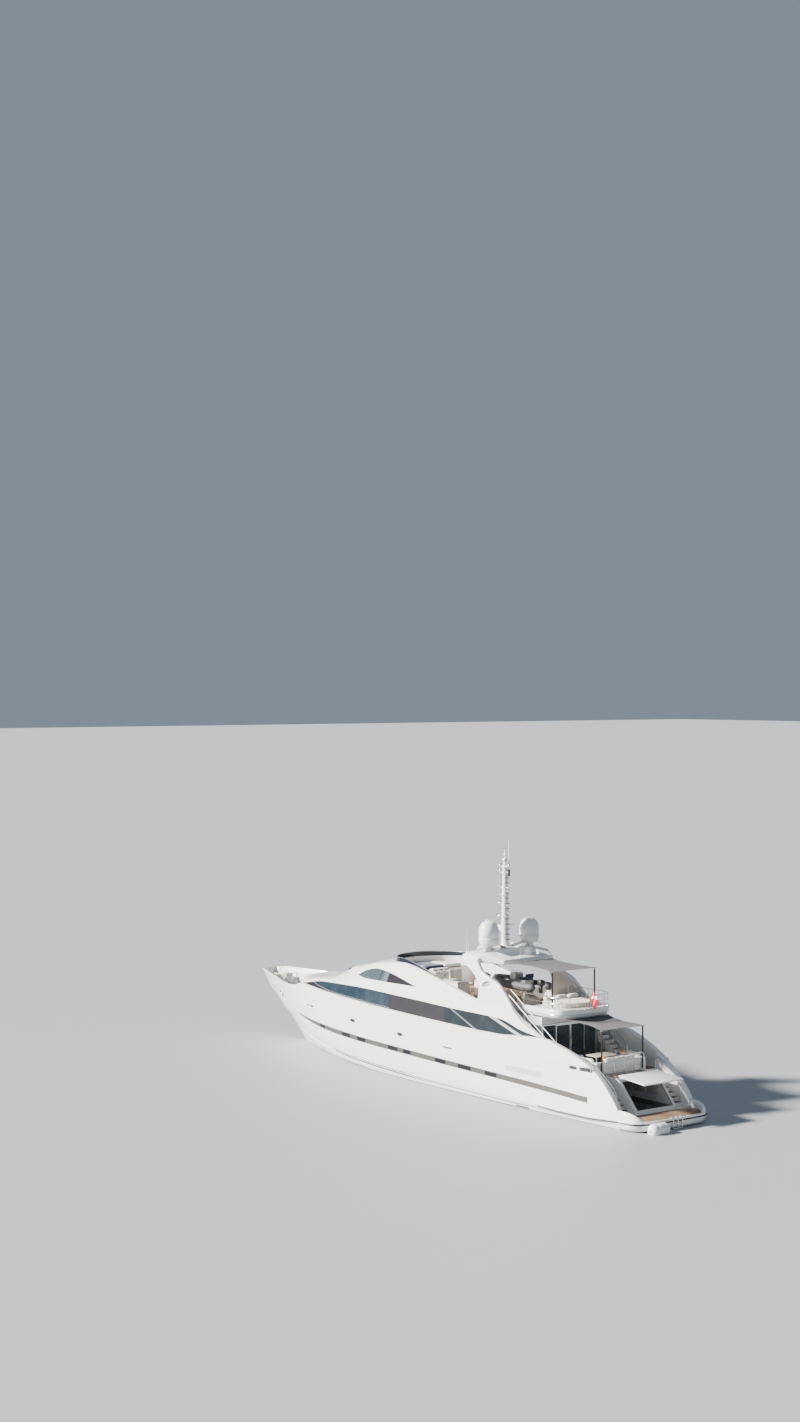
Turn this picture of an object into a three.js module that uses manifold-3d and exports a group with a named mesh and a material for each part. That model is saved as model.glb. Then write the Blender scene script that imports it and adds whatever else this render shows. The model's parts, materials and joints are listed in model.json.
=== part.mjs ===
// Three-deck fast motor yacht, 38.4 m over all, afloat. Units are millimetres.
// +X is forward, +Y is port, +Z is up. The origin is on the waterline, on the centreline, near amidships.
import * as THREE from "three";
import { mergeVertices } from "three/addons/utils/BufferGeometryUtils.js";
import Module from "manifold-3d";

const wasm = await Module();
wasm.setup();

// Driving dimensions
const MAIN_DECK = 2250;
const CEILING = 4700;
const FLY_DECK = 4950;
const FLY_PODIUM = 5950;
const FOREDECK = 3200;
const PLATFORM_TOP = 580;
const STEM_HEAD = 19320;
const TRANSOM = -17600;
const PLATFORM_END = -19100;
const FORE_END = 10900;
const HOUSE_END = -12200;
const ROOF_END = -8400;
const BULKHEAD = -10900;
const COCKPIT_END = -15100;
const GAP = 0.3;
const CLEAR = 6;
const FAR = 30000;

// Colours: name, colour, roughness, metalness
const FINISHES = {
  gelcoat: [0xf2f1ec, 0.3, 0],
  glass: [0x2b3136, 0.1, 0.1],
  carbon: [0x1c1e20, 0.35, 0.1],
  steel: [0xc9cdd0, 0.25, 1],
  bronze: [0xa9855a, 0.4, 1],
  teak: [0x9a6a4a, 0.7, 0],
  cushion: [0xe9e4d6, 0.85, 0],
  awning: [0x9a9894, 0.9, 0],
  rubber: [0x4a4d50, 0.7, 0],
  fender: [0xe6e9e8, 0.5, 0],
  flag: [0xc8323a, 0.8, 0],
  iron: [0x6d7478, 0.6, 0.4],
};

// Closed three.js geometry to a solid
function solid(geometry) {
  const plain = geometry.index ? geometry.toNonIndexed() : geometry.clone();
  for (const name of ["normal", "uv"]) plain.deleteAttribute(name);
  const merged = mergeVertices(plain, 1e-3);
  return new wasm.Manifold(
    new wasm.Mesh({
      numProp: 3,
      vertProperties: merged.attributes.position.array,
      triVerts: new Uint32Array(merged.index.array),
    }),
  );
}

// The same, turned outward if its faces point in
function outward(geometry) {
  const body = solid(geometry);
  if (body.volume() > 0) return body;
  return solid(geometry.setIndex(Array.from(geometry.index.array).reverse()));
}

// Solid back to a three.js geometry
function geometryOf(body) {
  const mesh = body.getMesh();
  const geometry = new THREE.BufferGeometry();
  geometry.setAttribute("position", new THREE.BufferAttribute(Float32Array.from(mesh.vertProperties), 3));
  geometry.setIndex(Array.from(mesh.triVerts));
  return geometry;
}

function join(...bodies) {
  return bodies.reduce((sum, body) => sum.add(body));
}

function cut(body, ...tools) {
  return tools.reduce((rest, tool) => rest.subtract(tool), body);
}

function moved(body, x, y, z) {
  return solid(geometryOf(body).translate(x, y, z));
}

// Mirror image across the centreline
function mirrored(body) {
  const geometry = geometryOf(body).toNonIndexed();
  const p = geometry.attributes.position;
  for (let i = 0; i < p.count; i += 3) {
    const a = [p.getX(i + 1), p.getY(i + 1), p.getZ(i + 1)];
    p.setXYZ(i, p.getX(i), -p.getY(i), p.getZ(i));
    p.setXYZ(i + 1, p.getX(i + 2), -p.getY(i + 2), p.getZ(i + 2));
    p.setXYZ(i + 2, a[0], -a[1], a[2]);
  }
  return solid(geometry);
}

function distance(p, q) {
  return Math.hypot(p[0] - q[0], p[1] - q[1], p[2] - q[2]);
}

// Skin over closed rings of equal length, each a list of [x, y, z], with flat ends
function loft(rings) {
  const count = rings[0].length;
  const points = rings.flat();
  const index = [];
  rings.slice(1).forEach((_, r) => {
    for (let i = 0; i < count; i += 1) {
      const a = r * count + i;
      const b = r * count + ((i + 1) % count);
      const across = distance(points[a], points[b + count]) <= distance(points[b], points[a + count]);
      if (across) index.push(a, b, b + count, a, b + count, a + count);
      else index.push(a, b, a + count, b, b + count, a + count);
    }
  });
  for (const [first, flip] of [[0, true], [(rings.length - 1) * count, false]]) {
    const ring = points.slice(first, first + count);
    for (const [a, b, c] of capTriangles(ring)) {
      index.push(first + a, first + (flip ? c : b), first + (flip ? b : c));
    }
  }
  const geometry = new THREE.BufferGeometry();
  geometry.setAttribute("position", new THREE.Float32BufferAttribute(points.flat(), 3));
  geometry.setIndex(index);
  return outward(geometry);
}

// Triangles of a flat ring, on the two axes along which it is widest, turning as the ring does
function capTriangles(ring) {
  const spread = [0, 1, 2].map((k) => {
    const values = ring.map((p) => p[k]);
    return Math.max(...values) - Math.min(...values);
  });
  const drop = spread.indexOf(Math.min(...spread));
  const [u, v] = [0, 1, 2].filter((k) => k !== drop);
  const flat = ring.map((p) => new THREE.Vector2(p[u], p[v]));
  const turned = THREE.ShapeUtils.area(flat) < 0;
  const triangles = THREE.ShapeUtils.triangulateShape(turned ? flat.slice().reverse() : flat, []);
  const last = ring.length - 1;
  return triangles.map(([a, b, c]) => (turned ? [last - c, last - b, last - a] : [a, b, c]));
}

// Ring of a section that is alike on both sides: half is a list of [y, z] from the bottom up
function symmetricRing(x, half) {
  const port = half.map(([y, z]) => [x, y, z]);
  const starboard = half.map(([y, z]) => [x, -y, z]).reverse();
  return [...port, ...starboard];
}

// Prisms of a closed outline across one axis, from one value to another
function prismAlong(axis, outline, from, to) {
  const low = Math.min(from, to);
  const high = Math.max(from, to);
  const places = {
    x: (v) => ([a, b]) => [v, a, b],
    y: (v) => ([a, b]) => [a, v, b],
    z: (v) => ([a, b]) => [a, b, v],
  };
  return loft([low, high].map((v) => outline.map(places[axis](v))));
}

function box(x0, x1, y0, y1, z0, z1) {
  const [w, d, h] = [Math.abs(x1 - x0), Math.abs(y1 - y0), Math.abs(z1 - z0)];
  return solid(new THREE.BoxGeometry(w, d, h).translate((x0 + x1) / 2, (y0 + y1) / 2, (z0 + z1) / 2));
}

// Round bar between two points
function bar(from, to, radius, endRadius = radius, sides = 10) {
  const a = new THREE.Vector3(...from);
  const b = new THREE.Vector3(...to);
  const geometry = new THREE.CylinderGeometry(endRadius, radius, a.distanceTo(b), sides);
  const along = b.clone().sub(a).normalize();
  geometry.applyQuaternion(new THREE.Quaternion().setFromUnitVectors(new THREE.Vector3(0, 1, 0), along));
  const middle = a.add(b).multiplyScalar(0.5);
  geometry.translate(middle.x, middle.y, middle.z);
  return solid(geometry);
}

// Tube along a smooth curve through points
function tube(points, radius, steps, sides = 8) {
  const centre = new THREE.Vector2();
  const corner = (i) => new THREE.Vector2(radius, 0).rotateAround(centre, (i * 2 * Math.PI) / sides);
  const section = new THREE.Shape(Array.from({ length: sides }, (_, i) => corner(i)));
  const path = new THREE.CatmullRomCurve3(points.map((p) => new THREE.Vector3(...p)), false, "centripetal");
  return solid(new THREE.ExtrudeGeometry(section, { steps, bevelEnabled: false, extrudePath: path }));
}

// Body of revolution on a vertical axis: profile is a list of [radius, z]
function lathe(profile, x, y, segments = 20) {
  const geometry = new THREE.LatheGeometry(profile.map(([r, z]) => new THREE.Vector2(r, z)), segments);
  geometry.rotateX(Math.PI / 2);
  geometry.translate(x, y, 0);
  return outward(geometry);
}

// Value of a column at x, between the rows of a table whose first column is x
function between(table, x, column) {
  const rows = [...table].sort((a, b) => a[0] - b[0]);
  const after = rows.findIndex((row) => row[0] >= x);
  if (after <= 0) return rows[after === 0 ? 0 : rows.length - 1][column];
  const [low, high] = [rows[after - 1], rows[after]];
  return low[column] + ((high[column] - low[column]) * (x - low[0])) / (high[0] - low[0]);
}

// Hull below the main deck: x, keel z, chine y, chine z, side y, side z, deck-line y
const HULL = [
  [TRANSOM, -1050, 2480, -120, 2650, 600, 2560],
  [-15100, -1200, 2640, -110, 2830, 620, 2770],
  [-12000, -1330, 2820, -100, 3050, 650, 3050],
  [-8000, -1440, 2930, -80, 3200, 700, 3270],
  [-3000, -1500, 2970, -50, 3250, 750, 3370],
  [2000, -1500, 2880, 20, 3200, 850, 3360],
  [6000, -1480, 2600, 160, 2940, 1000, 3150],
  [9000, -1400, 2130, 360, 2530, 1150, 2800],
  [11500, -1120, 1560, 600, 1950, 1300, 2300],
  [13500, -480, 920, 870, 1290, 1480, 1740],
  [15010, 770, 400, 1200, 740, 1700, 1210],
  [16040, 1540, 150, 1720, 370, 1960, 680],
  [16900, 2160, 70, 2190, 90, 2220, 115],
];

const KEEL_HALF = 60;

// Solid hull, grown sideways and down by a margin
function hullBody(grow) {
  return loft(
    HULL.map(([x, keel, chineY, chineZ, sideY, sideZ, deckY]) =>
      symmetricRing(x, [
        [KEEL_HALF, keel - grow],
        [chineY + grow, chineZ - grow],
        [sideY + grow, sideZ],
        [deckY + grow, MAIN_DECK],
      ]),
    ),
  );
}

// Stern line of the bulwark wings, from the main deck down to the platform: x, z
const STERN_SWEEP = [
  [-16400, MAIN_DECK],
  [-16980, 1690],
  [-17470, 1110],
  [TRANSOM, 900],
];
const WING_INSIDE = 2330;
const GARAGE = { half: 1250, floor: 800, top: 2100, front: -12600 };
const PASSAGE_HALF = 450;
const ENGINE_ROOM = { front: -6500, back: -11500, half: 2200, floor: -250, top: 2000 };
const RUDDER = { x: -15750, y: 1200, top: -840, tip: -1750, boss: -735 };

function hull() {
  const sweep = [...STERN_SWEEP, [TRANSOM - 200, 900], [TRANSOM - 200, FAR], [-16400, FAR]];
  const room = ENGINE_ROOM;
  let body = cut(
    hullBody(0),
    prismAlong("y", sweep, -FAR, FAR),
    box(COCKPIT_END, TRANSOM - 200, -WING_INSIDE, WING_INSIDE, PLATFORM_TOP, FAR),
    box(COCKPIT_END - 100, GARAGE.front, -GARAGE.half, GARAGE.half, GARAGE.floor, GARAGE.top),
    box(GARAGE.front - 1, room.back + 1, -PASSAGE_HALF, PASSAGE_HALF, GARAGE.floor, room.top - 50),
    box(room.back, room.front, -room.half, room.half, room.floor, room.top),
  );
  for (const side of [-1, 1]) {
    const [x, y] = [RUDDER.x, side * RUDDER.y];
    body = body.add(bar([x, y, RUDDER.boss], [x, y, RUDDER.boss + 235], 130, 130, 14));
  }
  return body;
}

// Bow above the main deck: x, lower y, lower z, middle y, middle z, edge y, edge z
const BOW = [
  [FORE_END, 2440, MAIN_DECK, 2610, 3200, 2740, 4200],
  [11700, 2250, MAIN_DECK, 2470, 3200, 2620, 4000],
  [12600, 2000, MAIN_DECK, 2280, 3200, 2470, 3940],
  [13700, 1680, MAIN_DECK, 2010, 3200, 2250, 3995],
  [15010, 1210, MAIN_DECK, 1620, 3200, 1960, 4140],
  [16040, 680, MAIN_DECK, 1230, 3200, 1600, 4160],
  [16900, 115, MAIN_DECK, 830, 3200, 1290, 4185],
  [17600, 20, 2560, 470, 3200, 1030, 4205],
  [18130, 15, 2840, 270, 3300, 780, 4180],
  [18840, 10, 3480, 130, 3700, 380, 4080],
  [STEM_HEAD, 5, 3960, 10, 3990, 20, 4000],
];
const BULWARK = 140;
const WELL_END = 18500;

function bow() {
  const outer = loft(
    BOW.map(([x, y0, z0, y1, z1, y2, z2]) => symmetricRing(x, [[y0, z0], [y1, z1], [y2, z2]])),
  );
  const wellRows = BOW.filter(([x]) => x < WELL_END);
  const well = loft(
    wellRows.map(([x, , , y1, , y2, z2], i) => {
      const low = Math.max(y1 - BULWARK - 20, 60);
      const high = Math.max(y2 - BULWARK, 80);
      return symmetricRing(i ? x : x - 1, [[low, FOREDECK], [high, z2 + 10], [high, FAR]]);
    }),
  );
  return join(cut(outer, well), ...[-1, 1].map(hatchCheek));
}

// Foredeck hatch: hinge line at hingeX, hingeZ, near its forward edge
const HATCH = { aft: 14350, front: 15050, half: 350, thick: 50, hingeX: 15045, hingeZ: 3233, pin: 5 };

// Lug beside the hatch with its hinge pin
function hatchCheek(side) {
  const { half, hingeX, hingeZ, pin } = HATCH;
  const [near, far] = [side * (half + CLEAR), side * (half + 40)];
  const lug = box(hingeX - 25, hingeX + 25, near, far, FOREDECK, hingeZ + 20);
  return lug.add(bar([hingeX, side * (half + GAP), hingeZ], [hingeX, far, hingeZ], pin, pin, 12));
}

// Deckhouse outside: x, base y, base z, window top y, z, shoulder y, z, upper y, z, rim y, z, crown z
const HOUSE = [
  [FORE_END, 2600, 4205, 2560, 4235, 2300, 4420, 1700, 4560, 900, 4640, 4670],
  [9800, 2720, 4145, 2640, 4430, 2360, 4600, 1800, 4700, 1000, 4770, 4800],
  [8450, 2860, 4073, 2770, 4620, 2440, 4790, 1950, 4870, 1100, 4940, 4970],
  [7200, 2970, 4026, 2870, 4680, 2600, 4860, 2200, 5090, 1700, 5420, 5590],
  [5400, 3090, 3962, 2980, 4740, 2750, 5010, 2430, 5330, 2080, 5700, 5960],
  [3900, 3160, 3917, 3050, 4775, 2860, 5060, 2560, 5490, 2180, 6020, 6330],
  [2300, 3210, 3869, 3110, 4765, 2940, 5080, 2700, 5610, 2330, 6300, 6520],
  [600, 3230, 3831, 3130, 4740, 2990, 5060, 2800, 5600, 2480, 6470, 6620],
  [-1200, 3240, 3793, 3140, 4710, 3010, 5020, 2860, 5480, 2600, 6260, 6400],
  [-3000, 3240, 3755, 3140, 4670, 3020, 4960, 2890, 5330, 2680, 5910, 6000],
  [-4800, 3215, 3728, 3115, 4630, 3010, 4880, 2910, 5180, 2750, 5560, 5650],
  [-6450, 3190, 3703, 3090, 4620, 3000, 4810, 2920, 5020, 2800, 5270, 5350],
  [-8600, 3140, 3705, 3050, 4580, 2980, 4780, 2910, 4990, 2840, 5230, 5300],
  [-10500, 3060, 3850, 3030, 4165, 2970, 4600, 2910, 4900, 2860, 5230, 5300],
  [HOUSE_END, 2965, 3920, 2960, 3945, 2950, 4300, 2930, 4700, 2900, 5230, 5300],
];
const BASE_LIFT = 0.4;

// Deckhouse skin drawn in by inset, with base raised from the topside
function houseBody(inset) {
  return loft(
    HOUSE.map((row) => {
      const [x, baseY, baseZ, bandY, bandZ, shoulderY, shoulderZ, upperY, upperZ, rimY, rimZ, crown] = row;
      const low = inset ? -300 : BASE_LIFT;
      return symmetricRing(x, [
        [baseY - inset, baseZ + low],
        [bandY - inset, bandZ - inset * 0.3],
        [shoulderY - inset, shoulderZ - inset * 0.7],
        [upperY - inset * 0.8, upperZ - inset * 0.7],
        [rimY - inset * 0.7, rimZ - inset],
        [1, crown - inset],
      ]);
    }),
  );
}

// Topside walls under the deckhouse and round the cockpit. Stern rows: x, edge y, edge z
const TOPSIDE_STERN = [
  [-13320, 2940, 3690],
  [-14190, 2830, 3420],
  [-15010, 2740, 3100],
  [-15760, 2670, 2710],
  [-16380, 2620, 2256],
];
const LEDGE = 130;
const WALL = 290;

function topside() {
  const rows = [...HOUSE.map(([x, baseY, baseZ]) => [x, baseY + LEDGE, baseZ]), ...TOPSIDE_STERN];
  return loft(
    rows.map(([x, edgeY, edgeZ]) => {
      const foot = between(HULL, x, 6);
      const middle = (MAIN_DECK + edgeZ) / 2;
      const bulge = (foot + edgeY) / 2 + 25;
      return [
        [x, foot, MAIN_DECK],
        [x, bulge, middle],
        [x, edgeY, edgeZ],
        [x, edgeY - WALL, edgeZ],
        [x, foot - WALL, MAIN_DECK],
      ];
    }),
  );
}

const SKIN = 150;
const RAISED_END = 900;

// Saloon space under the flybridge deck
function saloonSpace() {
  const rows = HOUSE.map((row, i) => [i ? row[0] : FORE_END - SKIN, ...row.slice(1)]);
  rows.push([HOUSE_END - 500, ...rows.at(-1).slice(1)]);
  return loft(
    rows.map(([x, baseY, baseZ, bandY, bandZ, shoulderY, shoulderZ, , , , , crown]) =>
      symmetricRing(x, [
        [baseY - SKIN, baseZ - 300],
        [bandY - SKIN, Math.min(bandZ, CEILING) - 60],
        [shoulderY - SKIN * 1.6, Math.min(shoulderZ - SKIN, CEILING)],
        [shoulderY - SKIN * 4, Math.min(crown - SKIN, CEILING)],
      ]),
    ),
  );
}

// Raised wheelhouse space under the coachroof
function wheelhouseSpace() {
  const rows = HOUSE.filter(([x]) => x > RAISED_END && x < 8500);
  return loft(
    rows.map(([x, , , , , shoulderY, , upperY, upperZ, rimY, rimZ, crown]) =>
      symmetricRing(x === 8450 ? 8300 : x, [
        [shoulderY - 420, CEILING - 200],
        [upperY - 200, Math.min(upperZ - 60, 5600)],
        [rimY - 180, Math.min(rimZ - SKIN, FLY_PODIUM - SKIN)],
        [rimY - 700, Math.min(crown - SKIN * 1.3, FLY_PODIUM - SKIN)],
      ]),
    ),
  );
}

// Open well of the flybridge inside its coaming
function flyWell() {
  const rows = HOUSE.filter(([x]) => x <= 600);
  rows.push([HOUSE_END - 500, ...rows.at(-1).slice(1)]);
  return loft(
    rows.map(([x, , , , , shoulderY, , upperY, upperZ, rimY, rimZ]) =>
      symmetricRing(x, [
        [shoulderY - 260, FLY_DECK],
        [upperY - 200, upperZ],
        [rimY - 150, rimZ + 10],
        [rimY - 150, FAR],
      ]),
    ),
  );
}

// Raised forward part of the well: x, half width
const PODIUM_PLAN = [
  [599, 2270],
  [1500, 2200],
  [2300, 2060],
  [3000, 1700],
  [3500, 1150],
  [3760, 500],
];

function podiumWell() {
  return loft(PODIUM_PLAN.map(([x, half]) => symmetricRing(x, [[half, FLY_PODIUM], [half, FAR]])));
}

// Outline drawn in by a margin, square to each of its sides
function drawnIn(outline, margin) {
  const count = outline.length;
  const points = outline.map(([a, b]) => new THREE.Vector2(a, b));
  const turn = Math.sign(THREE.ShapeUtils.area(points)) * margin;
  return points.map((here, i) => {
    const before = here.clone().sub(points[(i + count - 1) % count]).normalize();
    const after = points[(i + 1) % count].clone().sub(here).normalize();
    const normal = new THREE.Vector2(-before.y - after.y, before.x + after.x).normalize();
    const reach = turn / Math.max(0.3, normal.dot(new THREE.Vector2(-after.y, after.x)));
    return [here.x + normal.x * reach, here.y + normal.y * reach];
  });
}

// Side windows seen from the side, from the deckhouse rows
function bandOutline() {
  const rows = HOUSE.map(([x, , baseZ, , bandZ]) => [
    Math.min(Math.max(x, HOUSE_END + 130), FORE_END - 60),
    baseZ + 35,
    Math.max(bandZ - 15, baseZ + 65),
  ]);
  return [...rows.map(([x, low]) => [x, low]), ...rows.map(([x, , high]) => [x, high]).reverse()];
}

// Eye-shaped wheelhouse side window: x, z
const EYE = [
  [5250, 5340],
  [4700, 5610],
  [3900, 5790],
  [3100, 5850],
  [2250, 5790],
  [1280, 5640],
  [320, 5430],
  [-250, 5270],
  [1100, 5265],
  [2600, 5240],
  [4150, 5240],
];
const EYE_CLEAR_END = 1700;

// Windscreen seen from above: x, y on the port side
const WINDSCREEN_PLAN = [
  [8250, 0],
  [8150, 1000],
  [7750, 1750],
  [6750, 1900],
  [6900, 1000],
  [6950, 0],
];

function eyePrism(side, margin) {
  return prismAlong("y", drawnIn(EYE, margin), side * 1500, side * FAR);
}

function screenPrism(margin) {
  return prismAlong("z", drawnIn(planOf(WINDSCREEN_PLAN), margin), 4300, FAR);
}

// Seat of the arch legs and the diagonal end of the side wings
const ARCH_SEAT = 5200;
const WING_CUT = [
  [-6450, ARCH_SEAT],
  [-9430, ARCH_SEAT],
  [-10260, 4670],
  [-11490, 4150],
  [-12130, 3962],
  [HOUSE_END - 300, 3950],
  [HOUSE_END - 300, FAR],
  [-6450, FAR],
];

function deckhouse() {
  const recess = 70;
  let body = cut(
    houseBody(0),
    saloonSpace(),
    wheelhouseSpace(),
    flyWell(),
    podiumWell(),
    box(HOUSE_END - 500, ROOF_END, -2700, 2700, 4500, FAR),
    prismAlong("y", WING_CUT, -FAR, FAR),
    prismAlong("y", bandOutline(), -FAR, FAR),
  );
  const inner = houseBody(recess);
  for (const side of [-1, 1]) {
    const eye = eyePrism(side, 0);
    const clear = eye.intersect(box(EYE_CLEAR_END, FAR, -FAR, FAR, 0, FAR));
    body = cut(body, eye.subtract(inner), clear);
  }
  return body.subtract(screenPrism(0));
}

const PANE = 45;
const PANE_SET = 12;

// Slice of the deckhouse skin inside a prism, as glass
function paneIn(prism) {
  return cut(houseBody(PANE_SET).intersect(prism), houseBody(PANE_SET + PANE));
}

function sideGlass() {
  return paneIn(prismAlong("y", drawnIn(bandOutline(), GAP), 0, FAR));
}

// Coachroof ahead of the deckhouse: x, half width, edge z, crown z
const COACHROOF = [
  [FORE_END, 2430, 4300, 4660],
  [11600, 2200, 4270, 4610],
  [12150, 1720, 4230, 4540],
  [12500, 1150, 4190, 4470],
  [12680, 500, 4150, 4390],
];

function coachroof() {
  return loft(
    COACHROOF.map(([x, half, edge, crown]) =>
      symmetricRing(x, [
        [half, FOREDECK],
        [half - 20, edge],
        [half * 0.85, edge + (crown - edge) * 0.55],
        [half * 0.5, edge + (crown - edge) * 0.9],
        [1, crown],
      ]),
    ),
  );
}

// Tinted screen on the flybridge coaming, port half: x, base y, base z, height
const FLY_SCREEN = [
  [-2400, 2560, 6050, 60],
  [-1200, 2520, 6270, 190],
  [600, 2400, 6480, 330],
  [1800, 2270, 6400, 400],
  [2700, 2020, 6330, 420],
  [3400, 1560, 6280, 430],
  [3800, 900, 6330, 440],
  [3950, 1, 6350, 450],
];

const SCREEN = { foot: 120, thick: 30, lean: 0.35 };

function flyScreen() {
  const { foot, thick, lean } = SCREEN;
  const port = FLY_SCREEN.map(([x, y, z, height]) => ({ x, y, z, height }));
  const both = [...port, ...port.slice(0, -1).reverse().map((s) => ({ ...s, y: -s.y }))];
  const screen = loft(
    both.map(({ x, y, z, height }, i) => {
      const next = both[Math.min(i + 1, both.length - 1)];
      const last = both[Math.max(i - 1, 0)];
      const along = new THREE.Vector2(next.x - last.x, next.y - last.y).normalize();
      const at = (reach, up) => [x + along.y * reach, y - along.x * reach, z + up];
      const foots = [at(-foot * lean, -foot), at(thick - foot * lean, -foot)];
      return [...foots, at(thick + lean * height, height), at(lean * height, height)];
    }),
  );
  return screen.subtract(houseBody(-0.4));
}

// Radar arch: leg outline seen from the side, x, z, from the seat up the aft edge and down the forward edge
const LEG = [
  [-9400, ARCH_SEAT],
  [-8590, 5970],
  [-8160, 6290],
  [-7310, 6580],
  [-6700, 6850],
  [-6350, 7300],
  [-6300, 7480],
  [-4700, 7480],
  [-5250, 7080],
  [-6010, 6600],
  [-6400, 6150],
  [-6480, ARCH_SEAT],
];
// Hardtop and arch beam seen from above, port half: x, y
const HARDTOP_AFT = -7650;
const HARDTOP = [
  [-4300, 0],
  [-4400, 1300],
  [-4700, 2450],
  [-5000, 2690],
  [-6100, 2690],
  [-6500, 2300],
  [-7500, 1760],
  [-7620, 900],
  [HARDTOP_AFT, 0],
];
// Crown of the beam seen from ahead, port half: y, z
const CROWN = [
  [2700, 7380],
  [2640, 7560],
  [2350, 7740],
  [1300, 7880],
  [0, 7950],
];
// Stations of the hardtop: x, drop of the crown, drop of the underside
const HARDTOP_STATIONS = [
  [-8000, 520, 80],
  [-6300, 60, 0],
  [-5200, 0, 60],
  [-4000, 330, 40],
];
const HARDTOP_UNDER = 7250;

function archLeg() {
  const thick = 250;
  const leanOf = (z) => 2800 - (z - ARCH_SEAT) * 0.055;
  return loft([
    LEG.map(([x, z]) => [x, leanOf(z) - thick, z]),
    LEG.map(([x, z]) => [x, leanOf(z), z]),
  ]);
}

function radarArch() {
  const half = CROWN[0][0];
  const low = 6500;
  const crown = loft(
    HARDTOP_STATIONS.map(([x, drop]) => {
      const top = CROWN.map(([y, z]) => [x, y, z - drop]);
      const far = CROWN.slice(0, -1).map(([y, z]) => [x, -y, z - drop]).reverse();
      return [[x, half, low], ...top, ...far, [x, -half, low]];
    }),
  );
  const plate = prismAlong("z", planOf(HARDTOP), low, FAR).intersect(crown);
  const under = loft(
    HARDTOP_STATIONS.map(([x, , drop]) => {
      const z = HARDTOP_UNDER - drop;
      const wide = half + 300;
      return [[x, -wide, low - 500], [x, wide, low - 500], [x, wide, z], [x, -wide, z]];
    }),
  );
  const leg = archLeg();
  return join(plate.subtract(under), leg, mirrored(leg));
}

// Satellite dome on its pedestal
const DOME = { x: -5750, y: 1450, foot: 7740, base: 8150, radius: 615, top: 9470 };

function dome(arch) {
  const { x, y, foot, base, radius, top } = DOME;
  const shell = [[0, base], [radius * 0.8, base], [radius * 0.97, base + 180], [radius, base + 420]];
  const rise = top - (base + 620);
  for (let i = 0; i <= 5; i += 1) {
    const turn = (Math.PI / 2) * (i / 5);
    shell.push([i === 5 ? 0 : radius * Math.cos(turn), base + 620 + rise * Math.sin(turn)]);
  }
  const stand = [[0, foot], [330, foot], [240, foot + 160], [430, base + 5], [0, base + 5]];
  return join(lathe(shell, x, y), lathe(stand, x, y, 16)).subtract(moved(arch, 0, 0, GAP));
}

// Mast with the radar bracket and light brackets
const MAST = { x: -5440, foot: 7800, top: 12700, radius: 210, whipTop: 13850 };
const SCANNER = { x: -4530, seat: 9180, z: 9260, length: 1300 };
// Mast tube: height, share of the radius
const MAST_TAPER = [
  [MAST.foot, 1.5],
  [MAST.foot + 260, 1],
  [10400, 0.86],
  [12100, 0.6],
  [MAST.top - 200, 0.35],
  [MAST.top, 0.35],
];
// Light brackets across the mast: height, reach
const CROSSTREES = [
  [10250, 300],
  [11300, 330],
  [11750, 330],
];

function mast(arch) {
  const { x, foot, top, radius, whipTop } = MAST;
  const nose = SCANNER.x + 200;
  const pole = lathe([[0, foot], ...MAST_TAPER.map(([z, share]) => [radius * share, z]), [0, top]], x, 0, 14);
  const bracket = prismAlong("y", [[x, 8700], [x, 9060], [nose, 9060], [nose, 8990]], -130, 130);
  const wing = prismAlong("x", [[0, 9020], [0, 9130], [-640, 9110], [-640, 9070]], x - 60, x + 60);
  const head = bar([SCANNER.x, 0, 9040], [SCANNER.x, 0, SCANNER.seat], 160, 140, 14);
  const whip = bar([x - 70, -60, top - 900], [x - 70, -60, whipTop], 30, 18, 6);
  const lights = CROSSTREES.map(([z, reach]) => box(x - reach, x + reach, -60, 60, z, z + 90));
  return join(pole, bracket, wing, head, whip, ...lights).subtract(moved(arch, 0, 0, GAP));
}

function scanner() {
  const { x, seat, z, length } = SCANNER;
  const blade = [[x - 90, z - 50], [x + 70, z - 60], [x + 90, z + 60], [x - 70, z + 80]];
  const hub = bar([x, 0, seat + GAP], [x, 0, z], 110, 90, 12);
  return join(prismAlong("y", blade, -length / 2, length / 2), hub);
}

// Aft flybridge deck over the cockpit, port half seen from above: x, y
const AFT_FLY = [
  [ROOF_END - GAP, 0],
  [ROOF_END - GAP, 1990],
  [-11500, 1990],
  [-12050, 1800],
  [-12380, 1250],
  [-12500, 500],
  [-12520, 0],
];
const AFT_FLY_UNDER = 4790;
const PAD_BASE = 5300;
const PAD_FRONT = -9900;

function planOf(half) {
  return [...half, ...half.filter(([, y]) => y > 0).map(([x, y]) => [x, -y]).reverse()];
}

function aftFlyDeck() {
  const plan = planOf(AFT_FLY);
  const inset = AFT_FLY.map(([x, y]) => [x < -11000 ? x + 170 : x, y > 300 ? y - 150 : y]);
  const under = planOf(inset);
  const at = (outline, z) => outline.map(([x, y]) => [x, y, z]);
  const body = loft([at(under, AFT_FLY_UNDER), at(plan, AFT_FLY_UNDER + 190), at(plan, PAD_BASE)]);
  return body.subtract(box(PAD_FRONT, 0, -FAR, FAR, FLY_DECK, FAR));
}

// Soft pad with eased upper edges, on a plan outline
function pad(outline, z0, z1, ease) {
  const centre = [0, 1].map((k) => outline.reduce((sum, p) => sum + p[k], 0) / outline.length);
  const drawn = outline.map((p) => p.map((v, k) => v + Math.sign(centre[k] - v) * ease));
  const at = (list, z) => list.map(([x, y]) => [x, y, z]);
  return loft([at(outline, z0), at(outline, z1 - ease), at(drawn, z1)]);
}

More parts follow.
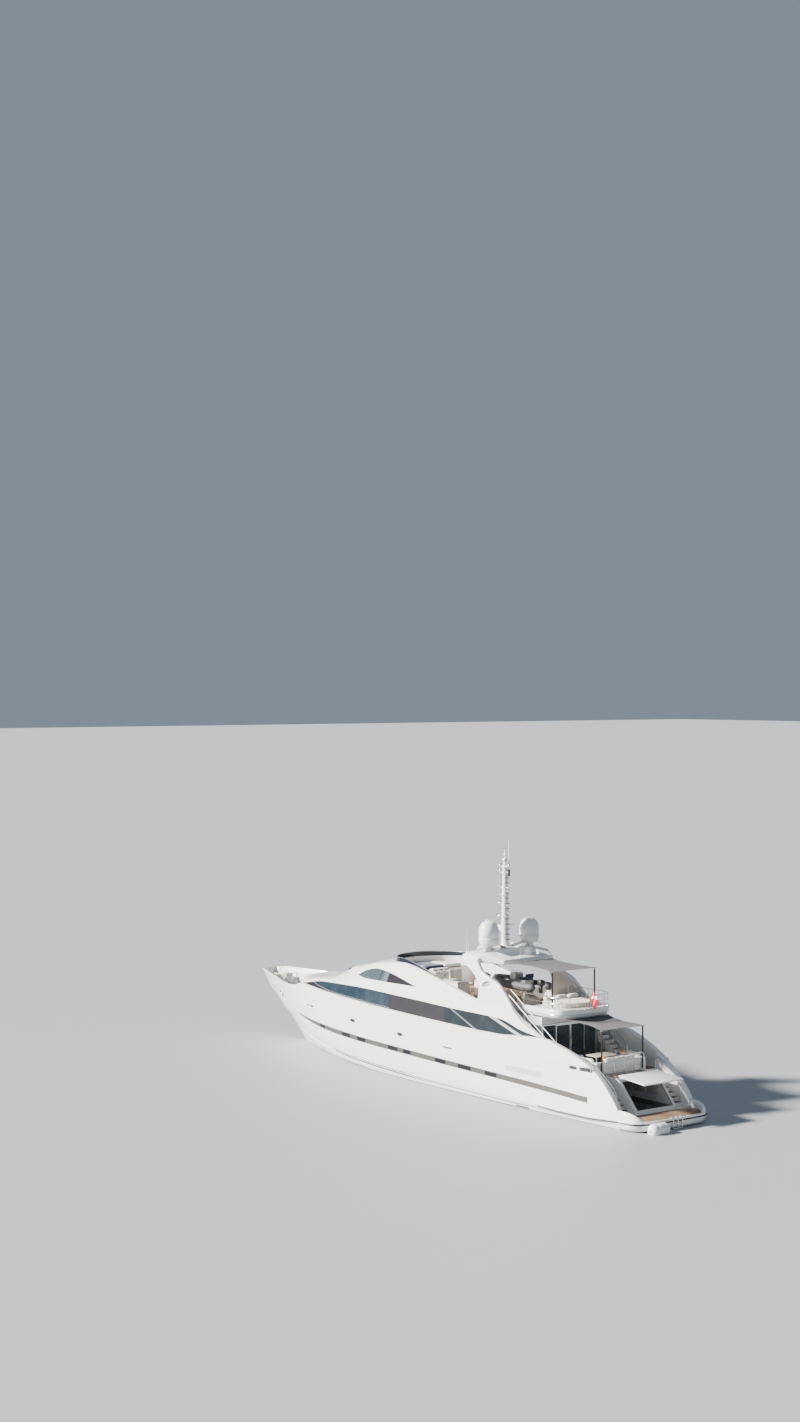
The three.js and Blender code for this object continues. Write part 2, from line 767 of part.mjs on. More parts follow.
// Pads seen from above, port half: x, y
const AFT_PAD = [
  [PAD_FRONT - 60, 0],
  [PAD_FRONT - 60, 1250],
  [-11600, 1250],
  [-11950, 900],
  [-12050, 0],
];
const FORWARD_PAD = [
  [800, 0],
  [800, 1980],
  [2200, 1900],
  [2950, 1500],
  [3400, 950],
  [3600, 0],
];

function aftFlyPad() {
  return pad(planOf(AFT_PAD), PAD_BASE + GAP, PAD_BASE + 440, 80);
}

function forwardFlyPad() {
  return pad(planOf(FORWARD_PAD), FLY_PODIUM + GAP, FLY_PODIUM + 230, 70);
}

// Helm console and seat on the flybridge, seen from the side: x, height over the deck
const HELM = { y0: 250, y1: 1450, seatInset: 100, front: -300, aft: -2200 };
const CONSOLE = [
  [-300, 0],
  [-300, 1200],
  [-520, 1290],
  [-1000, 1000],
  [-1000, 0],
];
const HELM_SEAT = [
  [-1500, 450],
  [-1500, 610],
  [-2000, 650],
  [-2080, 1470],
  [-2190, 1470],
  [-2200, 450],
];

function helm() {
  const { y0, y1, seatInset, aft } = HELM;
  const overDeck = (outline) => outline.map(([x, up]) => [x, FLY_DECK + up]);
  const console = prismAlong("y", overDeck(CONSOLE), y0, y1);
  const plinth = box(aft, -900, y0, y1, FLY_DECK, FLY_DECK + 60);
  const seat = prismAlong("y", overDeck(HELM_SEAT), y0 + seatInset, y1 - seatInset);
  const pedestal = box(aft + 220, aft + 500, y0 + 350, y1 - 350, FLY_DECK + 20, FLY_DECK + 500);
  return join(console, plinth, seat, pedestal);
}

// Seats and their backs stand this high over the deck
const SEAT_HEIGHT = 470;
const BACK_HEIGHT = 850;

// Lounge of the flybridge: seat with a back along starboard and aft
const LOUNGE = { aft: -4300, front: -800, end: -3500, outer: -2250, inner: -1450, wing: -600, back: 200 };

function flyLounge() {
  const { aft, front, end, outer, inner, wing, back } = LOUNGE;
  const seatTop = FLY_DECK + SEAT_HEIGHT;
  const backTop = FLY_DECK + BACK_HEIGHT;
  return join(
    box(aft, front, outer, inner, FLY_DECK, seatTop),
    box(aft, front, outer - back + 30, outer + 50, FLY_DECK, backTop),
    box(aft, end, outer, wing, FLY_DECK, seatTop),
    box(aft - back + 20, aft + 20, outer - back + 30, wing, FLY_DECK, backTop),
  );
}

const BAR = { x0: -3900, x1: -2500, y0: 1350, y1: 2150, height: 900, top: 50 };

function flyBar() {
  const { x0, x1, y0, y1, height, top } = BAR;
  const lip = 50;
  const z = FLY_DECK + height;
  return join(
    box(x0, x1, y0, y1, FLY_DECK, z),
    box(x0 - lip, x1 + lip, y0 - lip, y1 + lip, z, z + top),
  );
}

// Tender stowed on chocks: half breadth, nose and tail
const TENDER = { nose: -4950, tail: -8750, y: 250, half: 620, tube: 225, z: 6020, keel: 5330, top: 6700 };
const CHOCKS = [-8000, -6400];

function tender() {
  const { nose, tail, y, half, tube: r, z, keel, top } = TENDER;
  const side = (s) => [
    [tail, y + s * half, z],
    [nose - 1300, y + s * half, z],
    [nose - 500, y + s * half * 0.75, z + 60],
    [nose - r, y, z + 120],
  ];
  const collar = tube([...side(1), ...side(-1).slice(0, -1).reverse()], r, 26, 8);
  const shape = (x, w, low, high) => {
    const chine = z - 120;
    return [[x, y, low], [x, y + w, chine], [x, y + w, high], [x, y - w, high], [x, y - w, chine]];
  };
  const body = loft([
    shape(tail + 30, half, keel + 60, z + 60),
    shape(nose - 1500, half, keel, z + 60),
    shape(nose - 700, half * 0.55, keel + 230, z + 80),
    shape(nose - 300, 120, z - 200, z + 90),
  ]);
  const [seatAft, seatFront] = [tail + 1350, nose - 1350];
  const consolePlan = [[seatAft, y - 330], [seatFront, y - 280], [seatFront, y + 280], [seatAft, y + 330]];
  const console = pad(consolePlan, z, top, 120);
  const motor = box(tail - 180, tail + 60, y - 170, y + 170, z - 320, z + 400);
  const chocks = CHOCKS.map((x) => box(x - 60, x + 60, y - 600, y + 600, FLY_DECK + GAP, keel + 330));
  return join(collar, body, console, motor, ...chocks);
}

// Awning poles and awnings: pole x, y, foot z, top z
const POLES = {
  upper: { x: -11200, y: 1500, foot: PAD_BASE + GAP, top: 7205, radius: 45 },
  lower: { x: -15040, y: 1445, foot: MAIN_DECK + GAP, top: 4590, radius: 45 },
};

// Awnings between a front and a back edge: x, half width, height
const CLOTH = 30;
const AWNINGS = {
  upper: {
    front: { x: HARDTOP_AFT - GAP, half: 1600, z: 7300 },
    back: { x: -11300, half: 1580, z: 7190 },
  },
  lower: {
    front: { x: -12250, half: 1550, z: AFT_FLY_UNDER - CLOTH - GAP },
    back: { x: -15140, half: 1550, z: 4570 },
  },
};

function awning({ front, back }) {
  const rows = 6;
  const sag = 120;
  const rings = [];
  for (let i = 0; i <= rows; i += 1) {
    const t = i / rows;
    const waist = 1 - 0.22 * Math.sin(Math.PI * t);
    const x = front.x + (back.x - front.x) * t;
    const half = (front.half + (back.half - front.half) * t) * waist;
    const edge = front.z + (back.z - front.z) * t;
    const low = edge - sag * Math.sin(Math.PI * t);
    rings.push([
      [x, half, edge],
      [x, 0, low],
      [x, -half, edge],
      [x, -half, edge + CLOTH],
      [x, 0, low + CLOTH],
      [x, half, edge + CLOTH],
    ]);
  }
  return loft(rings);
}

// Aft saloon bulkhead, returned forward inside the stairs
const DOORWAY = { half: 1000, top: 4300, track: 4320 };
const BULKHEAD_WALL = { half: 1980, thick: 70 };

function bulkhead() {
  const { half, thick } = BULKHEAD_WALL;
  const top = AFT_FLY_UNDER - GAP;
  const back = box(BULKHEAD, BULKHEAD + thick, -half, half, MAIN_DECK, top);
  const doorway = box(BULKHEAD - 10, BULKHEAD + 80, -DOORWAY.half, DOORWAY.half, MAIN_DECK + 5, DOORWAY.top);
  const track = box(BULKHEAD - 75, BULKHEAD + 10, -half, half, DOORWAY.track, DOORWAY.track + 70);
  const returns = [-1, 1].map((s) => join(
    box(BULKHEAD, ROOF_END - CLEAR, s * (half - thick), s * half, MAIN_DECK, top),
    box(ROOF_END - CLEAR - thick, ROOF_END - CLEAR, s * (half - thick), s * 2780, MAIN_DECK, 4600),
  ));
  return join(back.subtract(doorway), track, ...returns);
}

// Door leaf hung from the track by two hangers
function slidingDoor() {
  const inner = 4;
  const outer = DOORWAY.half + 20;
  const [front, back] = [BULKHEAD - 10, BULKHEAD - 50];
  const top = DOORWAY.track - CLEAR;
  const hangers = [inner + 150, outer - 150].map((y) =>
    box(back, front, y - 40, y + 40, top - 10, DOORWAY.track - GAP),
  );
  return join(box(back, front, inner, outer, MAIN_DECK + CLEAR, top), ...hangers);
}

// Stairs from the aft deck to the flybridge, with handrails
const HANDRAIL = 28;
const STANCHION = 22;
const FLY_STAIR = { steps: 13, going: 345, inner: 2020, outer: 2530, top: ROOF_END - 80 };

function flyStair() {
  const { steps, going, inner, outer, top } = FLY_STAIR;
  const rise = (FLY_DECK - MAIN_DECK) / steps;
  const outline = [];
  for (let i = 0; i < steps; i += 1) {
    const z = FLY_DECK - rise * i - (i ? 0 : 10);
    outline.push([top - going * i, z], [top - going * (i + 1), z]);
  }
  outline.push([top - going * steps, MAIN_DECK], [top - going * (steps - 1.4), MAIN_DECK]);
  outline.push([top, FLY_DECK - 350]);
  const flight = prismAlong("y", outline, inner, outer);
  const foot = top - going * (steps - 0.6);
  const rails = [inner + 40, outer - 60].map((y) => {
    const line = [
      [top + 60, y, FLY_DECK + 1050],
      [foot + 260, y, MAIN_DECK + 1150],
      [foot, y, MAIN_DECK + 800],
      [foot, y, MAIN_DECK + rise / 2],
    ];
    const handrail = line.slice(1).map((to, i) => bar(line[i], to, HANDRAIL, HANDRAIL, 8));
    const posts = [1.5, 4.5, 7.5, 10.5].map((i) => {
      const z = FLY_DECK - rise * i;
      const x = top - going * i - 20;
      return bar([x, y, z - 80], [x, y, z + 1090], STANCHION, STANCHION, 6);
    });
    return join(...handrail, ...posts);
  });
  return join(flight, ...rails);
}

// Cockpit sofa, open forward: seat and arms round the table
const SOFA = { aft: -14950, seat: -14150, front: -13100, half: 1750, arm: 1050, back: 200 };

function cockpitSofa() {
  const { aft, seat, front, half, arm, back } = SOFA;
  const seatTop = MAIN_DECK + SEAT_HEIGHT - 20;
  const backTop = MAIN_DECK + BACK_HEIGHT;
  const arms = [-1, 1].map((s) => join(
    box(seat - 150, front, s * arm, s * half, MAIN_DECK, seatTop),
    box(aft + 150, front, s * (half - back + 20), s * (half + 10), MAIN_DECK, backTop - 20),
  ));
  return join(
    box(aft, seat, -half, half, MAIN_DECK, seatTop),
    box(aft - 20, aft + back - 10, -half, half, MAIN_DECK, backTop),
    ...arms,
  ).subtract(poleHoles());
}

function poleHoles() {
  const { x, y, radius } = POLES.lower;
  const room = radius + 15;
  return join(...[-1, 1].map((s) => box(x - room, x + room, s * y - room, s * y + room, 0, FAR)));
}

const TABLE = { x: -13400, length: 900, half: 750, height: 730, thick: 50 };

function cockpitTable() {
  const { x, length, half, height, thick } = TABLE;
  const [aft, front] = [x - length / 2, x + length / 2];
  const z = MAIN_DECK + height;
  const top = pad([[aft, -half], [front, -half], [front, half], [aft, half]], z - thick, z, 20);
  const under = z - thick + 10;
  const leg = [[0, MAIN_DECK], [230, MAIN_DECK], [60, MAIN_DECK + 60], [60, under], [0, under]];
  return join(top, lathe(leg, x, 0, 12));
}

function cockpitRail() {
  const x = COCKPIT_END - 70;
  const half = 1400;
  const top = MAIN_DECK + 980;
  const line = (z, radius) => bar([x, -half, z], [x, half, z], radius, radius, 8);
  const posts = [-1, -0.5, 0, 0.5, 1].map((share) => {
    const y = half * share;
    return bar([x, y, MAIN_DECK], [x, y, top], STANCHION, STANCHION, 8);
  });
  return join(line(MAIN_DECK + 350, 14), line(MAIN_DECK + 670, 14), line(top, HANDRAIL), ...posts);
}

// Transom housing round the garage mouth
const HOUSING = [
  [COCKPIT_END, PLATFORM_TOP],
  [COCKPIT_END, MAIN_DECK],
  [-16250, MAIN_DECK],
  [-17500, 850],
  [-17560, PLATFORM_TOP],
];
const HOUSING_HALF = 1440;

function transomHousing() {
  return cut(
    prismAlong("y", HOUSING, -HOUSING_HALF, HOUSING_HALF),
    box(0, -FAR, -GARAGE.half, GARAGE.half, GARAGE.floor, GARAGE.top),
  );
}

// Garage door, stored open: hinge line, slope of the mouth and length
const DOOR = { x: -16230, z: 2390, length: 1960, thick: 90, droop: 5, half: 1380 };

function garageDoor() {
  const turn = THREE.MathUtils.degToRad(DOOR.droop);
  const at = (along, up) => [
    DOOR.x - along * Math.cos(turn) - up * Math.sin(turn),
    DOOR.z - along * Math.sin(turn) + up * Math.cos(turn),
  ];
  const r = DOOR.thick / 2;
  const knuckle = [-90, -45, 0, 45, 90].map((degrees) => {
    const angle = THREE.MathUtils.degToRad(degrees);
    return at(-r * Math.cos(angle), r * Math.sin(angle));
  });
  const edge = [at(DOOR.length - 120, r), at(DOOR.length, 0), at(DOOR.length - 20, -r)];
  return prismAlong("y", [...knuckle, ...edge], -DOOR.half, DOOR.half);
}

// Cheek on the housing at each end of the door, with the hinge pin
function doorCheek(side) {
  const { x, z, half } = DOOR;
  const cheek = box(x - 55, x + 60, side * (half + CLEAR), side * (half + 50), MAIN_DECK - 40, z + 50);
  return cheek.add(bar([x, side * (half + GAP), z], [x, side * (half + 20), z], 25, 25, 12));
}

// Stairs from the aft deck down to the platform
function sternStair() {
  const steps = 8;
  const start = COCKPIT_END - GAP;
  const going = 285;
  const rise = (MAIN_DECK - PLATFORM_TOP) / steps;
  const outline = [[start, PLATFORM_TOP]];
  for (let i = 0; i < steps - 1; i += 1) {
    const z = MAIN_DECK - rise * (i + 1);
    outline.push([start - going * i, z], [start - going * (i + 1), z]);
  }
  outline.push([start - going * (steps - 1), PLATFORM_TOP]);
  return prismAlong("y", outline, HOUSING_HALF + GAP, WING_INSIDE - GAP);
}

// Bathing platform, port half seen from above: x, y
const PLATFORM = [
  [TRANSOM - GAP, 0],
  [TRANSOM - GAP, 2640],
  [-18150, 2600],
  [-18650, 2450],
  [-18950, 2080],
  [-19050, 1400],
  [PLATFORM_END, 0],
];

function platform() {
  const plan = planOf(PLATFORM);
  const drawIn = (x, y, margin) => [x < TRANSOM - GAP ? x + margin : x, y - Math.sign(y) * margin];
  const at = (margin, z) => plan.map(([x, y]) => [...drawIn(x, y, margin), z]);
  return loft([at(140, 140), at(0, 300), at(0, PLATFORM_TOP - 30), at(30, PLATFORM_TOP)]);
}

// Fender afloat against the edge of the platform
const FENDER = { x: -19377, z: 180, radius: 340, from: 900, to: 2150 };

function fender() {
  const { x, z, radius, from, to } = FENDER;
  const neck = radius * 0.6;
  const profile = [
    [0, from],
    [neck, from + 40],
    [radius, from + 200],
    [radius, to - 200],
    [neck, to - 40],
    [0, to],
  ];
  const geometry = new THREE.LatheGeometry(profile.map(([r, y]) => new THREE.Vector2(r, y)), 16);
  geometry.translate(x, 0, z);
  return outward(geometry);
}

// Ensign on its staff at the aft end of the flybridge
const STAFF = { x: -12330, z: PAD_BASE, rakeX: -480, height: 1000 };

function ensignStaff() {
  const { x, z, rakeX, height } = STAFF;
  const staff = bar([x, 0, z - 40], [x + rakeX, 0, z + height], 22, 16, 8);
  return staff.subtract(box(x - 200, x + 200, -200, 200, z - 200, z + GAP));
}

function ensign(staff) {
  const { x, z, rakeX, height } = STAFF;
  const on = (t, back, down) => [x + rakeX * t - back, z + height * t - down];
  const outline = [on(0.95, 0, 0), on(0.42, 0, 0), on(0.42, 330, 420), on(0.95, 420, 480)];
  return cut(prismAlong("y", outline, -12, 12), moved(staff, -GAP, 0, 0), staff);
}

const BOW_STAFF = { x: 18420, foot: 4100, topX: 18480, top: 5130 };

function bowStaff(body) {
  const { x, foot, topX, top } = BOW_STAFF;
  return bar([x, 0, foot], [topX, 0, top], 20, 14, 8).subtract(moved(body, 0, 0, GAP));
}

// Sunbed on the foredeck with its back against the coachroof
const SUNBED = { aft: 12760, back: 13050, front: 14000, half: 1150, seat: 360, height: 700 };

function foredeckPad() {
  const { aft, back, front, half, seat, height } = SUNBED;
  const plan = (x, w) => [[aft, -half], [x, -w], [x, w], [aft, half]];
  const foot = FOREDECK + GAP;
  return join(
    pad(plan(front, half - 100), foot, FOREDECK + seat, 60),
    pad(plan(back, half - 20), foot, FOREDECK + height, 60),
  );
}

// Windlass on its bed, with two drums and the chain roller
const WINDLASS = { aft: 15500, front: 16400, half: 420, bed: 60, drumX: 15850, drumY: 260, nose: 17300 };
// Drum: radius, height over the deck
const DRUM = [
  [0, 40],
  [130, 40],
  [95, 160],
  [95, 230],
  [140, 320],
  [0, 320],
];

function windlass() {
  const { aft, front, half, bed, drumX, drumY, nose } = WINDLASS;
  const profile = DRUM.map(([r, up]) => [r, FOREDECK + up]);
  return join(
    box(aft, front, -half, half, FOREDECK, FOREDECK + bed),
    box(front - 200, nose, -bed, bed, FOREDECK, FOREDECK + 130),
    ...[-1, 1].map((s) => lathe(profile, drumX, s * drumY, 12)),
  );
}

function hatch() {
  const z = FOREDECK + CLEAR;
  return box(HATCH.aft, HATCH.front, -HATCH.half, HATCH.half, z, z + HATCH.thick);
}

// Engine block in its room
const ENGINE = { aft: -10800, front: -7300, inner: 480, outer: 1850, height: 1700 };

function engine() {
  const { aft, front, inner, outer, height } = ENGINE;
  const floor = ENGINE_ROOM.floor;
  return box(aft, front, inner, outer, floor + GAP, floor + height);
}

// Running gear: shaft from the hull to the propeller
const SHAFT = { y: 1200, startX: -9800, startZ: -620, endX: -14500, endZ: -1400, radius: 75 };
const PROP = { hub: 130, blades: 5, depth: 260 };
// Blade sections: radius, half chord, pitch angle, thickness
const BLADE = [
  [90, 130, 55, 32],
  [260, 190, 42, 24],
  [420, 180, 34, 16],
  [540, 70, 30, 10],
];

function shaftPoint(t) {
  const { startX, startZ, endX, endZ, y } = SHAFT;
  return [startX + (endX - startX) * t, y, startZ + (endZ - startZ) * t];
}

function shaftAndStrut() {
  const shaft = bar(shaftPoint(0), shaftPoint(1), SHAFT.radius, SHAFT.radius, 12);
  const barrel = bar(shaftPoint(0.93), shaftPoint(1), 120, 110, 12);
  const seat = shaftPoint(0.955);
  const arms = [-420, 420].map((dy) => {
    const shape = (x, y, z) => [[x - 130, y, z], [x, y + 28, z], [x + 150, y, z], [x, y - 28, z]];
    return loft([shape(seat[0], seat[1], seat[2]), shape(seat[0] + 60, seat[1] + dy, -350)]);
  });
  return cut(join(shaft, barrel, ...arms), hullBody(0.5));
}

function propeller() {
  const along = new THREE.Vector3(SHAFT.endX - SHAFT.startX, 0, SHAFT.endZ - SHAFT.startZ).normalize();
  const { hub: h, depth } = PROP;
  const hub = lathe([[0, 0], [h, 0], [h, depth * 0.7], [h * 0.55, depth], [0, depth + 60]], 0, 0, 14);
  const blades = [];
  for (let i = 0; i < PROP.blades; i += 1) {
    const rings = BLADE.map(([r, chord, pitch, t]) => {
      const turn = THREE.MathUtils.degToRad(pitch);
      return [[-1, 0], [0, 1], [1, 0], [0, -1]].map(([u, w]) => {
        const a = u * chord;
        const b = (w * t) / 2;
        const side = a * Math.cos(turn) - b * Math.sin(turn);
        const axial = a * Math.sin(turn) + b * Math.cos(turn);
        return [r, side, depth * 0.4 + axial * 0.6];
      });
    });
    const blade = geometryOf(loft(rings)).rotateZ((i * 2 * Math.PI) / PROP.blades);
    blades.push(solid(blade));
  }
  const geometry = geometryOf(join(hub, ...blades));
  geometry.applyQuaternion(new THREE.Quaternion().setFromUnitVectors(new THREE.Vector3(0, 0, 1), along));
  const foot = new THREE.Vector3(...shaftPoint(1)).addScaledVector(along, GAP);
  geometry.translate(foot.x, foot.y, foot.z);
  return solid(geometry);
}

function rudder() {
  const { x, y, top, tip, boss } = RUDDER;
  const section = (z, chord, t) => {
    const thickest = x + chord * 0.05;
    return [[x + chord * 0.28, y, z], [thickest, y + t, z], [x - chord * 0.72, y, z], [thickest, y - t, z]];
  };
  const blade = loft([section(tip, 560, 32), section(top, 720, 50)]);
  return blade.add(bar([x, y, top - 100], [x, y, boss - GAP], 48, 48, 12));
}

// Assembly
const yacht = new THREE.Group();

function add(name, body, finish) {
  const [color, roughness, metalness] = FINISHES[finish];
  const material = new THREE.MeshStandardMaterial({ color, roughness, metalness });
  const mesh = new THREE.Mesh(geometryOf(body), material);
  mesh.name = name;
  mesh.geometry.computeVertexNormals();
  yacht.add(mesh);
}

// Port piece and its mirror image to starboard
function addPair(name, body, finish) {
  add(name + "_port", body, finish);
  add(name + "_starboard", mirrored(body), finish);
}

// Pole up to the underside of its awning
function pole({ x, y, foot, top, radius }, cloth) {
  return bar([x, y, foot], [x, y, top], radius, radius, 10).subtract(moved(cloth, 0, 0, -GAP));
}

add("hull", hull(), "gelcoat");
const bowBody = bow();
add("bow", bowBody, "gelcoat");
addPair("topside", topside(), "gelcoat");
add("coachroof", coachroof(), "gelcoat");
add("deckhouse", deckhouse(), "gelcoat");
addPair("side_glass", sideGlass(), "glass");
addPair("wheelhouse_glass", paneIn(eyePrism(1, GAP)), "glass");
add("windscreen", paneIn(screenPrism(GAP)), "glass");
add("fly_windscreen", flyScreen(), "glass");
const arch = radarArch();
add("radar_arch", arch, "gelcoat");
addPair("satellite_dome", dome(arch), "gelcoat");
add("mast", mast(arch), "gelcoat");
add("radar_scanner", scanner(), "gelcoat");
add("aft_fly_deck", aftFlyDeck(), "gelcoat");
add("aft_fly_pad", aftFlyPad(), "cushion");
add("forward_fly_pad", forwardFlyPad(), "cushion");
add("fly_helm", helm(), "gelcoat");
add("fly_lounge", flyLounge(), "cushion");
add("fly_bar", flyBar(), "gelcoat");
add("tender", tender(), "rubber");
for (const place of ["upper", "lower"]) {
  const cloth = awning(AWNINGS[place]);
  addPair(place + "_pole", pole(POLES[place], cloth), "carbon");
  add(place + "_awning", cloth, "awning");
}
add("aft_bulkhead", bulkhead(), "glass");
addPair("saloon_door", slidingDoor(), "glass");
addPair("fly_stair", flyStair(), "gelcoat");
add("cockpit_sofa", cockpitSofa(), "cushion");
add("cockpit_table", cockpitTable(), "teak");
add("cockpit_rail", cockpitRail(), "steel");
add("transom_housing", join(transomHousing(), ...[-1, 1].map(doorCheek)), "gelcoat");
add("garage_door", garageDoor(), "gelcoat");
addPair("stern_stair", sternStair(), "teak");
add("bathing_platform", platform(), "teak");
add("fender", fender(), "fender");
const staff = ensignStaff();
add("ensign_staff", staff, "steel");
add("ensign", ensign(staff), "flag");
add("bow_staff", bowStaff(bowBody), "steel");
add("foredeck_pad", foredeckPad(), "cushion");
add("windlass", windlass(), "steel");
add("foredeck_hatch", hatch(), "glass");
addPair("engine", engine(), "iron");
addPair("shaft_strut", shaftAndStrut(), "bronze");
addPair("propeller", propeller(), "bronze");
addPair("rudder", rudder(), "bronze");

export default yacht;
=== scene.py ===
"""Looks of a three-deck fast motor yacht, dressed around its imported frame.

Units are metres. +X is forward, +Y is port, +Z is up, and the waterline is at z = 0.
"""
from __future__ import annotations

import json
import logging
import math
from dataclasses import dataclass, field
from enum import Enum
from typing import Any, Callable, Iterable, Sequence

import bmesh
import bpy
import numpy as np
from mathutils import Matrix, Vector
from mathutils.bvhtree import BVHTree

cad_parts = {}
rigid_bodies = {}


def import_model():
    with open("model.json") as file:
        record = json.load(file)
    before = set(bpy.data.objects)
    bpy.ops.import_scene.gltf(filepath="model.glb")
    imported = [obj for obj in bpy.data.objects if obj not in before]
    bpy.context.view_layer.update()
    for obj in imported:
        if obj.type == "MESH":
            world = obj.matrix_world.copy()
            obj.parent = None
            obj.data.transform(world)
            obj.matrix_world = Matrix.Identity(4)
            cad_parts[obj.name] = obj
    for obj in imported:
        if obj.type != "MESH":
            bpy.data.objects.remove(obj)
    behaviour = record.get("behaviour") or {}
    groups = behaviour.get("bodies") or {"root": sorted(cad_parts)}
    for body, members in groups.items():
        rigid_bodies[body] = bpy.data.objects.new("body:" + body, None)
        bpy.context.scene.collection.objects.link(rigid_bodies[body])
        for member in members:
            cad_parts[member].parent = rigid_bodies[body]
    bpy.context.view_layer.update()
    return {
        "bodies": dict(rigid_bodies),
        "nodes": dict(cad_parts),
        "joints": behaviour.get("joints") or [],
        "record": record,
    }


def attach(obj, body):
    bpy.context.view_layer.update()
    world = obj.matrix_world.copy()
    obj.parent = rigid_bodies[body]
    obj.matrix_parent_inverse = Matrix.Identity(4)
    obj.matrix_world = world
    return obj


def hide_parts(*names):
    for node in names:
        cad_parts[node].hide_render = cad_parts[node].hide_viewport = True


log = logging.getLogger("yacht")

Point = tuple[float, float, float]
Flat = tuple[float, float]
Colour = tuple[float, float, float]
Grid = Sequence[Sequence[Sequence[float]]]

MAIN_DECK = 2.25
FOREDECK = 3.2
FLY_DECK = 4.95
FLY_PODIUM = 5.95
PLATFORM_TOP = 0.58
TRANSOM = -17.6
COCKPIT_END = -15.1
FORE_END = 10.9
HOUSE_END = -12.2
ROOF_END = -8.4
BULKHEAD = -10.9
# Height above everything, up to which open wells are cut
SKY = 9.0
# Thickness of laid teak and carpet
LAID = 0.012
# Upper edge of a stain that never shows
NO_STAIN = -9.0
# Points closer than this become one
MERGE = 2e-5
ROOT = "yacht"
SIDES = (("port", 1.0), ("starboard", -1.0))


class Slot(str, Enum):
    """Material slots of the record."""

    GELCOAT = "gelcoat"
    GLASS = "tinted_glass"
    DOME = "dome_plastic"
    ALLOY = "painted_alloy"
    CUSHION = "cushion"
    TENDER = "tender_rubber"
    CARBON = "carbon"
    AWNING = "awning"
    TEAK = "teak"
    STEEL = "stainless"
    FENDER = "fender_vinyl"
    ENSIGN = "ensign_cloth"
    IRON = "engine_iron"
    BRONZE = "bronze"


class Zone(Enum):
    """Stretches of the hull, by what lies inside the bulwark."""

    STERN = "stern"
    MIDDLE = "middle"
    FORE = "fore"
    NOSE = "nose"


class Pane(Enum):
    """Parts of the band of side windows."""

    CLEAR = "clear"
    BORDER = "border"
    MIDDLE = "middle"
    AFT = "aft"
    LINE = "line"


# Shader maths


@dataclass(frozen=True)
class Wire:
    """One output socket of a material under construction, with arithmetic on values."""

    tree: "Tree"
    socket: Any

    def _math(self, operation: str, *values: Any) -> "Wire":
        """Adds a Math node.

        Args:
            operation: the node's operation.
            values: wires or numbers for its inputs.

        Returns:
            The node's result.
        """
        return self.tree.node("ShaderNodeMath", {"operation": operation}, {i: v for i, v in enumerate(values)})

    def __add__(self, other: Any) -> "Wire":
        """Sum of two values."""
        return self._math("ADD", self, other)

    __radd__ = __add__

    def __sub__(self, other: Any) -> "Wire":
        """Difference of two values."""
        return self._math("SUBTRACT", self, other)

    def __rsub__(self, other: Any) -> "Wire":
        """Difference, with the wire second."""
        return self._math("SUBTRACT", other, self)

    def __mul__(self, other: Any) -> "Wire":
        """Product of two values."""
        return self._math("MULTIPLY", self, other)

    __rmul__ = __mul__

    def __truediv__(self, other: Any) -> "Wire":
        """Quotient of two values."""
        return self._math("DIVIDE", self, other)

    def sine(self) -> "Wire":
        """Sine of the value."""
        return self._math("SINE", self)

    def __abs__(self) -> "Wire":
        """Absolute value."""
        return self._math("ABSOLUTE", self)

    def floor(self) -> "Wire":
        """Whole part of a value."""
        return self._math("FLOOR", self)

    def step(self, low: float, high: float) -> "Wire":
        """Smooth step from 0 at low to 1 at high.

        Args:
            low: value at which the step starts.
            high: value at which it is full, which may be lower than low.

        Returns:
            The step.
        """
        settings = {"interpolation_type": "SMOOTHSTEP"}
        return self.tree.node("ShaderNodeMapRange", settings, {0: self, 1: low, 2: high, 3: 0.0, 4: 1.0})


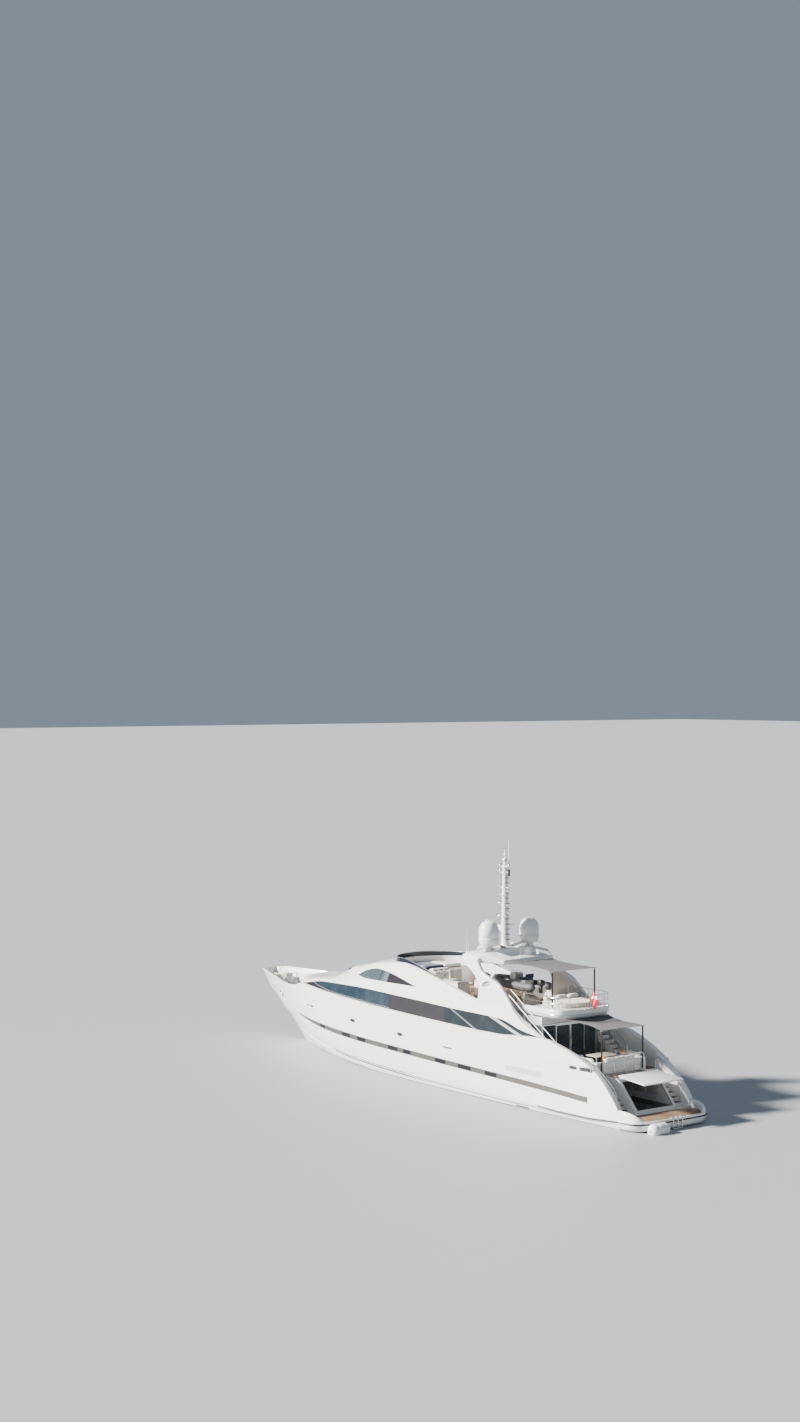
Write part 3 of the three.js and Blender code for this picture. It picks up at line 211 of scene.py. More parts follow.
class Tree:
    """Material under construction."""

    def __init__(self, name: str) -> None:
        """Starts an empty material."""
        self.material = bpy.data.materials.new(name)
        self.material.use_nodes = True
        self.graph = self.material.node_tree
        self.graph.nodes.clear()

    def node(self, kind: str, settings: dict[str, Any] | None = None,
             inputs: dict[Any, Any] | None = None, output: Any = 0) -> Wire:
        """Adds a node.

        Args:
            kind: the node's type.
            settings: its properties, set first; "stops" are a ramp's (position, colour) pairs.
            inputs: values or wires by socket name or index.
            output: name or index of the output to return.

        Returns:
            The chosen output.
        """
        made = self.graph.nodes.new(kind)
        for key, value in (settings or {}).items():
            if key == "stops":
                self._stops(made.color_ramp, value)
            else:
                setattr(made, key, value)
        for key, value in (inputs or {}).items():
            if isinstance(value, Wire):
                self.graph.links.new(value.socket, made.inputs[key])
            else:
                made.inputs[key].default_value = value
        return Wire(self, made.outputs[output])

    @staticmethod
    def _stops(ramp: Any, stops: Sequence[tuple[float, Colour]]) -> None:
        """Sets the stops of a colour ramp."""
        while len(ramp.elements) < len(stops):
            ramp.elements.new(0.5)
        for element, (position, colour) in zip(ramp.elements, stops):
            element.position = position
            element.color = (*colour, 1.0)

    def place(self) -> Wire:
        """Position in the yacht's frame."""
        return self.node("ShaderNodeTexCoord", output="Object")

    def axes(self) -> tuple[Wire, Wire, Wire]:
        """The three coordinates of the position."""
        split = self.node("ShaderNodeSeparateXYZ", inputs={0: self.place()})
        outputs = split.socket.node.outputs
        return tuple(Wire(self, outputs[i]) for i in range(3))

    def stretched(self, scale: Point) -> Wire:
        """Position scaled along each axis."""
        return self.node("ShaderNodeVectorMath", {"operation": "MULTIPLY"}, {0: self.place(), 1: scale})

    def noise(self, scale: float, detail: float = 3.0, vector: Wire | None = None, rough: float = 0.5) -> Wire:
        """Noise value from 0 to 1.

        Args:
            scale: features per metre.
            detail: octaves.
            vector: position, the yacht's frame if None.
            rough: share of the finer octaves.

        Returns:
            The noise.
        """
        inputs = {"Vector": vector or self.place(), "Scale": scale, "Detail": detail, "Roughness": rough}
        return self.node("ShaderNodeTexNoise", None, inputs)

    def mix(self, factor: Any, first: Any, second: Any) -> Wire:
        """Colour mix.

        Args:
            factor: 0 for the first colour, 1 for the second.
            first: colour or wire.
            second: colour or wire.

        Returns:
            The mixed colour.
        """
        colours = [(*c, 1.0) if isinstance(c, tuple) else c for c in (first, second)]
        settings = {"data_type": "RGBA"}
        return self.node("ShaderNodeMix", settings, {0: factor, 6: colours[0], 7: colours[1]}, output=2)

    def bump(self, height: Wire, depth: float, strength: float = 1.0) -> Wire:
        """Normal from a height.

        Args:
            height: height from 0 to 1.
            depth: what a height of 1 is, in metres.
            strength: strength of the effect.

        Returns:
            The normal.
        """
        return self.node("ShaderNodeBump", None, {"Height": height, "Distance": depth, "Strength": strength})

    def finish(self, **inputs: Any) -> Any:
        """Adds the surface and its output.

        Args:
            inputs: sockets of the Principled shader, with _ for spaces.

        Returns:
            The material.
        """
        named = {}
        for key, value in inputs.items():
            socket = key.replace("_", " ")
            named[socket] = (*value, 1.0) if isinstance(value, tuple) and len(value) == 3 else value
        shader = self.node("ShaderNodeBsdfPrincipled", None, named)
        end = self.graph.nodes.new("ShaderNodeOutputMaterial")
        self.graph.links.new(shader.socket, end.inputs["Surface"])
        return self.material


# Finishes


@dataclass(frozen=True)
class Gelcoat:
    """Glossy moulded skin, slightly uneven in tone, with a faint stain towards the water."""

    name: str = "gelcoat"
    colour: Colour = (0.83, 0.83, 0.80)
    shade: Colour = (0.75, 0.755, 0.74)
    roughness: float = 0.24
    stain_top: float = 0.75

    def build(self) -> Any:
        """Makes the material."""
        tree = Tree(self.name)
        _, _, z = tree.axes()
        cloud = tree.noise(0.45, 3.0)
        speckle = tree.noise(9.0, 4.0, rough=0.7)
        tone = tree.mix(cloud.step(0.35, 0.75) * 0.5, self.colour, self.shade)
        runs = tree.noise(1.0, 4.0, tree.stretched((7.0, 7.0, 0.35)))
        film = z.step(self.stain_top, 0.0) * 0.35 + runs.step(0.58, 0.85) * 0.08
        colour = tree.mix(film, tone, (0.66, 0.63, 0.53))
        rough = speckle * 0.10 + self.roughness - 0.05 + film * 0.3
        height = tree.noise(2.2, 2.0) * 0.7 + tree.noise(60.0, 2.0) * 0.3
        return tree.finish(Base_Color=colour, Roughness=rough, Coat_Weight=0.5, Coat_Roughness=0.08,
                           Normal=tree.bump(height, 0.004, 0.35))


@dataclass(frozen=True)
class HullPaint:
    """Hull gelcoat above the waterline, antifouling below it."""

    name: str = "hull_paint"
    colour: Colour = (0.84, 0.84, 0.815)
    antifouling: Colour = (0.030, 0.045, 0.075)
    line: float = 0.03

    def build(self) -> Any:
        """Makes the material."""
        tree = Tree(self.name)
        _, _, z = tree.axes()
        cloud = tree.noise(0.35, 3.0)
        tone = tree.mix(cloud.step(0.3, 0.8) * 0.45, self.colour, (0.77, 0.775, 0.76))
        runs = tree.noise(1.0, 4.0, tree.stretched((6.0, 6.0, 0.25)))
        film = z.step(0.55, 0.03) * 0.30 + runs.step(0.60, 0.88) * 0.07
        side = tree.mix(film, tone, (0.62, 0.58, 0.46))
        scum = tree.noise(5.0, 5.0)
        bottom = tree.mix(scum.step(0.4, 0.8) * 0.5, self.antifouling, (0.06, 0.075, 0.07))
        under = z.step(self.line + 0.004, self.line - 0.004)
        colour = tree.mix(under, side, bottom)
        rough = tree.noise(8.0, 3.0) * 0.10 + 0.17 + under * 0.45
        height = tree.noise(1.2, 2.0) * 0.8 + tree.noise(50.0, 2.0) * 0.2
        return tree.finish(Base_Color=colour, Roughness=rough, Coat_Weight=0.5 - under * 0.5,
                           Coat_Roughness=0.06, Normal=tree.bump(height, 0.006, 0.35))


@dataclass(frozen=True)
class Plain:
    """Painted, moulded or metal surface with fine variation in tone, gloss and height."""

    name: str
    colour: Colour
    roughness: float = 0.4
    metallic: float = 0.0
    coat: float = 0.0
    grain: float = 30.0
    depth: float = 0.001
    wear: Colour | None = None

    def build(self) -> Any:
        """Makes the material."""
        tree = Tree(self.name)
        broad = tree.noise(self.grain * 0.06, 3.0)
        fine = tree.noise(self.grain, 4.0, rough=0.65)
        darker = tuple(c * 0.82 for c in self.colour)
        colour = tree.mix(broad.step(0.3, 0.75) * 0.6, self.colour, darker)
        if self.wear:
            colour = tree.mix(fine.step(0.62, 0.78) * 0.6, colour, self.wear)
        rough = fine * 0.18 + max(0.02, self.roughness - 0.09)
        return tree.finish(Base_Color=colour, Roughness=rough, Metallic=self.metallic, Coat_Weight=self.coat,
                           Normal=tree.bump(fine, self.depth, 0.4))


@dataclass(frozen=True)
class Glass:
    """Tinted glazing: dark film with faint smears, seen through as far as alpha lets it."""

    name: str = "tinted_glass"
    colour: Colour = (0.012, 0.018, 0.023)
    alpha: float = 0.90
    roughness: float = 0.05
    shine: float = 0.25

    def build(self) -> Any:
        """Makes the material."""
        tree = Tree(self.name)
        smear = tree.noise(1.3, 3.0)
        lighter = tuple(c * 1.9 + 0.004 for c in self.colour)
        colour = tree.mix(smear.step(0.4, 0.8) * 0.6, self.colour, lighter)
        rough = smear * 0.05 + self.roughness - 0.02
        return tree.finish(Base_Color=colour, Roughness=rough, Alpha=self.alpha, IOR=1.45,
                           Specular_IOR_Level=self.shine, Normal=tree.bump(tree.noise(0.8, 1.0), 0.004, 0.3))


class Grain(Enum):
    """Axis along which planks run, as the index of the axis across them."""

    FORE_AND_AFT = 1
    ATHWART = 0


@dataclass(frozen=True)
class Teak:
    """Teak planking with black caulking, weathered in patches."""

    name: str = "teak_deck"
    grain: Grain = Grain.FORE_AND_AFT
    plank: float = 0.075
    seam: float = 0.006
    colour: Colour = (0.285, 0.165, 0.10)
    grey: Colour = (0.34, 0.25, 0.185)

    def build(self) -> Any:
        """Makes the material."""
        tree = Tree(self.name)
        axes = tree.axes()
        across, along = axes[self.grain.value], axes[1 - self.grain.value]
        count = (across / self.plank).floor()
        seat = abs((across / self.plank - count) - 0.5)
        offset = self.tone(tree, count)
        length = along / 2.4 + offset * 7.0
        butt = abs((length - length.floor()) - 0.5).step(0.4978, 0.499)
        seam = seat.step(0.5 - self.seam / self.plank, 0.5 - 0.4 * self.seam / self.plank)
        seam = seam + butt - seam * butt
        scale = (70.0, 3.0, 70.0) if self.grain is Grain.ATHWART else (3.0, 70.0, 70.0)
        fibre = tree.noise(1.0, 4.0, tree.stretched(scale))
        weather = tree.noise(0.9, 4.0)
        wood = tree.mix(weather.step(0.35, 0.7) * 0.7, self.colour, self.grey)
        wood = tree.mix(offset * 0.35 + fibre * 0.25, wood, (0.20, 0.11, 0.06))
        colour = tree.mix(seam, wood, (0.018, 0.018, 0.018))
        height = (1.0 - seam) * 0.8 + fibre * 0.2
        return tree.finish(Base_Color=colour, Roughness=0.68 - fibre * 0.1 - seam * 0.15,
                           Normal=tree.bump(height, 0.002, 0.7))

    @staticmethod
    def tone(tree: Tree, count: Wire) -> Wire:
        """Chance value of each plank."""
        return tree.node("ShaderNodeTexWhiteNoise", {"noise_dimensions": "1D"}, {"W": count})


@dataclass(frozen=True)
class Cloth:
    """Woven fabric, with its threads in the bump and a soft mottle in the colour."""

    name: str
    colour: Colour
    thread: float = 0.006
    roughness: float = 0.86
    sheen: float = 0.3
    stripes: tuple[Colour, float, float] | None = None

    def build(self) -> Any:
        """Makes the material."""
        tree = Tree(self.name)
        x, y, z = tree.axes()
        turns = 2.0 * math.pi / self.thread
        warp = (x * turns + z * turns * 0.7).sine()
        weft = (y * turns + z * turns * 0.7).sine()
        weave = (warp * weft) * 0.5 + 0.5
        mottle = tree.noise(2.5, 4.0)
        fade = tuple(c * 0.84 for c in self.colour)
        colour = tree.mix(mottle.step(0.3, 0.75) * 0.6, self.colour, fade)
        colour = tree.mix((1.0 - weave) * 0.12, colour, tuple(c * 0.6 for c in self.colour))
        if self.stripes:
            other, low, high = self.stripes
            colour = tree.mix(z.step(low - 0.004, low + 0.004) * z.step(high + 0.004, high - 0.004), colour, other)
        height = weave * 0.4 + tree.noise(14.0, 3.0) * 0.6
        return tree.finish(Base_Color=colour, Roughness=mottle * 0.08 + self.roughness - 0.04,
                           Sheen_Weight=self.sheen, Sheen_Roughness=0.5, Normal=tree.bump(height, 0.004, 0.5))


class Paints:
    """All finishes, each made when it is first asked for."""

    CHOICE: dict[str, Any] = {
        "gelcoat": Gelcoat(),
        "inner_gelcoat": Gelcoat("inner_gelcoat", (0.78, 0.775, 0.75), (0.70, 0.70, 0.68), 0.42, NO_STAIN),
        "grey_gelcoat": Gelcoat("grey_gelcoat", (0.47, 0.475, 0.47), (0.40, 0.405, 0.40), 0.4, NO_STAIN),
        "hull": HullPaint(),
        "band": Plain("band_taupe", (0.070, 0.064, 0.056), 0.30, coat=0.2, depth=0.0006),
        "border": Plain("band_border", (0.018, 0.016, 0.019), 0.20, coat=0.0),
        "pillar": Plain("pillar_grey", (0.20, 0.225, 0.25), 0.3, 0.2, 0.2),
        "black": Plain("black_rubber", (0.018, 0.018, 0.019), 0.5, depth=0.0006),
        # Black of seals and rims, also used as painted shade in the side openings and anchor pockets.
        "gasket": Plain("gasket", (0.012, 0.012, 0.013), 0.35, depth=0.0004),
        "silver": Plain("silver_paint", (0.50, 0.51, 0.51), 0.30, 0.35, 0.4),
        "pale_grey": Plain("pale_grey_paint", (0.56, 0.565, 0.56), 0.35, coat=0.3),
        "glass": Glass(),
        "clear_glass": Glass("clear_glass", (0.075, 0.105, 0.12), 0.50),
        "band_glass": Glass("band_glass", (0.020, 0.033, 0.046), 0.74),
        "port_glass": Glass("port_glass", (0.007, 0.008, 0.010), 1.0),
        "screen_glass": Glass("screen_glass", (0.012, 0.016, 0.026), 0.86),
        "teak": Teak(),
        "teak_steps": Teak("teak_steps", Grain.ATHWART, 0.06, 0.005, (0.20, 0.10, 0.06), (0.23, 0.155, 0.11)),
        "gunmetal": Plain("gunmetal", (0.13, 0.12, 0.12), 0.4, 0.6, grain=60.0, depth=0.0003),
        "cream_lacquer": Plain("cream_lacquer", (0.62, 0.55, 0.44), 0.22, coat=0.7),
        "teak_rail": Plain("varnished_teak", (0.30, 0.14, 0.06), 0.25, coat=0.7, grain=12.0),
        "steel": Plain("polished_steel", (0.72, 0.73, 0.74), 0.18, 1.0, grain=60.0, depth=0.0002),
        "brushed": Plain("brushed_steel", (0.60, 0.61, 0.62), 0.34, 1.0, grain=90.0, depth=0.0004),
        "carbon": Plain("carbon_lacquer", (0.009, 0.009, 0.010), 0.36, coat=0.12, grain=200.0, depth=0.0003),
        "dome": Plain("dome_white", (0.80, 0.81, 0.81), 0.33, coat=0.2, grain=14.0),
        "alloy": Plain("painted_alloy", (0.80, 0.80, 0.79), 0.36, coat=0.2, grain=25.0),
        "lamp": Plain("lamp_glass", (0.75, 0.78, 0.80), 0.08, coat=1.0),
        "cream": Cloth("cream_cloth", (0.72, 0.68, 0.58)),
        "white_cloth": Cloth("white_cloth", (0.80, 0.80, 0.77)),
        "piping": Cloth("piping", (0.45, 0.40, 0.32), 0.004),
        "navy": Cloth("navy_cloth", (0.020, 0.032, 0.085)),
        "orange": Cloth("orange_cloth", (0.62, 0.22, 0.035)),
        "awning": Cloth("awning_cloth", (0.066, 0.062, 0.068), 0.008, 0.9, 0.1),
        "webbing": Cloth("webbing", (0.10, 0.10, 0.105), 0.004),
        "ensign": Cloth("ensign_cloth", (0.62, 0.035, 0.045), 0.004, stripes=((0.80, 0.79, 0.76), 5.84, 5.99)),
        "rubber": Plain("tender_tube", (0.085, 0.088, 0.092), 0.62, grain=40.0, depth=0.002),
        "vinyl": Plain("fender_vinyl", (0.76, 0.775, 0.765), 0.42, grain=10.0, wear=(0.55, 0.55, 0.50)),
        "carpet": Cloth("carpet", (0.46, 0.40, 0.32), 0.012),
        "joinery": Plain("joinery", (0.26, 0.15, 0.085), 0.30, coat=0.6, grain=10.0),
        "iron": Plain("engine_paint", (0.30, 0.32, 0.33), 0.5, 0.2, grain=20.0, wear=(0.16, 0.16, 0.15)),
        "bronze": Plain("bronze", (0.42, 0.27, 0.11), 0.36, 1.0, grain=18.0, wear=(0.20, 0.26, 0.19)),
        # Dark paint of the wheelhouse console, also used as painted shade in the garage door's underside panels.
        "dark": Plain("dark_paint_and_painted_shade", (0.030, 0.030, 0.032), 0.7, grain=8.0),
    }
    _made: dict[str, Any] = {}

    @classmethod
    def get(cls, name: str) -> Any:
        """Material of a finish."""
        if name not in cls._made:
            cls._made[name] = cls.CHOICE[name].build()
        return cls._made[name]


# Curves and shapes


class Curve:
    """Smooth values through the rows of a table, without overshoot. The first column is the place."""

    def __init__(self, rows: Iterable[Sequence[float]]) -> None:
        """Works out the slopes at the rows."""
        data = np.array(sorted(rows), float)
        self.x, self.y = data[:, 0], data[:, 1:]
        step = np.diff(self.x)[:, None]
        rise = np.diff(self.y, axis=0) / step
        self.slope = np.zeros_like(self.y)
        if len(step) > 1:
            w1, w2 = 2 * step[1:] + step[:-1], step[1:] + 2 * step[:-1]
            same = rise[1:] * rise[:-1] > 0
            before, after = np.where(same, rise[:-1], 1.0), np.where(same, rise[1:], 1.0)
            self.slope[1:-1] = np.where(same, (w1 + w2) / (w1 / before + w2 / after), 0.0)
        self.slope[0], self.slope[-1] = rise[0], rise[-1]

    def at(self, place: float) -> np.ndarray:
        """Values at a place, held level past the ends."""
        place = float(min(max(place, self.x[0]), self.x[-1]))
        i = int(min(np.searchsorted(self.x, place, "right") - 1, len(self.x) - 2))
        h = self.x[i + 1] - self.x[i]
        t = (place - self.x[i]) / h
        a, b = 1 - t * t * (3 - 2 * t), t * t * (3 - 2 * t)
        c, d = t * (1 - t) ** 2 * h, -t * t * (1 - t) * h
        return a * self.y[i] + b * self.y[i + 1] + c * self.slope[i] + d * self.slope[i + 1]

    def value(self, place: float) -> float:
        """First value at a place."""
        return float(self.at(place)[0])


def smooth(points: Sequence[Sequence[float]], per: int, corners: Sequence[int] = ()) -> list[tuple[float, ...]]:
    """Rounds a line through points.

    Args:
        points: the points, flat or in space.
        per: pieces between two points.
        corners: indices of the points at which the line keeps its corner.

    Returns:
        The finer line, with the points on it.
    """
    stops = [0, *sorted(corners), len(points) - 1]
    line = [tuple(points[0])]
    for first, last in zip(stops, stops[1:]):
        run = [np.array(p, float) for p in points[first:last + 1]]
        for i in range(len(run) - 1):
            p1, p2 = run[i], run[i + 1]
            p0 = run[i - 1] if i else 2 * p1 - p2
            p3 = run[i + 2] if i + 2 < len(run) else 2 * p2 - p1
            chord = [max(float(np.linalg.norm(q - p)) ** 0.5, 1e-6) for p, q in ((p0, p1), (p1, p2), (p2, p3))]
            m1 = (p2 - p1) - chord[1] * ((p2 - p0) / (chord[0] + chord[1]) - (p1 - p0) / chord[0])
            m2 = (p2 - p1) + chord[1] * ((p3 - p2) / chord[2] - (p3 - p1) / (chord[1] + chord[2]))
            for k in range(1, per + 1):
                t = k / per
                h = (2 * t**3 - 3 * t**2 + 1, t**3 - 2 * t**2 + t, 3 * t**2 - 2 * t**3, t**3 - t**2)
                line.append(tuple(h[0] * p1 + h[1] * m1 + h[2] * p2 + h[3] * m2))
    return line


def spread(low: float, high: float, step: float) -> list[float]:
    """Even places from low to high, at most a step apart."""
    return list(np.linspace(low, high, max(2, math.ceil((high - low) / step) + 1)))


def angles(count: int) -> np.ndarray:
    """Even angles round a circle."""
    return np.linspace(0, 2 * math.pi, count, endpoint=False)


def both(half: Sequence[Flat]) -> list[Flat]:
    """Closed plan outline from its port half, given from the centreline round to the centreline."""
    return [*half, *[(x, -y) for x, y in reversed(half) if y > 1e-6]]


def station(x: float, half: Sequence[Flat], shared: slice = slice(None)) -> list[Point]:
    """Closed section at a station.

    Args:
        x: the station.
        half: y and z along the port half.
        shared: the part of the half that is repeated to starboard.

    Returns:
        The section's points.
    """
    return [*[(x, y, z) for y, z in half], *[(x, -y, z) for y, z in reversed(half[shared])]]


def area_of(grid: Grid) -> float:
    """Area of a surface given by rows of points."""
    area = 0.0
    for row, other in zip(grid, grid[1:]):
        for i in range(len(row) - 1):
            a, b, c, d = (Vector(p) for p in (row[i], other[i], other[i + 1], row[i + 1]))
            area += ((b - a).cross(c - a)).length / 2 + ((c - a).cross(d - a)).length / 2
    return area


@dataclass
class Shape:
    """Vertices and faces being gathered for one mesh."""

    points: list[Point] = field(default_factory=list)
    faces: list[tuple[int, ...]] = field(default_factory=list)

    def add(self, points: Iterable[Sequence[float]], faces: Iterable[Sequence[int]]) -> "Shape":
        """Adds points and the faces between them."""
        first = len(self.points)
        self.points += [tuple(map(float, p)) for p in points]
        self.faces += [tuple(first + i for i in face) for face in faces]
        return self

    def join(self, *others: "Shape") -> "Shape":
        """Adds other shapes."""
        for other in others:
            self.add(other.points, other.faces)
        return self

    def loft(self, rings: Grid, caps: bool = True) -> "Shape":
        """Adds a skin over closed rings of equal length.

        Args:
            rings: the rings in order.
            caps: whether the ends are filled.

        Returns:
            The shape.
        """
        count = len(rings[0])
        faces: list[tuple[int, ...]] = []
        for r in range(len(rings) - 1):
            for i in range(count):
                j = (i + 1) % count
                faces.append((r * count + i, r * count + j, (r + 1) * count + j, (r + 1) * count + i))
        if caps:
            faces.append(tuple(reversed(range(count))))
            faces.append(tuple(range((len(rings) - 1) * count, len(rings) * count)))
        return self.add([p for ring in rings for p in ring], faces)

    def plate(self, grid: Grid, other: Grid) -> "Shape":
        """Adds a closed plate between two grids of points of the same size."""
        return self.loft([[*front, *reversed(back)] for front, back in zip(grid, other)])

    def prism(self, axis: int, outline: Sequence[Flat], low: float, high: float) -> "Shape":
        """Adds a prism.

        Args:
            axis: index of the axis that it runs along.
            outline: its outline across that axis.
            low: where it starts.
            high: where it ends.

        Returns:
            The shape.
        """
        return self.loft([[(*p[:axis], value, *p[axis:]) for p in outline] for value in (low, high)])

    def block(self, low: Point, high: Point) -> "Shape":
        """Adds a box between two corners, in any order."""
        a, b = [min(p) for p in zip(low, high)], [max(p) for p in zip(low, high)]
        outline = [(a[0], a[1]), (b[0], a[1]), (b[0], b[1]), (a[0], b[1])]
        return self.prism(2, outline, a[2], b[2])

    def tube(self, path: Sequence[Sequence[float]], radius: float, sides: int = 8, end: float | None = None,
             loop: bool = False) -> "Shape":
        """Adds a round bar along a path.

        Args:
            path: points of its centreline.
            radius: radius at the start.
            sides: number of sides.
            end: radius at the end, the same if None.
            loop: whether the path closes on itself.

        Returns:
            The shape.
        """
        line = [Vector(p) for p in path]
        count = len(line)
        last = radius if end is None else end
        turns = [2 * math.pi * k / sides for k in range(sides)]
        side: Vector | None = None
        rings = []
        for i, here in enumerate(line):
            before = line[i - 1] if i or loop else here
            after = line[(i + 1) % count] if i + 1 < count or loop else here
            along = (after - before).normalized()
            if side is None:
                side = along.orthogonal().normalized()
            side = (side - along * side.dot(along)).normalized()
            up = along.cross(side)
            r = radius + (last - radius) * i / max(1, count - 1)
            rings.append([here + side * r * math.cos(a) + up * r * math.sin(a) for a in turns])
        return self.loft([*rings, rings[0]] if loop else rings, caps=not loop)

    def lathe(self, profile: Sequence[Flat], centre: Point, axis: Point = (0, 0, 1), sides: int = 32) -> "Shape":
        """Adds a turned body.

        Args:
            profile: radius and distance along the axis, from the first end to the last.
            centre: where the axis starts.
            axis: its direction.
            sides: number of sides.

        Returns:
            The shape.
        """
        turn = Vector((0, 0, 1)).rotation_difference(Vector(axis))
        turns = [2 * math.pi * k / sides for k in range(sides)]
        rings = []
        for r, z in profile:
            spots = [Vector((max(r, 1e-4) * math.cos(a), max(r, 1e-4) * math.sin(a), z)) for a in turns]
            rings.append([Vector(centre) + turn @ p for p in spots])
        return self.loft(rings)

    def ball(self, centre: Point, radius: float, sides: int = 16) -> "Shape":
        """Adds a ball."""
        turns = [math.pi * k / (sides // 2) for k in range(sides // 2 + 1)]
        profile = [(radius * math.sin(a), -radius * math.cos(a)) for a in turns]
        return self.lathe(profile, centre, sides=sides)

    def parts(self) -> list["Shape"]:
        """Its separate bodies, in the order that they were added."""
        owner = list(range(len(self.points)))

        def root(i: int) -> int:
            """First point of the body that a point belongs to."""
            while owner[i] != i:
                owner[i] = owner[owner[i]]
                i = owner[i]
            return i

        for face in self.faces:
            first = root(face[0])
            for i in face[1:]:
                owner[root(i)] = first
        groups: dict[int, list[int]] = {}
        for i in range(len(self.points)):
            groups.setdefault(root(i), []).append(i)
        found = []
        for members in sorted(groups.values(), key=min):
            place = {old: new for new, old in enumerate(members)}
            faces = [tuple(place[i] for i in face) for face in self.faces if face[0] in place]
            found.append(Shape([self.points[i] for i in members], faces))
        return found

    def mapped(self, move: Callable[[Point], Sequence[float]]) -> "Shape":
        """Copy with every point moved by a function."""
        return Shape([tuple(map(float, move(p))) for p in self.points], list(self.faces))

    def across(self) -> "Shape":
        """Mirror image across the centreline."""
        flipped = [tuple(reversed(face)) for face in self.faces]
        return Shape([(x, -y, z) for x, y, z in self.points], flipped)

    def twice(self) -> "Shape":
        """The shape with its mirror image."""
        return Shape().join(self, self.across())

    def on(self, side: float) -> "Shape":
        """The shape to port, or its mirror image to starboard where the side is negative."""
        return self if side > 0 else self.across()

    def mesh(self, name: str) -> Any:
        """Blender mesh with its faces turned outward."""
        data = bpy.data.meshes.new(name)
        data.from_pydata(self.points, [], self.faces)
        data.update()
        turn_outward(data)
        return data


def turn_outward(data: Any) -> None:
    """Turns the faces of a closed mesh outward and merges points that coincide."""
    work = bmesh.new()
    work.from_mesh(data)
    bmesh.ops.remove_doubles(work, verts=work.verts, dist=MERGE)
    bmesh.ops.dissolve_degenerate(work, edges=work.edges, dist=1e-6)
    bmesh.ops.recalc_face_normals(work, faces=work.faces)
    work.to_mesh(data)
    work.free()


@dataclass
class Works:
    """Makes pieces from shapes and keeps count of them."""

    count: int = 0

    def piece(self, name: str, shape: Shape | Any, finish: str, slot: Slot, body: str = ROOT,
              replaces: Sequence[str] = (), bevel: float = 0.0, angle: float = 32.0, rounds: int = 0) -> Any:
        """Makes a piece that rides on a body.

        Args:
            name: the piece's name.
            shape: its shape, or a mesh that is ready.
            finish: name of its finish.
            slot: material slot of the record, not used.
            body: the body that it rides on.
            replaces: nodes that it stands for.
            bevel: width of the rounding of its edges, none if 0.
            angle: edges sharper than this stay sharp, in degrees.
            rounds: levels of subdivision.

        Returns:
            The object.
        """
        data = shape.mesh(name) if isinstance(shape, Shape) else shape
        data.name = name
        data.materials.clear()
        data.materials.append(Paints.get(finish))
        data.shade_smooth()
        data.set_sharp_from_angle(angle=math.radians(angle))
        made = bpy.data.objects.new(name, data)
        bpy.context.scene.collection.objects.link(made)
        if bevel:
            edge = made.modifiers.new("edges", "BEVEL")
            edge.width, edge.segments, edge.limit_method = bevel, 2, "ANGLE"
            edge.angle_limit = math.radians(40)
            edge.harden_normals = True
        if rounds:
            fine = made.modifiers.new("rounding", "SUBSURF")
            fine.levels = fine.render_levels = rounds
        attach(made, body)
        if replaces:
            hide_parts(*replaces)
        self.count += 1
        log.info("%-28s %7d faces", name, len(data.polygons))
        return made

    def carve(self, start: Shape | Any, cut: Sequence[Shape], add: Sequence[Shape] = ()) -> Any:
        """Joins closed shapes to a shape, then cuts others out of it.

        Args:
            start: shape or mesh to work on.
            cut: shapes to cut away.
            add: shapes to join on first.

        Returns:
            The finished mesh.
        """
        data = start.mesh("work") if isinstance(start, Shape) else start
        body = bpy.data.objects.new("work", data)
        bpy.context.scene.collection.objects.link(body)
        tools = []
        for operation, shape in [*[("UNION", s) for s in add], *[("DIFFERENCE", s) for s in cut]]:
            tool = bpy.data.objects.new("tool", shape.mesh("tool"))
            bpy.context.scene.collection.objects.link(tool)
            change = body.modifiers.new("cut", "BOOLEAN")
            change.operation, change.solver, change.object = operation, "MANIFOLD", tool
            tools.append(tool)
        return self.settled(body, tools)

    def melted(self, shape: Shape, voxel: float, passes: int) -> Any:
        """Fuses overlapping shapes into one skin with soft edges.

        Args:
            shape: the overlapping shapes.
            voxel: size of the grid.
            passes: smoothing passes.

        Returns:
            The finished mesh.
        """
        body = bpy.data.objects.new("work", shape.mesh("work"))
        bpy.context.scene.collection.objects.link(body)
        grid = body.modifiers.new("grid", "REMESH")
        grid.mode, grid.voxel_size = "VOXEL", voxel
        soft = body.modifiers.new("soft", "SMOOTH")
        soft.factor, soft.iterations = 0.5, passes
        return self.settled(body, [])

    @staticmethod
    def settled(body: Any, tools: Sequence[Any]) -> Any:
        """Mesh of an object with its modifiers applied, the object and its tools removed."""
        graph = bpy.context.evaluated_depsgraph_get()
        result = bpy.data.meshes.new_from_object(body.evaluated_get(graph))
        for used in (body, *tools):
            old = used.data
            bpy.data.objects.remove(used)
            bpy.data.meshes.remove(old)
        return result


# Hull


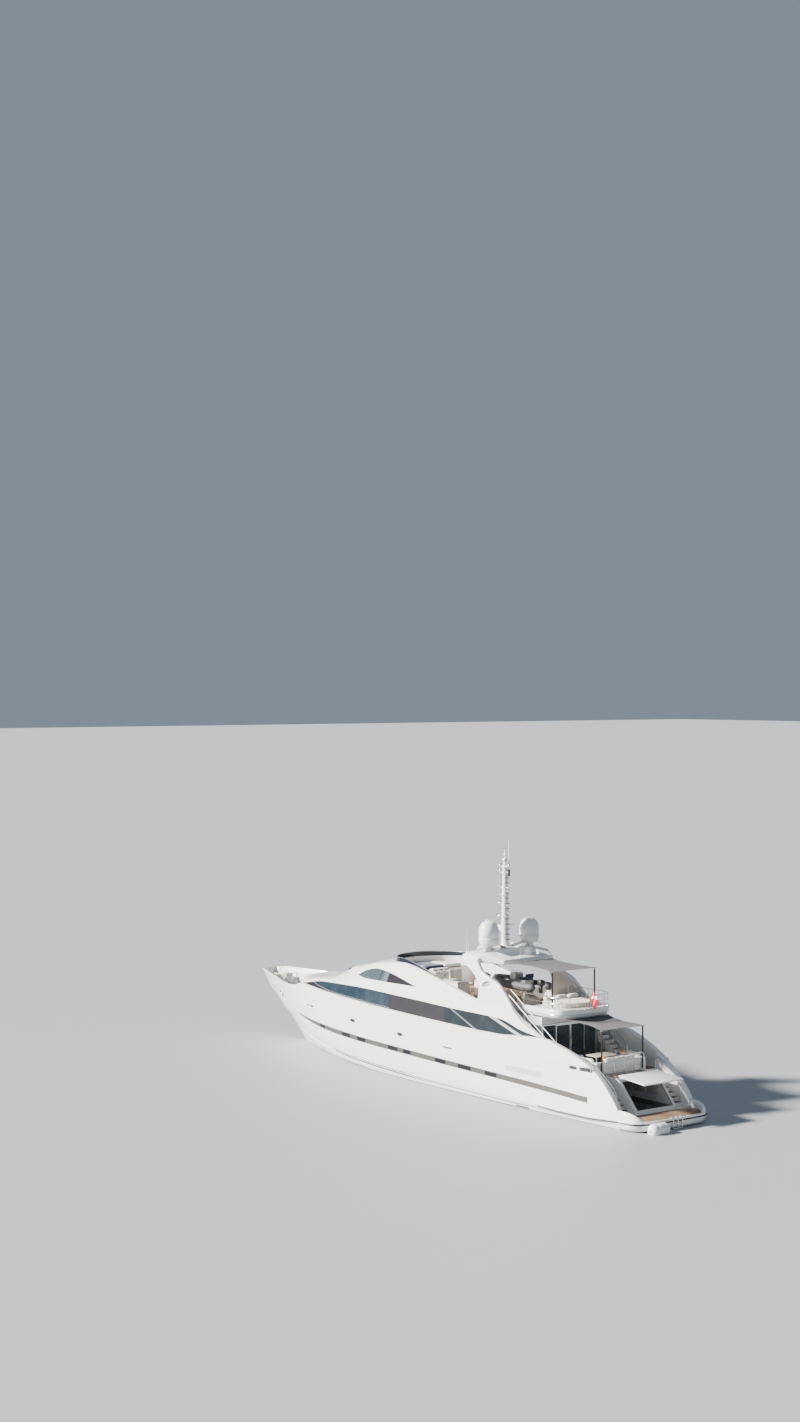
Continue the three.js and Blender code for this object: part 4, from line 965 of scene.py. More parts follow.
@dataclass(frozen=True)
class HullForm:
    """Moulded surface of the hull and topsides."""

    # x, keel z, chine y, chine z, side y, side z, deck y, deck z, middle y, middle z, edge y, edge z
    stations: tuple[tuple[float, ...], ...] = (
        (-17.6, -1.05, 2.48, -0.12, 2.65, 0.60, 2.56, 2.25, 2.55, 2.40, 2.53, 2.55),
        (-16.38, -1.12, 2.56, -0.115, 2.74, 0.61, 2.665, 2.25, 2.64, 2.40, 2.61, 2.55),
        (-15.1, -1.20, 2.64, -0.11, 2.83, 0.62, 2.77, 2.25, 2.78, 2.66, 2.74, 3.08),
        (-13.32, -1.27, 2.73, -0.105, 2.94, 0.635, 2.91, 2.25, 2.955, 2.97, 2.94, 3.69),
        (-12.0, -1.33, 2.82, -0.10, 3.05, 0.65, 3.05, 2.25, 3.09, 3.08, 3.085, 3.92),
        (-8.0, -1.44, 2.93, -0.08, 3.20, 0.70, 3.27, 2.25, 3.30, 2.97, 3.285, 3.70),
        (-3.0, -1.50, 2.97, -0.05, 3.25, 0.75, 3.37, 2.25, 3.395, 3.00, 3.37, 3.755),
        (2.0, -1.50, 2.88, 0.02, 3.20, 0.85, 3.36, 2.25, 3.375, 3.06, 3.345, 3.865),
        (6.0, -1.48, 2.60, 0.16, 2.94, 1.00, 3.15, 2.25, 3.205, 3.11, 3.19, 3.98),
        (9.0, -1.40, 2.13, 0.36, 2.53, 1.15, 2.80, 2.25, 2.905, 3.18, 2.92, 4.11),
        (10.9, -1.20, 1.70, 0.54, 2.11, 1.26, 2.43, 2.25, 2.61, 3.20, 2.74, 4.205),
        (12.6, -0.85, 1.22, 0.74, 1.58, 1.39, 2.00, 2.25, 2.28, 3.20, 2.50, 3.94),
        (13.5, -0.48, 0.92, 0.87, 1.29, 1.48, 1.74, 2.25, 2.06, 3.20, 2.32, 3.975),
        (15.01, 0.77, 0.40, 1.20, 0.74, 1.70, 1.21, 2.25, 1.62, 3.20, 1.96, 4.14),
        (16.04, 1.54, 0.15, 1.72, 0.37, 1.96, 0.68, 2.25, 1.23, 3.20, 1.60, 4.16),
        (16.9, 2.16, 0.07, 2.19, 0.09, 2.22, 0.16, 2.31, 0.83, 3.20, 1.29, 4.185),
        (17.6, 2.56, 0.03, 2.58, 0.05, 2.62, 0.09, 2.70, 0.49, 3.24, 1.03, 4.205),
        (18.13, 2.84, 0.02, 2.86, 0.03, 2.89, 0.06, 2.95, 0.29, 3.32, 0.78, 4.18),
        (18.84, 3.48, 0.012, 3.50, 0.018, 3.52, 0.03, 3.56, 0.13, 3.70, 0.38, 4.08),
        (19.32, 3.96, 0.004, 3.967, 0.006, 3.972, 0.008, 3.978, 0.012, 3.99, 0.02, 4.0),
    )
    # x, z of the upper edge
    edge: tuple[Flat, ...] = (
        (-17.6, 0.90), (-17.47, 1.11), (-16.98, 1.69), (-16.38, 2.256), (-15.76, 2.71), (-15.01, 3.10),
        (-14.19, 3.42), (-13.32, 3.69), (-12.2, 3.92), (-10.5, 3.85), (-8.6, 3.705), (-6.45, 3.703),
        (-3.0, 3.755), (0.6, 3.831), (3.9, 3.917), (7.2, 4.026), (9.8, 4.145), (10.9, 4.205), (11.7, 4.0),
        (12.6, 3.94), (13.7, 3.995), (15.01, 4.14), (16.9, 4.185), (17.6, 4.205), (18.13, 4.18),
        (18.84, 4.08), (19.32, 4.0),
    )
    keel_half: float = 0.06
    columns: Curve = field(init=False, repr=False)
    sheer_line: Curve = field(init=False, repr=False)

    def __post_init__(self) -> None:
        """Prepares the curves through the tables."""
        object.__setattr__(self, "columns", Curve(self.stations))
        object.__setattr__(self, "sheer_line", Curve(self.edge))

    def sheer(self, x: float) -> float:
        """Height of the upper edge."""
        return self.sheer_line.value(x)

    def side(self, x: float) -> Curve:
        """Half breadth over height above the chine."""
        _, cy, cz, sy, sz, dy, dz, my, mz, ey, ez = self.columns.at(x)
        return Curve([(cz, cy), (sz, sy), (dz, dy), (mz, my), (ez, ey)])

    def y_at(self, x: float, z: float) -> float:
        """Half breadth of the side at a height."""
        return self.side(x).value(z)

    def outer(self, x: float, steps: int = 26) -> list[Flat]:
        """Half section from the keel to the upper edge, as y, z."""
        values = self.columns.at(x)
        keel, cy, cz = values[0], values[1], values[2]
        foot = min(self.keel_half, cy * 0.9)
        bottom = [(foot + (cy - foot) * t, keel + (cz - keel) * (t - 0.10 * t * (1 - t))) for t in spread(0, 1, 0.2)]
        line = self.side(x)
        top = max(self.sheer(x), cz + 1e-3)
        return bottom + [(line.value(z), z) for z in np.linspace(cz, top, steps)[1:]]


@dataclass
class Hull:
    """Shell with its decks, openings, stripes and side fittings."""

    works: Works
    form: HullForm = HullForm()
    cap: float = 0.14
    wall: float = 0.29
    lip: float = 0.028
    wing_inside: float = 2.33
    well_end: float = 18.45
    tip: float = 19.32
    garage: tuple[float, float, float, float] = (1.25, 0.80, 2.10, -12.6)

    def build(self) -> None:
        """Makes every piece of the hull."""
        self.shell()
        self.band()
        self.stripes()
        self.fittings()
        self.decks()

    def inside(self, x: float, zone: Zone) -> list[Flat]:
        """Rounded cap, inner wall and deck of a half section, from the outer edge to the centreline.

        Args:
            x: station.
            zone: the stretch that the station is in.

        Returns:
            The points as y, z.
        """
        top = self.form.sheer(x)
        y = self.form.y_at(x, top)
        if zone is Zone.NOSE:
            arc = [(y * (1 - t), top + 0.02 * math.sin(math.pi * t / 2)) for t in (0.15, 0.3, 0.5, 0.7, 0.85, 1.0)]
            return arc + [(0.0, top + 0.02)] * 5
        if zone is Zone.STERN:
            inner, deck = min(self.wing_inside, y - 0.12), PLATFORM_TOP
        elif zone is Zone.MIDDLE:
            inner, deck = y - self.wall, MAIN_DECK
        else:
            inner, deck = max(y - self.cap, y * 0.45), FOREDECK
        r = min(self.lip, (y - inner) * 0.4)
        turn = [math.radians(a) for a in (20, 50, 90)]
        outer = [(y - r + r * math.cos(a), top - r + r * math.sin(a) + r * 0.6) for a in turn]
        back = [(inner + r - r * math.cos(a), top - r + r * math.sin(a) + r * 0.6) for a in reversed(turn)]
        foot_y = inner
        if zone is Zone.MIDDLE:
            foot_y = min(inner, self.form.y_at(x, MAIN_DECK) - self.wall)
        elif zone is Zone.FORE:
            foot_y = max(min(inner, self.form.y_at(x, FOREDECK + 0.05) - self.cap), 0.03)
        cove = 0.03 if zone is not Zone.FORE or foot_y > 0.1 else 0.0
        return [*outer, *back, (inner + (foot_y - inner) * 0.5, (top + deck) / 2), (foot_y, deck + 0.03),
                (foot_y - cove, deck), (foot_y * 0.5, deck), (0.0, deck)]

    def shell(self) -> None:
        """Hull, topsides and bulwarks in one skin, with the garage and engine room."""
        ends = (TRANSOM, COCKPIT_END, FORE_END, self.well_end, self.tip)
        rings = []
        for zone, low, high in zip(Zone, ends, ends[1:]):
            rings += [station(x, [*self.form.outer(x), *self.inside(x, zone)])
                      for x in spread(low + 5e-4, high - 5e-4, 0.24)]
        half, floor, top, front = self.garage
        cutters = [
            Shape().block((COCKPIT_END - 0.4, -half, floor), (front, half, top)),
            Shape().block((front - 0.05, -0.45, floor), (-11.45, 0.45, 1.95)),
            Shape().block((-11.5, -2.2, -0.25), (-6.5, 2.2, 2.0)),
        ]
        mesh = self.works.carve(Shape().loft(rings), cutters)
        replaced = ("hull", "bow", "topside_port", "topside_starboard")
        self.works.piece("hull_shell", mesh, "hull", Slot.GELCOAT, replaces=replaced, angle=28)

    def patch(self, xs: Sequence[float], low: Callable[[float], float], high: Callable[[float], float],
              proud: float, rows: int = 5) -> Shape:
        """Thin plate that follows the side.

        Args:
            xs: stations.
            low: height of its lower edge at a station.
            high: height of its upper edge.
            proud: how far it stands off.
            rows: points from edge to edge.

        Returns:
            The plate on the port side.
        """
        front, back = [], []
        for x in xs:
            heights = np.linspace(low(x), max(high(x), low(x) + 0.004), rows)
            front.append([(x, self.form.y_at(x, z) + proud, z) for z in heights])
            back.append([(x, self.form.y_at(x, z) - 0.012, z) for z in heights])
        return Shape().plate(front, back)

    def band(self) -> None:
        """Dark band along the side with its cabin windows."""
        top = Curve([(12.3, 2.26), (9.73, 2.10), (6.1, 1.97), (1.87, 1.88), (-3.78, 1.76), (-10.47, 1.59),
                     (-15.44, 1.35)])
        depth = Curve([(12.3, 0.01), (11.0, 0.13), (9.0, 0.24), (6.0, 0.29), (-15.44, 0.29)])

        def lower(x: float) -> float:
            """Height of the band's lower edge."""
            return top.value(x) - depth.value(x)

        strip = self.patch(spread(-15.44, 12.3, 0.25), lower, top.value, 0.004)
        self.works.piece("side_band", strip.twice(), "band", Slot.GELCOAT)
        windows = ((8.05, 8.66), (5.05, 5.91), (3.35, 4.19), (0.15, 1.02), (-1.08, -0.42), (-4.29, -3.39),
                   (-6.45, -5.42), (-8.6, -7.7))
        panes, frames = Shape(), Shape()
        for x0, x1 in windows:
            xs = spread(x0, x1, 0.12)
            panes.join(self.patch(xs, lambda x: lower(x) + 0.055, lambda x: top.value(x) - 0.055, 0.010))
            wide = spread(x0 - 0.03, x1 + 0.03, 0.12)
            frames.join(self.patch(wide, lambda x: lower(x) + 0.03, lambda x: top.value(x) - 0.03, 0.007))
        self.works.piece("cabin_windows", panes.twice(), "port_glass", Slot.GLASS)
        self.works.piece("cabin_window_frames", frames.twice(), "gasket", Slot.GLASS)

    def stripes(self) -> None:
        """Two lines above the water and the rubbing strake towards the stern."""
        line = Curve([(7.6, 0.55), (7.0, 0.48), (4.2, 0.35), (0.2, 0.24), (-3.5, 0.12), (-7.0, 0.07), (-11.0, 0.05)])
        marks = Shape()
        for lift, width in ((0.0, 0.075), (0.14, 0.04)):
            xs = spread(-11.0, 7.4, 0.3)
            marks.join(self.patch(xs, lambda x: line.value(x) + lift, lambda x: line.value(x) + lift + width, 0.003, 2))
        self.works.piece("boot_lines", marks.twice(), "black", Slot.GELCOAT)
        below = Curve([(-8.9, 0.90), (-9.6, 0.70), (-10.27, 0.47), (-10.99, 0.32), (-11.7, 0.27), (-13.5, 0.24),
                       (-17.6, 0.30)])
        above = Curve([(-8.9, 0.93), (-9.8, 0.97), (-10.8, 0.94), (-12.0, 0.74), (-13.4, 0.56), (-17.6, 0.56)])
        front, back, path = [], [], []
        for x in spread(-17.59, -8.9, 0.2):
            low, high = below.value(x), above.value(x)
            swell = min(0.075, 0.035 * (-8.9 - x))
            zs = [low + (high - low) * t for t in (0.0, 0.12, 0.3, 0.6, 1.0)]
            front.append([(x, self.form.y_at(x, z) + 0.001 + swell * t, z)
                          for z, t in zip(zs, (0.85, 1.0, 0.8, 0.4, 0.0))])
            back.append([(x, self.form.y_at(x, z) - 0.03, z) for z in zs])
            if x < -11.7:
                aft, ahead = min(1.0, max(0.0, -15.5 - x) / 2.0), min(1.0, max(0.0, x + 13.4) / 2.0)
                z = 0.30 + 0.12 * aft + 0.10 * ahead
                path.append((x, self.form.y_at(x, z) + swell + 0.008, z))
        self.works.piece("stern_fairing", Shape().plate(front, back).twice(), "hull", Slot.GELCOAT, angle=50)
        self.works.piece("rubbing_strake", Shape().tube(path, 0.04, 8, 0.035).twice(), "black", Slot.GELCOAT)
        knuckle = Curve([(-10.0, 0.10), (-4.0, 0.16), (2.0, 0.24), (7.0, 0.46), (10.0, 0.74), (12.6, 1.08)])
        xs = spread(-10.0, 12.6, 0.3)
        front, back = [], []
        for x in xs:
            z = knuckle.value(x)
            y = self.form.y_at(x, z)
            front.append([(x, y + off, z + up) for off, up in ((0.002, -0.05), (0.028, 0.0), (0.002, 0.03))])
            back.append([(x, y - 0.03, z + up) for up in (-0.05, 0.0, 0.03)])
        self.works.piece("spray_rail", Shape().plate(front, back).twice(), "hull", Slot.GELCOAT)

    def fittings(self) -> None:
        """Scuppers, side panel, fairleads and anchor pocket."""
        # The dark ovals are painted shade in the openings of the scuppers and fairleads; the hull is not cut there.
        dark, lips = Shape(), Shape()

        def oval(x0: float, x1: float, z: float, high: float, proud: float, power: float) -> Shape:
            """Plate between two stations with rounded ends."""
            middle, reach = (x0 + x1) / 2, (x1 - x0) / 2
            xs = [middle - reach * math.cos(a) * 0.9999 for a in np.linspace(0, math.pi, 17)]

            def rise(x: float) -> float:
                """Half height at a station."""
                return high * max(1e-4, 1 - abs((x - middle) / reach) ** power) ** (1 / power)

            return self.patch(xs, lambda x: z - rise(x), lambda x: z + rise(x), proud, 3)

        for x0, x1, z, high, power in ((9.95, 10.15, 2.99, 0.045, 2.5), (9.36, 9.74, 2.97, 0.045, 3.0),
                                       (4.38, 4.88, 2.775, 0.085, 2.2), (-0.41, 0.09, 2.61, 0.085, 2.2),
                                       (-4.9, -4.1, 2.45, 0.03, 5.0), (-14.66, -14.14, 2.735, 0.085, 4.0),
                                       (-15.70, -14.82, 2.735, 0.10, 5.0)):
            dark.join(oval(x0, x1, z, high, 0.012, power))
            rim = 0.022 if high > 0.05 else 0.010
            lips.join(oval(x0 - rim, x1 + rim, z, high + rim, 0.007, power))
        rollers = Shape()
        for x in (-14.9, -15.62):
            y = self.form.y_at(x, 2.735)
            rollers.tube([(x, y + 0.01, 2.64), (x, y + 0.01, 2.83)], 0.035, 12)
        self.works.piece("fairlead_rollers", rollers.twice(), "steel", Slot.STEEL)
        plate = self.patch(spread(-12.1, -9.33, 0.2), lambda x: 1.9, lambda x: 2.2, 0.004)
        # Dark plates over the openings: painted shade.
        self.works.piece("side_openings_painted_shade", dark.twice(), "gasket", Slot.GELCOAT)
        self.works.piece("opening_lips", lips.twice(), "steel", Slot.STEEL)
        self.works.piece("shell_door_panel", plate.twice(), "pale_grey", Slot.GELCOAT)
        self.anchor()

    def anchor(self) -> None:
        """Anchor in its polished pocket on each bow."""
        x, z = 14.42, 3.12

        def seat(u: float, v: float, proud: float) -> Point:
            """Point u ahead of the pocket's centre and v above its slanted line."""
            height = z + v + u * 0.7
            return x + u, self.form.y_at(x + u, height) + proud, height

        def hollow(wide: float, high: float, proud: float) -> Shape:
            """Slanted plate round the pocket's centre."""
            return self.patch(spread(x - wide, x + wide, 0.04), lambda v: z - high + (v - x) * 0.7,
                              lambda v: z + high + (v - x) * 0.7, proud)

        self.works.piece("anchor_plates", hollow(0.23, 0.115, 0.004).twice(), "steel", Slot.STEEL)
        # The dark plate in the pocket is painted shade for its hollow, which is not cut.
        self.works.piece("anchor_pockets_painted_shade", hollow(0.20, 0.085, 0.008).twice(), "gasket", Slot.GELCOAT)
        made = Shape().tube([seat(0.0, 0.05, -0.03), seat(0.0, 0.0, 0.02), seat(0.0, -0.05, 0.03)], 0.022, 8)
        made.tube([seat(-0.13, -0.05, 0.025), seat(0.13, -0.05, 0.025)], 0.022, 8)
        for side in (-1, 1):
            fluke = [seat(side * 0.14, -0.06, 0.02), seat(side * 0.06, -0.06, 0.02), seat(side * 0.09, 0.07, 0.012)]
            made.loft([fluke, [(p[0], p[1] + 0.03, p[2]) for p in fluke]])
        self.works.piece("anchors", made.twice(), "brushed", Slot.STEEL)

    def decks(self) -> None:
        """Laid teak of the cockpit and foredeck, carpet of the saloon."""
        def sheet(x0: float, x1: float, z: float, margin: float, thick: float) -> Shape:
            """Sheet on a deck, its edge a margin inside the hull's side."""
            edge = [(x, self.form.y_at(x, z + 0.05) - margin) for x in spread(x0, x1, 0.3)]
            return Shape().prism(2, both(edge), z + 0.001, z + thick)

        self.works.piece("cockpit_teak", sheet(COCKPIT_END + 0.02, BULKHEAD - 0.1, MAIN_DECK, 0.36, LAID), "teak",
                         Slot.TEAK)
        self.works.piece("saloon_carpet", sheet(BULKHEAD + 0.08, FORE_END - 0.2, MAIN_DECK, 0.36, LAID), "carpet",
                         Slot.CUSHION)
        self.works.piece("foredeck_teak", sheet(12.75, 17.0, FOREDECK, 0.21, 0.004), "teak", Slot.TEAK)


# Deckhouse


@dataclass(frozen=True)
class HouseForm:
    """Moulded surface of the deckhouse with the flybridge coaming."""

    # x, base y, z, window top y, z, shoulder y, z, upper y, z, rim y, z, crown z
    stations: tuple[tuple[float, ...], ...] = (
        (10.9, 2.600, 4.205, 2.560, 4.235, 2.300, 4.420, 1.700, 4.560, 0.900, 4.640, 4.670),
        (9.8, 2.720, 4.145, 2.640, 4.430, 2.360, 4.600, 1.800, 4.700, 1.000, 4.770, 4.800),
        (8.45, 2.860, 4.073, 2.770, 4.620, 2.440, 4.790, 1.950, 4.870, 1.100, 4.940, 4.970),
        (7.2, 2.970, 4.026, 2.870, 4.680, 2.600, 4.860, 2.200, 5.090, 1.700, 5.420, 5.590),
        (5.4, 3.090, 3.962, 2.980, 4.740, 2.750, 5.010, 2.430, 5.330, 2.080, 5.700, 5.960),
        (3.9, 3.160, 3.917, 3.050, 4.775, 2.860, 5.060, 2.560, 5.490, 2.180, 6.020, 6.330),
        (2.3, 3.210, 3.869, 3.110, 4.765, 2.940, 5.080, 2.700, 5.610, 2.330, 6.300, 6.520),
        (0.6, 3.230, 3.831, 3.130, 4.740, 2.990, 5.060, 2.800, 5.600, 2.480, 6.470, 6.620),
        (-1.2, 3.240, 3.793, 3.140, 4.710, 3.010, 5.020, 2.860, 5.480, 2.600, 6.260, 6.400),
        (-3.0, 3.240, 3.755, 3.140, 4.670, 3.020, 4.960, 2.890, 5.330, 2.680, 5.910, 6.000),
        (-4.8, 3.215, 3.728, 3.115, 4.630, 3.010, 4.880, 2.910, 5.180, 2.750, 5.560, 5.650),
        (-6.45, 3.190, 3.703, 3.090, 4.620, 3.000, 4.810, 2.920, 5.020, 2.800, 5.270, 5.350),
        (-8.6, 3.140, 3.705, 3.050, 4.580, 2.980, 4.780, 2.910, 4.990, 2.840, 5.230, 5.300),
        (-10.5, 3.060, 3.850, 3.030, 4.165, 2.970, 4.600, 2.910, 4.900, 2.860, 5.230, 5.300),
        (-12.2, 2.965, 3.920, 2.960, 3.945, 2.950, 4.300, 2.930, 4.700, 2.900, 5.230, 5.300),
    )
    columns: Curve = field(init=False, repr=False)

    def __post_init__(self) -> None:
        """Prepares the curve through the table."""
        object.__setattr__(self, "columns", Curve(self.stations))

    def row(self, x: float) -> list[Flat]:
        """Base, window top, shoulder, upper, rim and crown at a station."""
        v = [float(a) for a in self.columns.at(x)]
        return [(v[0], v[1]), (v[2], v[3]), (v[4], v[5]), (v[6], v[7]), (v[8], v[9]), (0.0, v[10])]

    def section(self, x: float) -> list[Flat]:
        """Half section from the base to the centreline."""
        base, band, shoulder, upper, rim, crown = self.row(x)
        side = smooth([band, shoulder, upper, rim], 6)
        top = [(rim[0] * math.cos(a), rim[1] + (crown[1] - rim[1]) * math.sin(a)) for a in
               np.linspace(0, math.pi / 2, 8)[1:]]
        line = [(base[0], base[1] + 0.0004), *[(max(y, 0.0), z) for y, z in (*side, *top)]]
        line[-1] = (0.0, line[-1][1])
        return line

    def body(self) -> Shape:
        """Closed skin."""
        return Shape().loft([station(x, self.section(x), slice(-1)) for x in spread(HOUSE_END, FORE_END, 0.3)])

    def y_at(self, x: float, z: float) -> float:
        """Half breadth at a height."""
        line = self.section(x)
        return float(np.interp(z, [p[1] for p in line], [p[0] for p in line]))

    def z_at(self, x: float, y: float) -> float:
        """Height at a half breadth."""
        line = self.section(x)[::-1]
        return float(np.interp(abs(y), [p[0] for p in line], [p[1] for p in line]))


@dataclass
class House:
    """Deckhouse with its windows, coachroof, screen and what shows inside."""

    works: Works
    form: HouseForm = HouseForm()
    skin: float = 0.15
    ceiling: float = 4.70
    pane: float = 0.03
    pane_set: float = 0.012
    eye: tuple[Flat, ...] = ((5.18, 5.34), (4.68, 5.60), (4.22, 5.74), (3.61, 5.85), (2.91, 5.89), (1.82, 5.83),
                             (0.77, 5.69), (-0.19, 5.52), (-0.98, 5.375), (0.40, 5.35), (1.51, 5.32), (2.45, 5.31),
                             (3.42, 5.28), (4.23, 5.27))
    screen_plan: tuple[Flat, ...] = ((8.25, 0.0), (8.15, 1.0), (7.75, 1.75), (6.75, 1.9), (6.9, 1.0), (6.95, 0.0))
    podium_plan: tuple[Flat, ...] = ((0.599, 2.27), (1.23, 2.2), (1.79, 2.06), (2.28, 1.7), (2.63, 1.15), (2.81, 0.5))
    wing_cut: tuple[Flat, ...] = ((-6.45, 5.2), (-9.43, 5.2), (-10.26, 4.67), (-11.49, 4.15), (-12.13, 3.962),
                                  (-12.5, 3.95), (-12.5, SKY), (-6.45, SKY))

    def build(self) -> None:
        """Makes every piece of the deckhouse."""
        self.shell()
        self.side_glass()
        self.pillars()
        self.eyes()
        self.windscreen()
        self.coachroof()
        self.fly_screen()
        self.inside()

    def eye_line(self) -> list[Flat]:
        """Rounded outline of the eye-shaped window."""
        upper = smooth(self.eye[:9], 4)
        lower = smooth([self.eye[8], *self.eye[9:], self.eye[0]], 3)
        return [*upper, *lower[1:-1]]

    def eye_limits(self, x: float) -> Flat:
        """Lowest and highest point of the eye-shaped window at a station."""
        line = self.eye_line()
        places = [p[0] for p in line]
        split = places.index(min(places))
        upper, lower = line[:split + 1], [*line[split:], line[0]]
        high = float(np.interp(x, [p[0] for p in reversed(upper)], [p[1] for p in reversed(upper)]))
        low = float(np.interp(x, [p[0] for p in lower], [p[1] for p in lower]))
        return low + 0.002, max(high - 0.002, low + 0.006)

    def eye_plate(self, x0: float, x1: float, lift: float, thick: float, step: float = 0.15) -> Shape:
        """Plate over a length of the eye-shaped window."""
        def grid(u: float, v: float) -> Flat:
            """Point at station u and share v of the height."""
            low, high = self.eye_limits(u)
            return u, low + (high - low) * v

        return self.slab(grid, spread(x0, x1, step), spread(0, 1, 0.2), lift, thick)

    def saloon_space(self) -> Shape:
        """Room under the flybridge deck."""
        rings = []
        for x in spread(HOUSE_END, FORE_END - self.skin, 0.6):
            base, band, shoulder, _, _, crown = self.form.row(x)
            half = [(base[0] - self.skin, base[1] - 0.3), (band[0] - self.skin, min(band[1], self.ceiling) - 0.06),
                    (shoulder[0] - self.skin * 1.6, min(shoulder[1] - self.skin, self.ceiling)),
                    (shoulder[0] - self.skin * 4, min(crown[1] - self.skin, self.ceiling))]
            rings.append(station(x - 0.5 if x == HOUSE_END else x, half))
        return Shape().loft(rings)

    def wheelhouse_space(self) -> Shape:
        """Raised room of the helm."""
        rings = []
        for x in spread(2.3, 8.3, 0.6):
            _, _, shoulder, upper, rim, crown = self.form.row(x)
            roof = FLY_PODIUM - self.skin
            half = [(shoulder[0] - 0.42, self.ceiling - 0.2), (upper[0] - 0.2, min(upper[1] - 0.06, 5.6)),
                    (rim[0] - 0.18, min(rim[1] - self.skin, roof)),
                    (rim[0] - 0.7, min(crown[1] - self.skin * 1.3, roof))]
            rings.append(station(x, half))
        return Shape().loft(rings)

    def fly_well(self) -> Shape:
        """Open well inside the coaming of the flybridge."""
        rings = []
        for x in spread(HOUSE_END - 0.5, 0.6, 0.4):
            _, _, shoulder, upper, rim, _ = self.form.row(x)
            half = [(shoulder[0] - 0.26, FLY_DECK), (upper[0] - 0.20, upper[1]), (rim[0] - 0.15, rim[1] + 0.01),
                    (rim[0] - 0.15, SKY)]
            rings.append(station(x, half))
        return Shape().loft(rings)

    def podium_well(self) -> Shape:
        """Sunbathing well ahead of the helm."""
        return Shape().loft([station(x, [(y, FLY_PODIUM), (y, SKY)]) for x, y in smooth(self.podium_plan, 4)])

    def band_limits(self, x: float) -> Flat:
        """Lowest and highest point of the side window at a station."""
        base, band = self.form.row(x)[:2]
        return base[1] + 0.035, max(band[1] - 0.015, base[1] + 0.065)

    def shell(self) -> None:
        """Skin of the deckhouse with every opening cut."""
        def outline(limits: Callable[[float], Flat], xs: Sequence[float]) -> list[Flat]:
            """Closed outline between two limits, as x, z."""
            return [*[(x, limits(x)[0]) for x in xs], *[(x, limits(x)[1]) for x in reversed(xs)]]

        band = outline(self.band_limits, spread(HOUSE_END + 0.13, FORE_END - 0.06, 0.25))
        room = Shape().prism(1, outline(self.eye_limits, spread(2.35, 5.15, 0.2)), 1.5, 2.75)
        eye = self.eye_plate(-0.965, 5.165, 0.3, 0.36, 0.1)
        cutters = [
            self.saloon_space(), self.wheelhouse_space(), self.fly_well(), self.podium_well(),
            Shape().block((HOUSE_END - 0.5, -2.7, 4.5), (ROOF_END, 2.7, SKY)),
            Shape().prism(1, self.wing_cut, -SKY, SKY),
            Shape().prism(1, band, -SKY, SKY),
            eye, eye.across(), room, room.across(),
            Shape().prism(2, both(smooth(self.screen_plan, 3, (3,))), 4.3, SKY),
        ]
        mesh = self.works.carve(self.form.body(), cutters)
        self.works.piece("deckhouse_shell", mesh, "gelcoat", Slot.GELCOAT, replaces=("deckhouse",), angle=30)

    def slab(self, grid: Callable[[float, float], tuple[float, float]], us: Sequence[float], vs: Sequence[float],
             lift: float, thick: float) -> Shape:
        """Plate on the side of the house.

        Args:
            grid: gives x and z for a pair of parameters.
            us: first parameters.
            vs: second parameters.
            lift: how far it stands off the skin.
            thick: its thickness.

        Returns:
            The plate on the port side.
        """
        front = [[(x, self.form.y_at(x, z) + lift, z) for x, z in (grid(u, v) for v in vs)] for u in us]
        back = [[(x, y - thick, z) for x, y, z in row] for row in front]
        return Shape().plate(front, back)

    def side_glass(self) -> None:
        """Band of windows: see-through panes over a border forward, opaque ones amidships, dark ones aft."""
        edge = Curve([(1.1, 3.82), (2.09, 3.86), (3.23, 3.89), (4.41, 3.96), (5.65, 4.05), (6.91, 4.12), (8.26, 4.22),
                      (9.67, 4.43), (10.9, 4.60)])

        def plate(part: Pane, x0: float, x1: float, lift: float) -> Shape:
            """Plate of one part of the band between two stations."""
            def grid(u: float, v: float) -> Flat:
                """Point at station u and share v of the height."""
                low, high = self.band_limits(u)
                low, high = low + 0.001, high - 0.001
                middle = min(max(edge.value(u), low + 0.07), high - 0.006)
                if part is Pane.CLEAR:
                    low = middle
                elif part is Pane.BORDER:
                    high = middle
                elif part is Pane.LINE:
                    low, high = middle - 0.014, min(middle + 0.014, high)
                return u, low + (high - low) * v

            return self.slab(grid, spread(x0, x1, 0.25), spread(0, 1, 0.34), lift - self.pane_set, self.pane)

        for label, sign in SIDES:
            for part, x0, x1, finish in ((Pane.CLEAR, 1.13, 9.62, "band_glass"),
                                         (Pane.BORDER, 1.13, FORE_END - 0.065, "border"),
                                         (Pane.MIDDLE, -3.95, 1.125, "border"),
                                         (Pane.AFT, HOUSE_END + 0.135, -3.955, "glass")):
                replaced = (f"side_glass_{label}",) if part is Pane.AFT else ()
                self.works.piece(f"side_glass_{part.value}_{label}", plate(part, x0, x1, 0.0).on(sign), finish,
                                 Slot.GLASS, replaces=replaced)
        self.works.piece("side_glass_lines", plate(Pane.LINE, 1.13, 9.5, 0.004).twice(), "pillar", Slot.GLASS)

    def pillars(self) -> None:
        """Painted diagonal pillars over the aft end of the windows."""
        pale = [((-4.38, 4.62), (-4.55, 4.62)), ((-7.0, 3.61), (-7.19, 3.61))]
        silver = [((-7.78, 4.57), (-8.32, 4.57)), ((-10.2, 3.84), (-10.7, 3.84))]
        for name, ((a, b), (c, d)), finish in (("side_pillars_pale", pale, "pillar"),
                                               ("side_pillars_silver", silver, "silver")):
            def grid(u: float, v: float) -> Flat:
                """Point u across and v down the pillar, kept within the windows."""
                top = (a[0] + (b[0] - a[0]) * u, a[1] + (b[1] - a[1]) * u)
                low = (c[0] + (d[0] - c[0]) * u, c[1] + (d[1] - c[1]) * u)
                x, z = top[0] + (low[0] - top[0]) * v, top[1] + (low[1] - top[1]) * v
                least, most = self.band_limits(x)
                return x, min(max(z, least), most)

            made = self.slab(grid, spread(0, 1, 0.2), spread(0, 1, 0.08), 0.012, 0.04)
            self.works.piece(name, made.twice(), finish, Slot.GELCOAT)

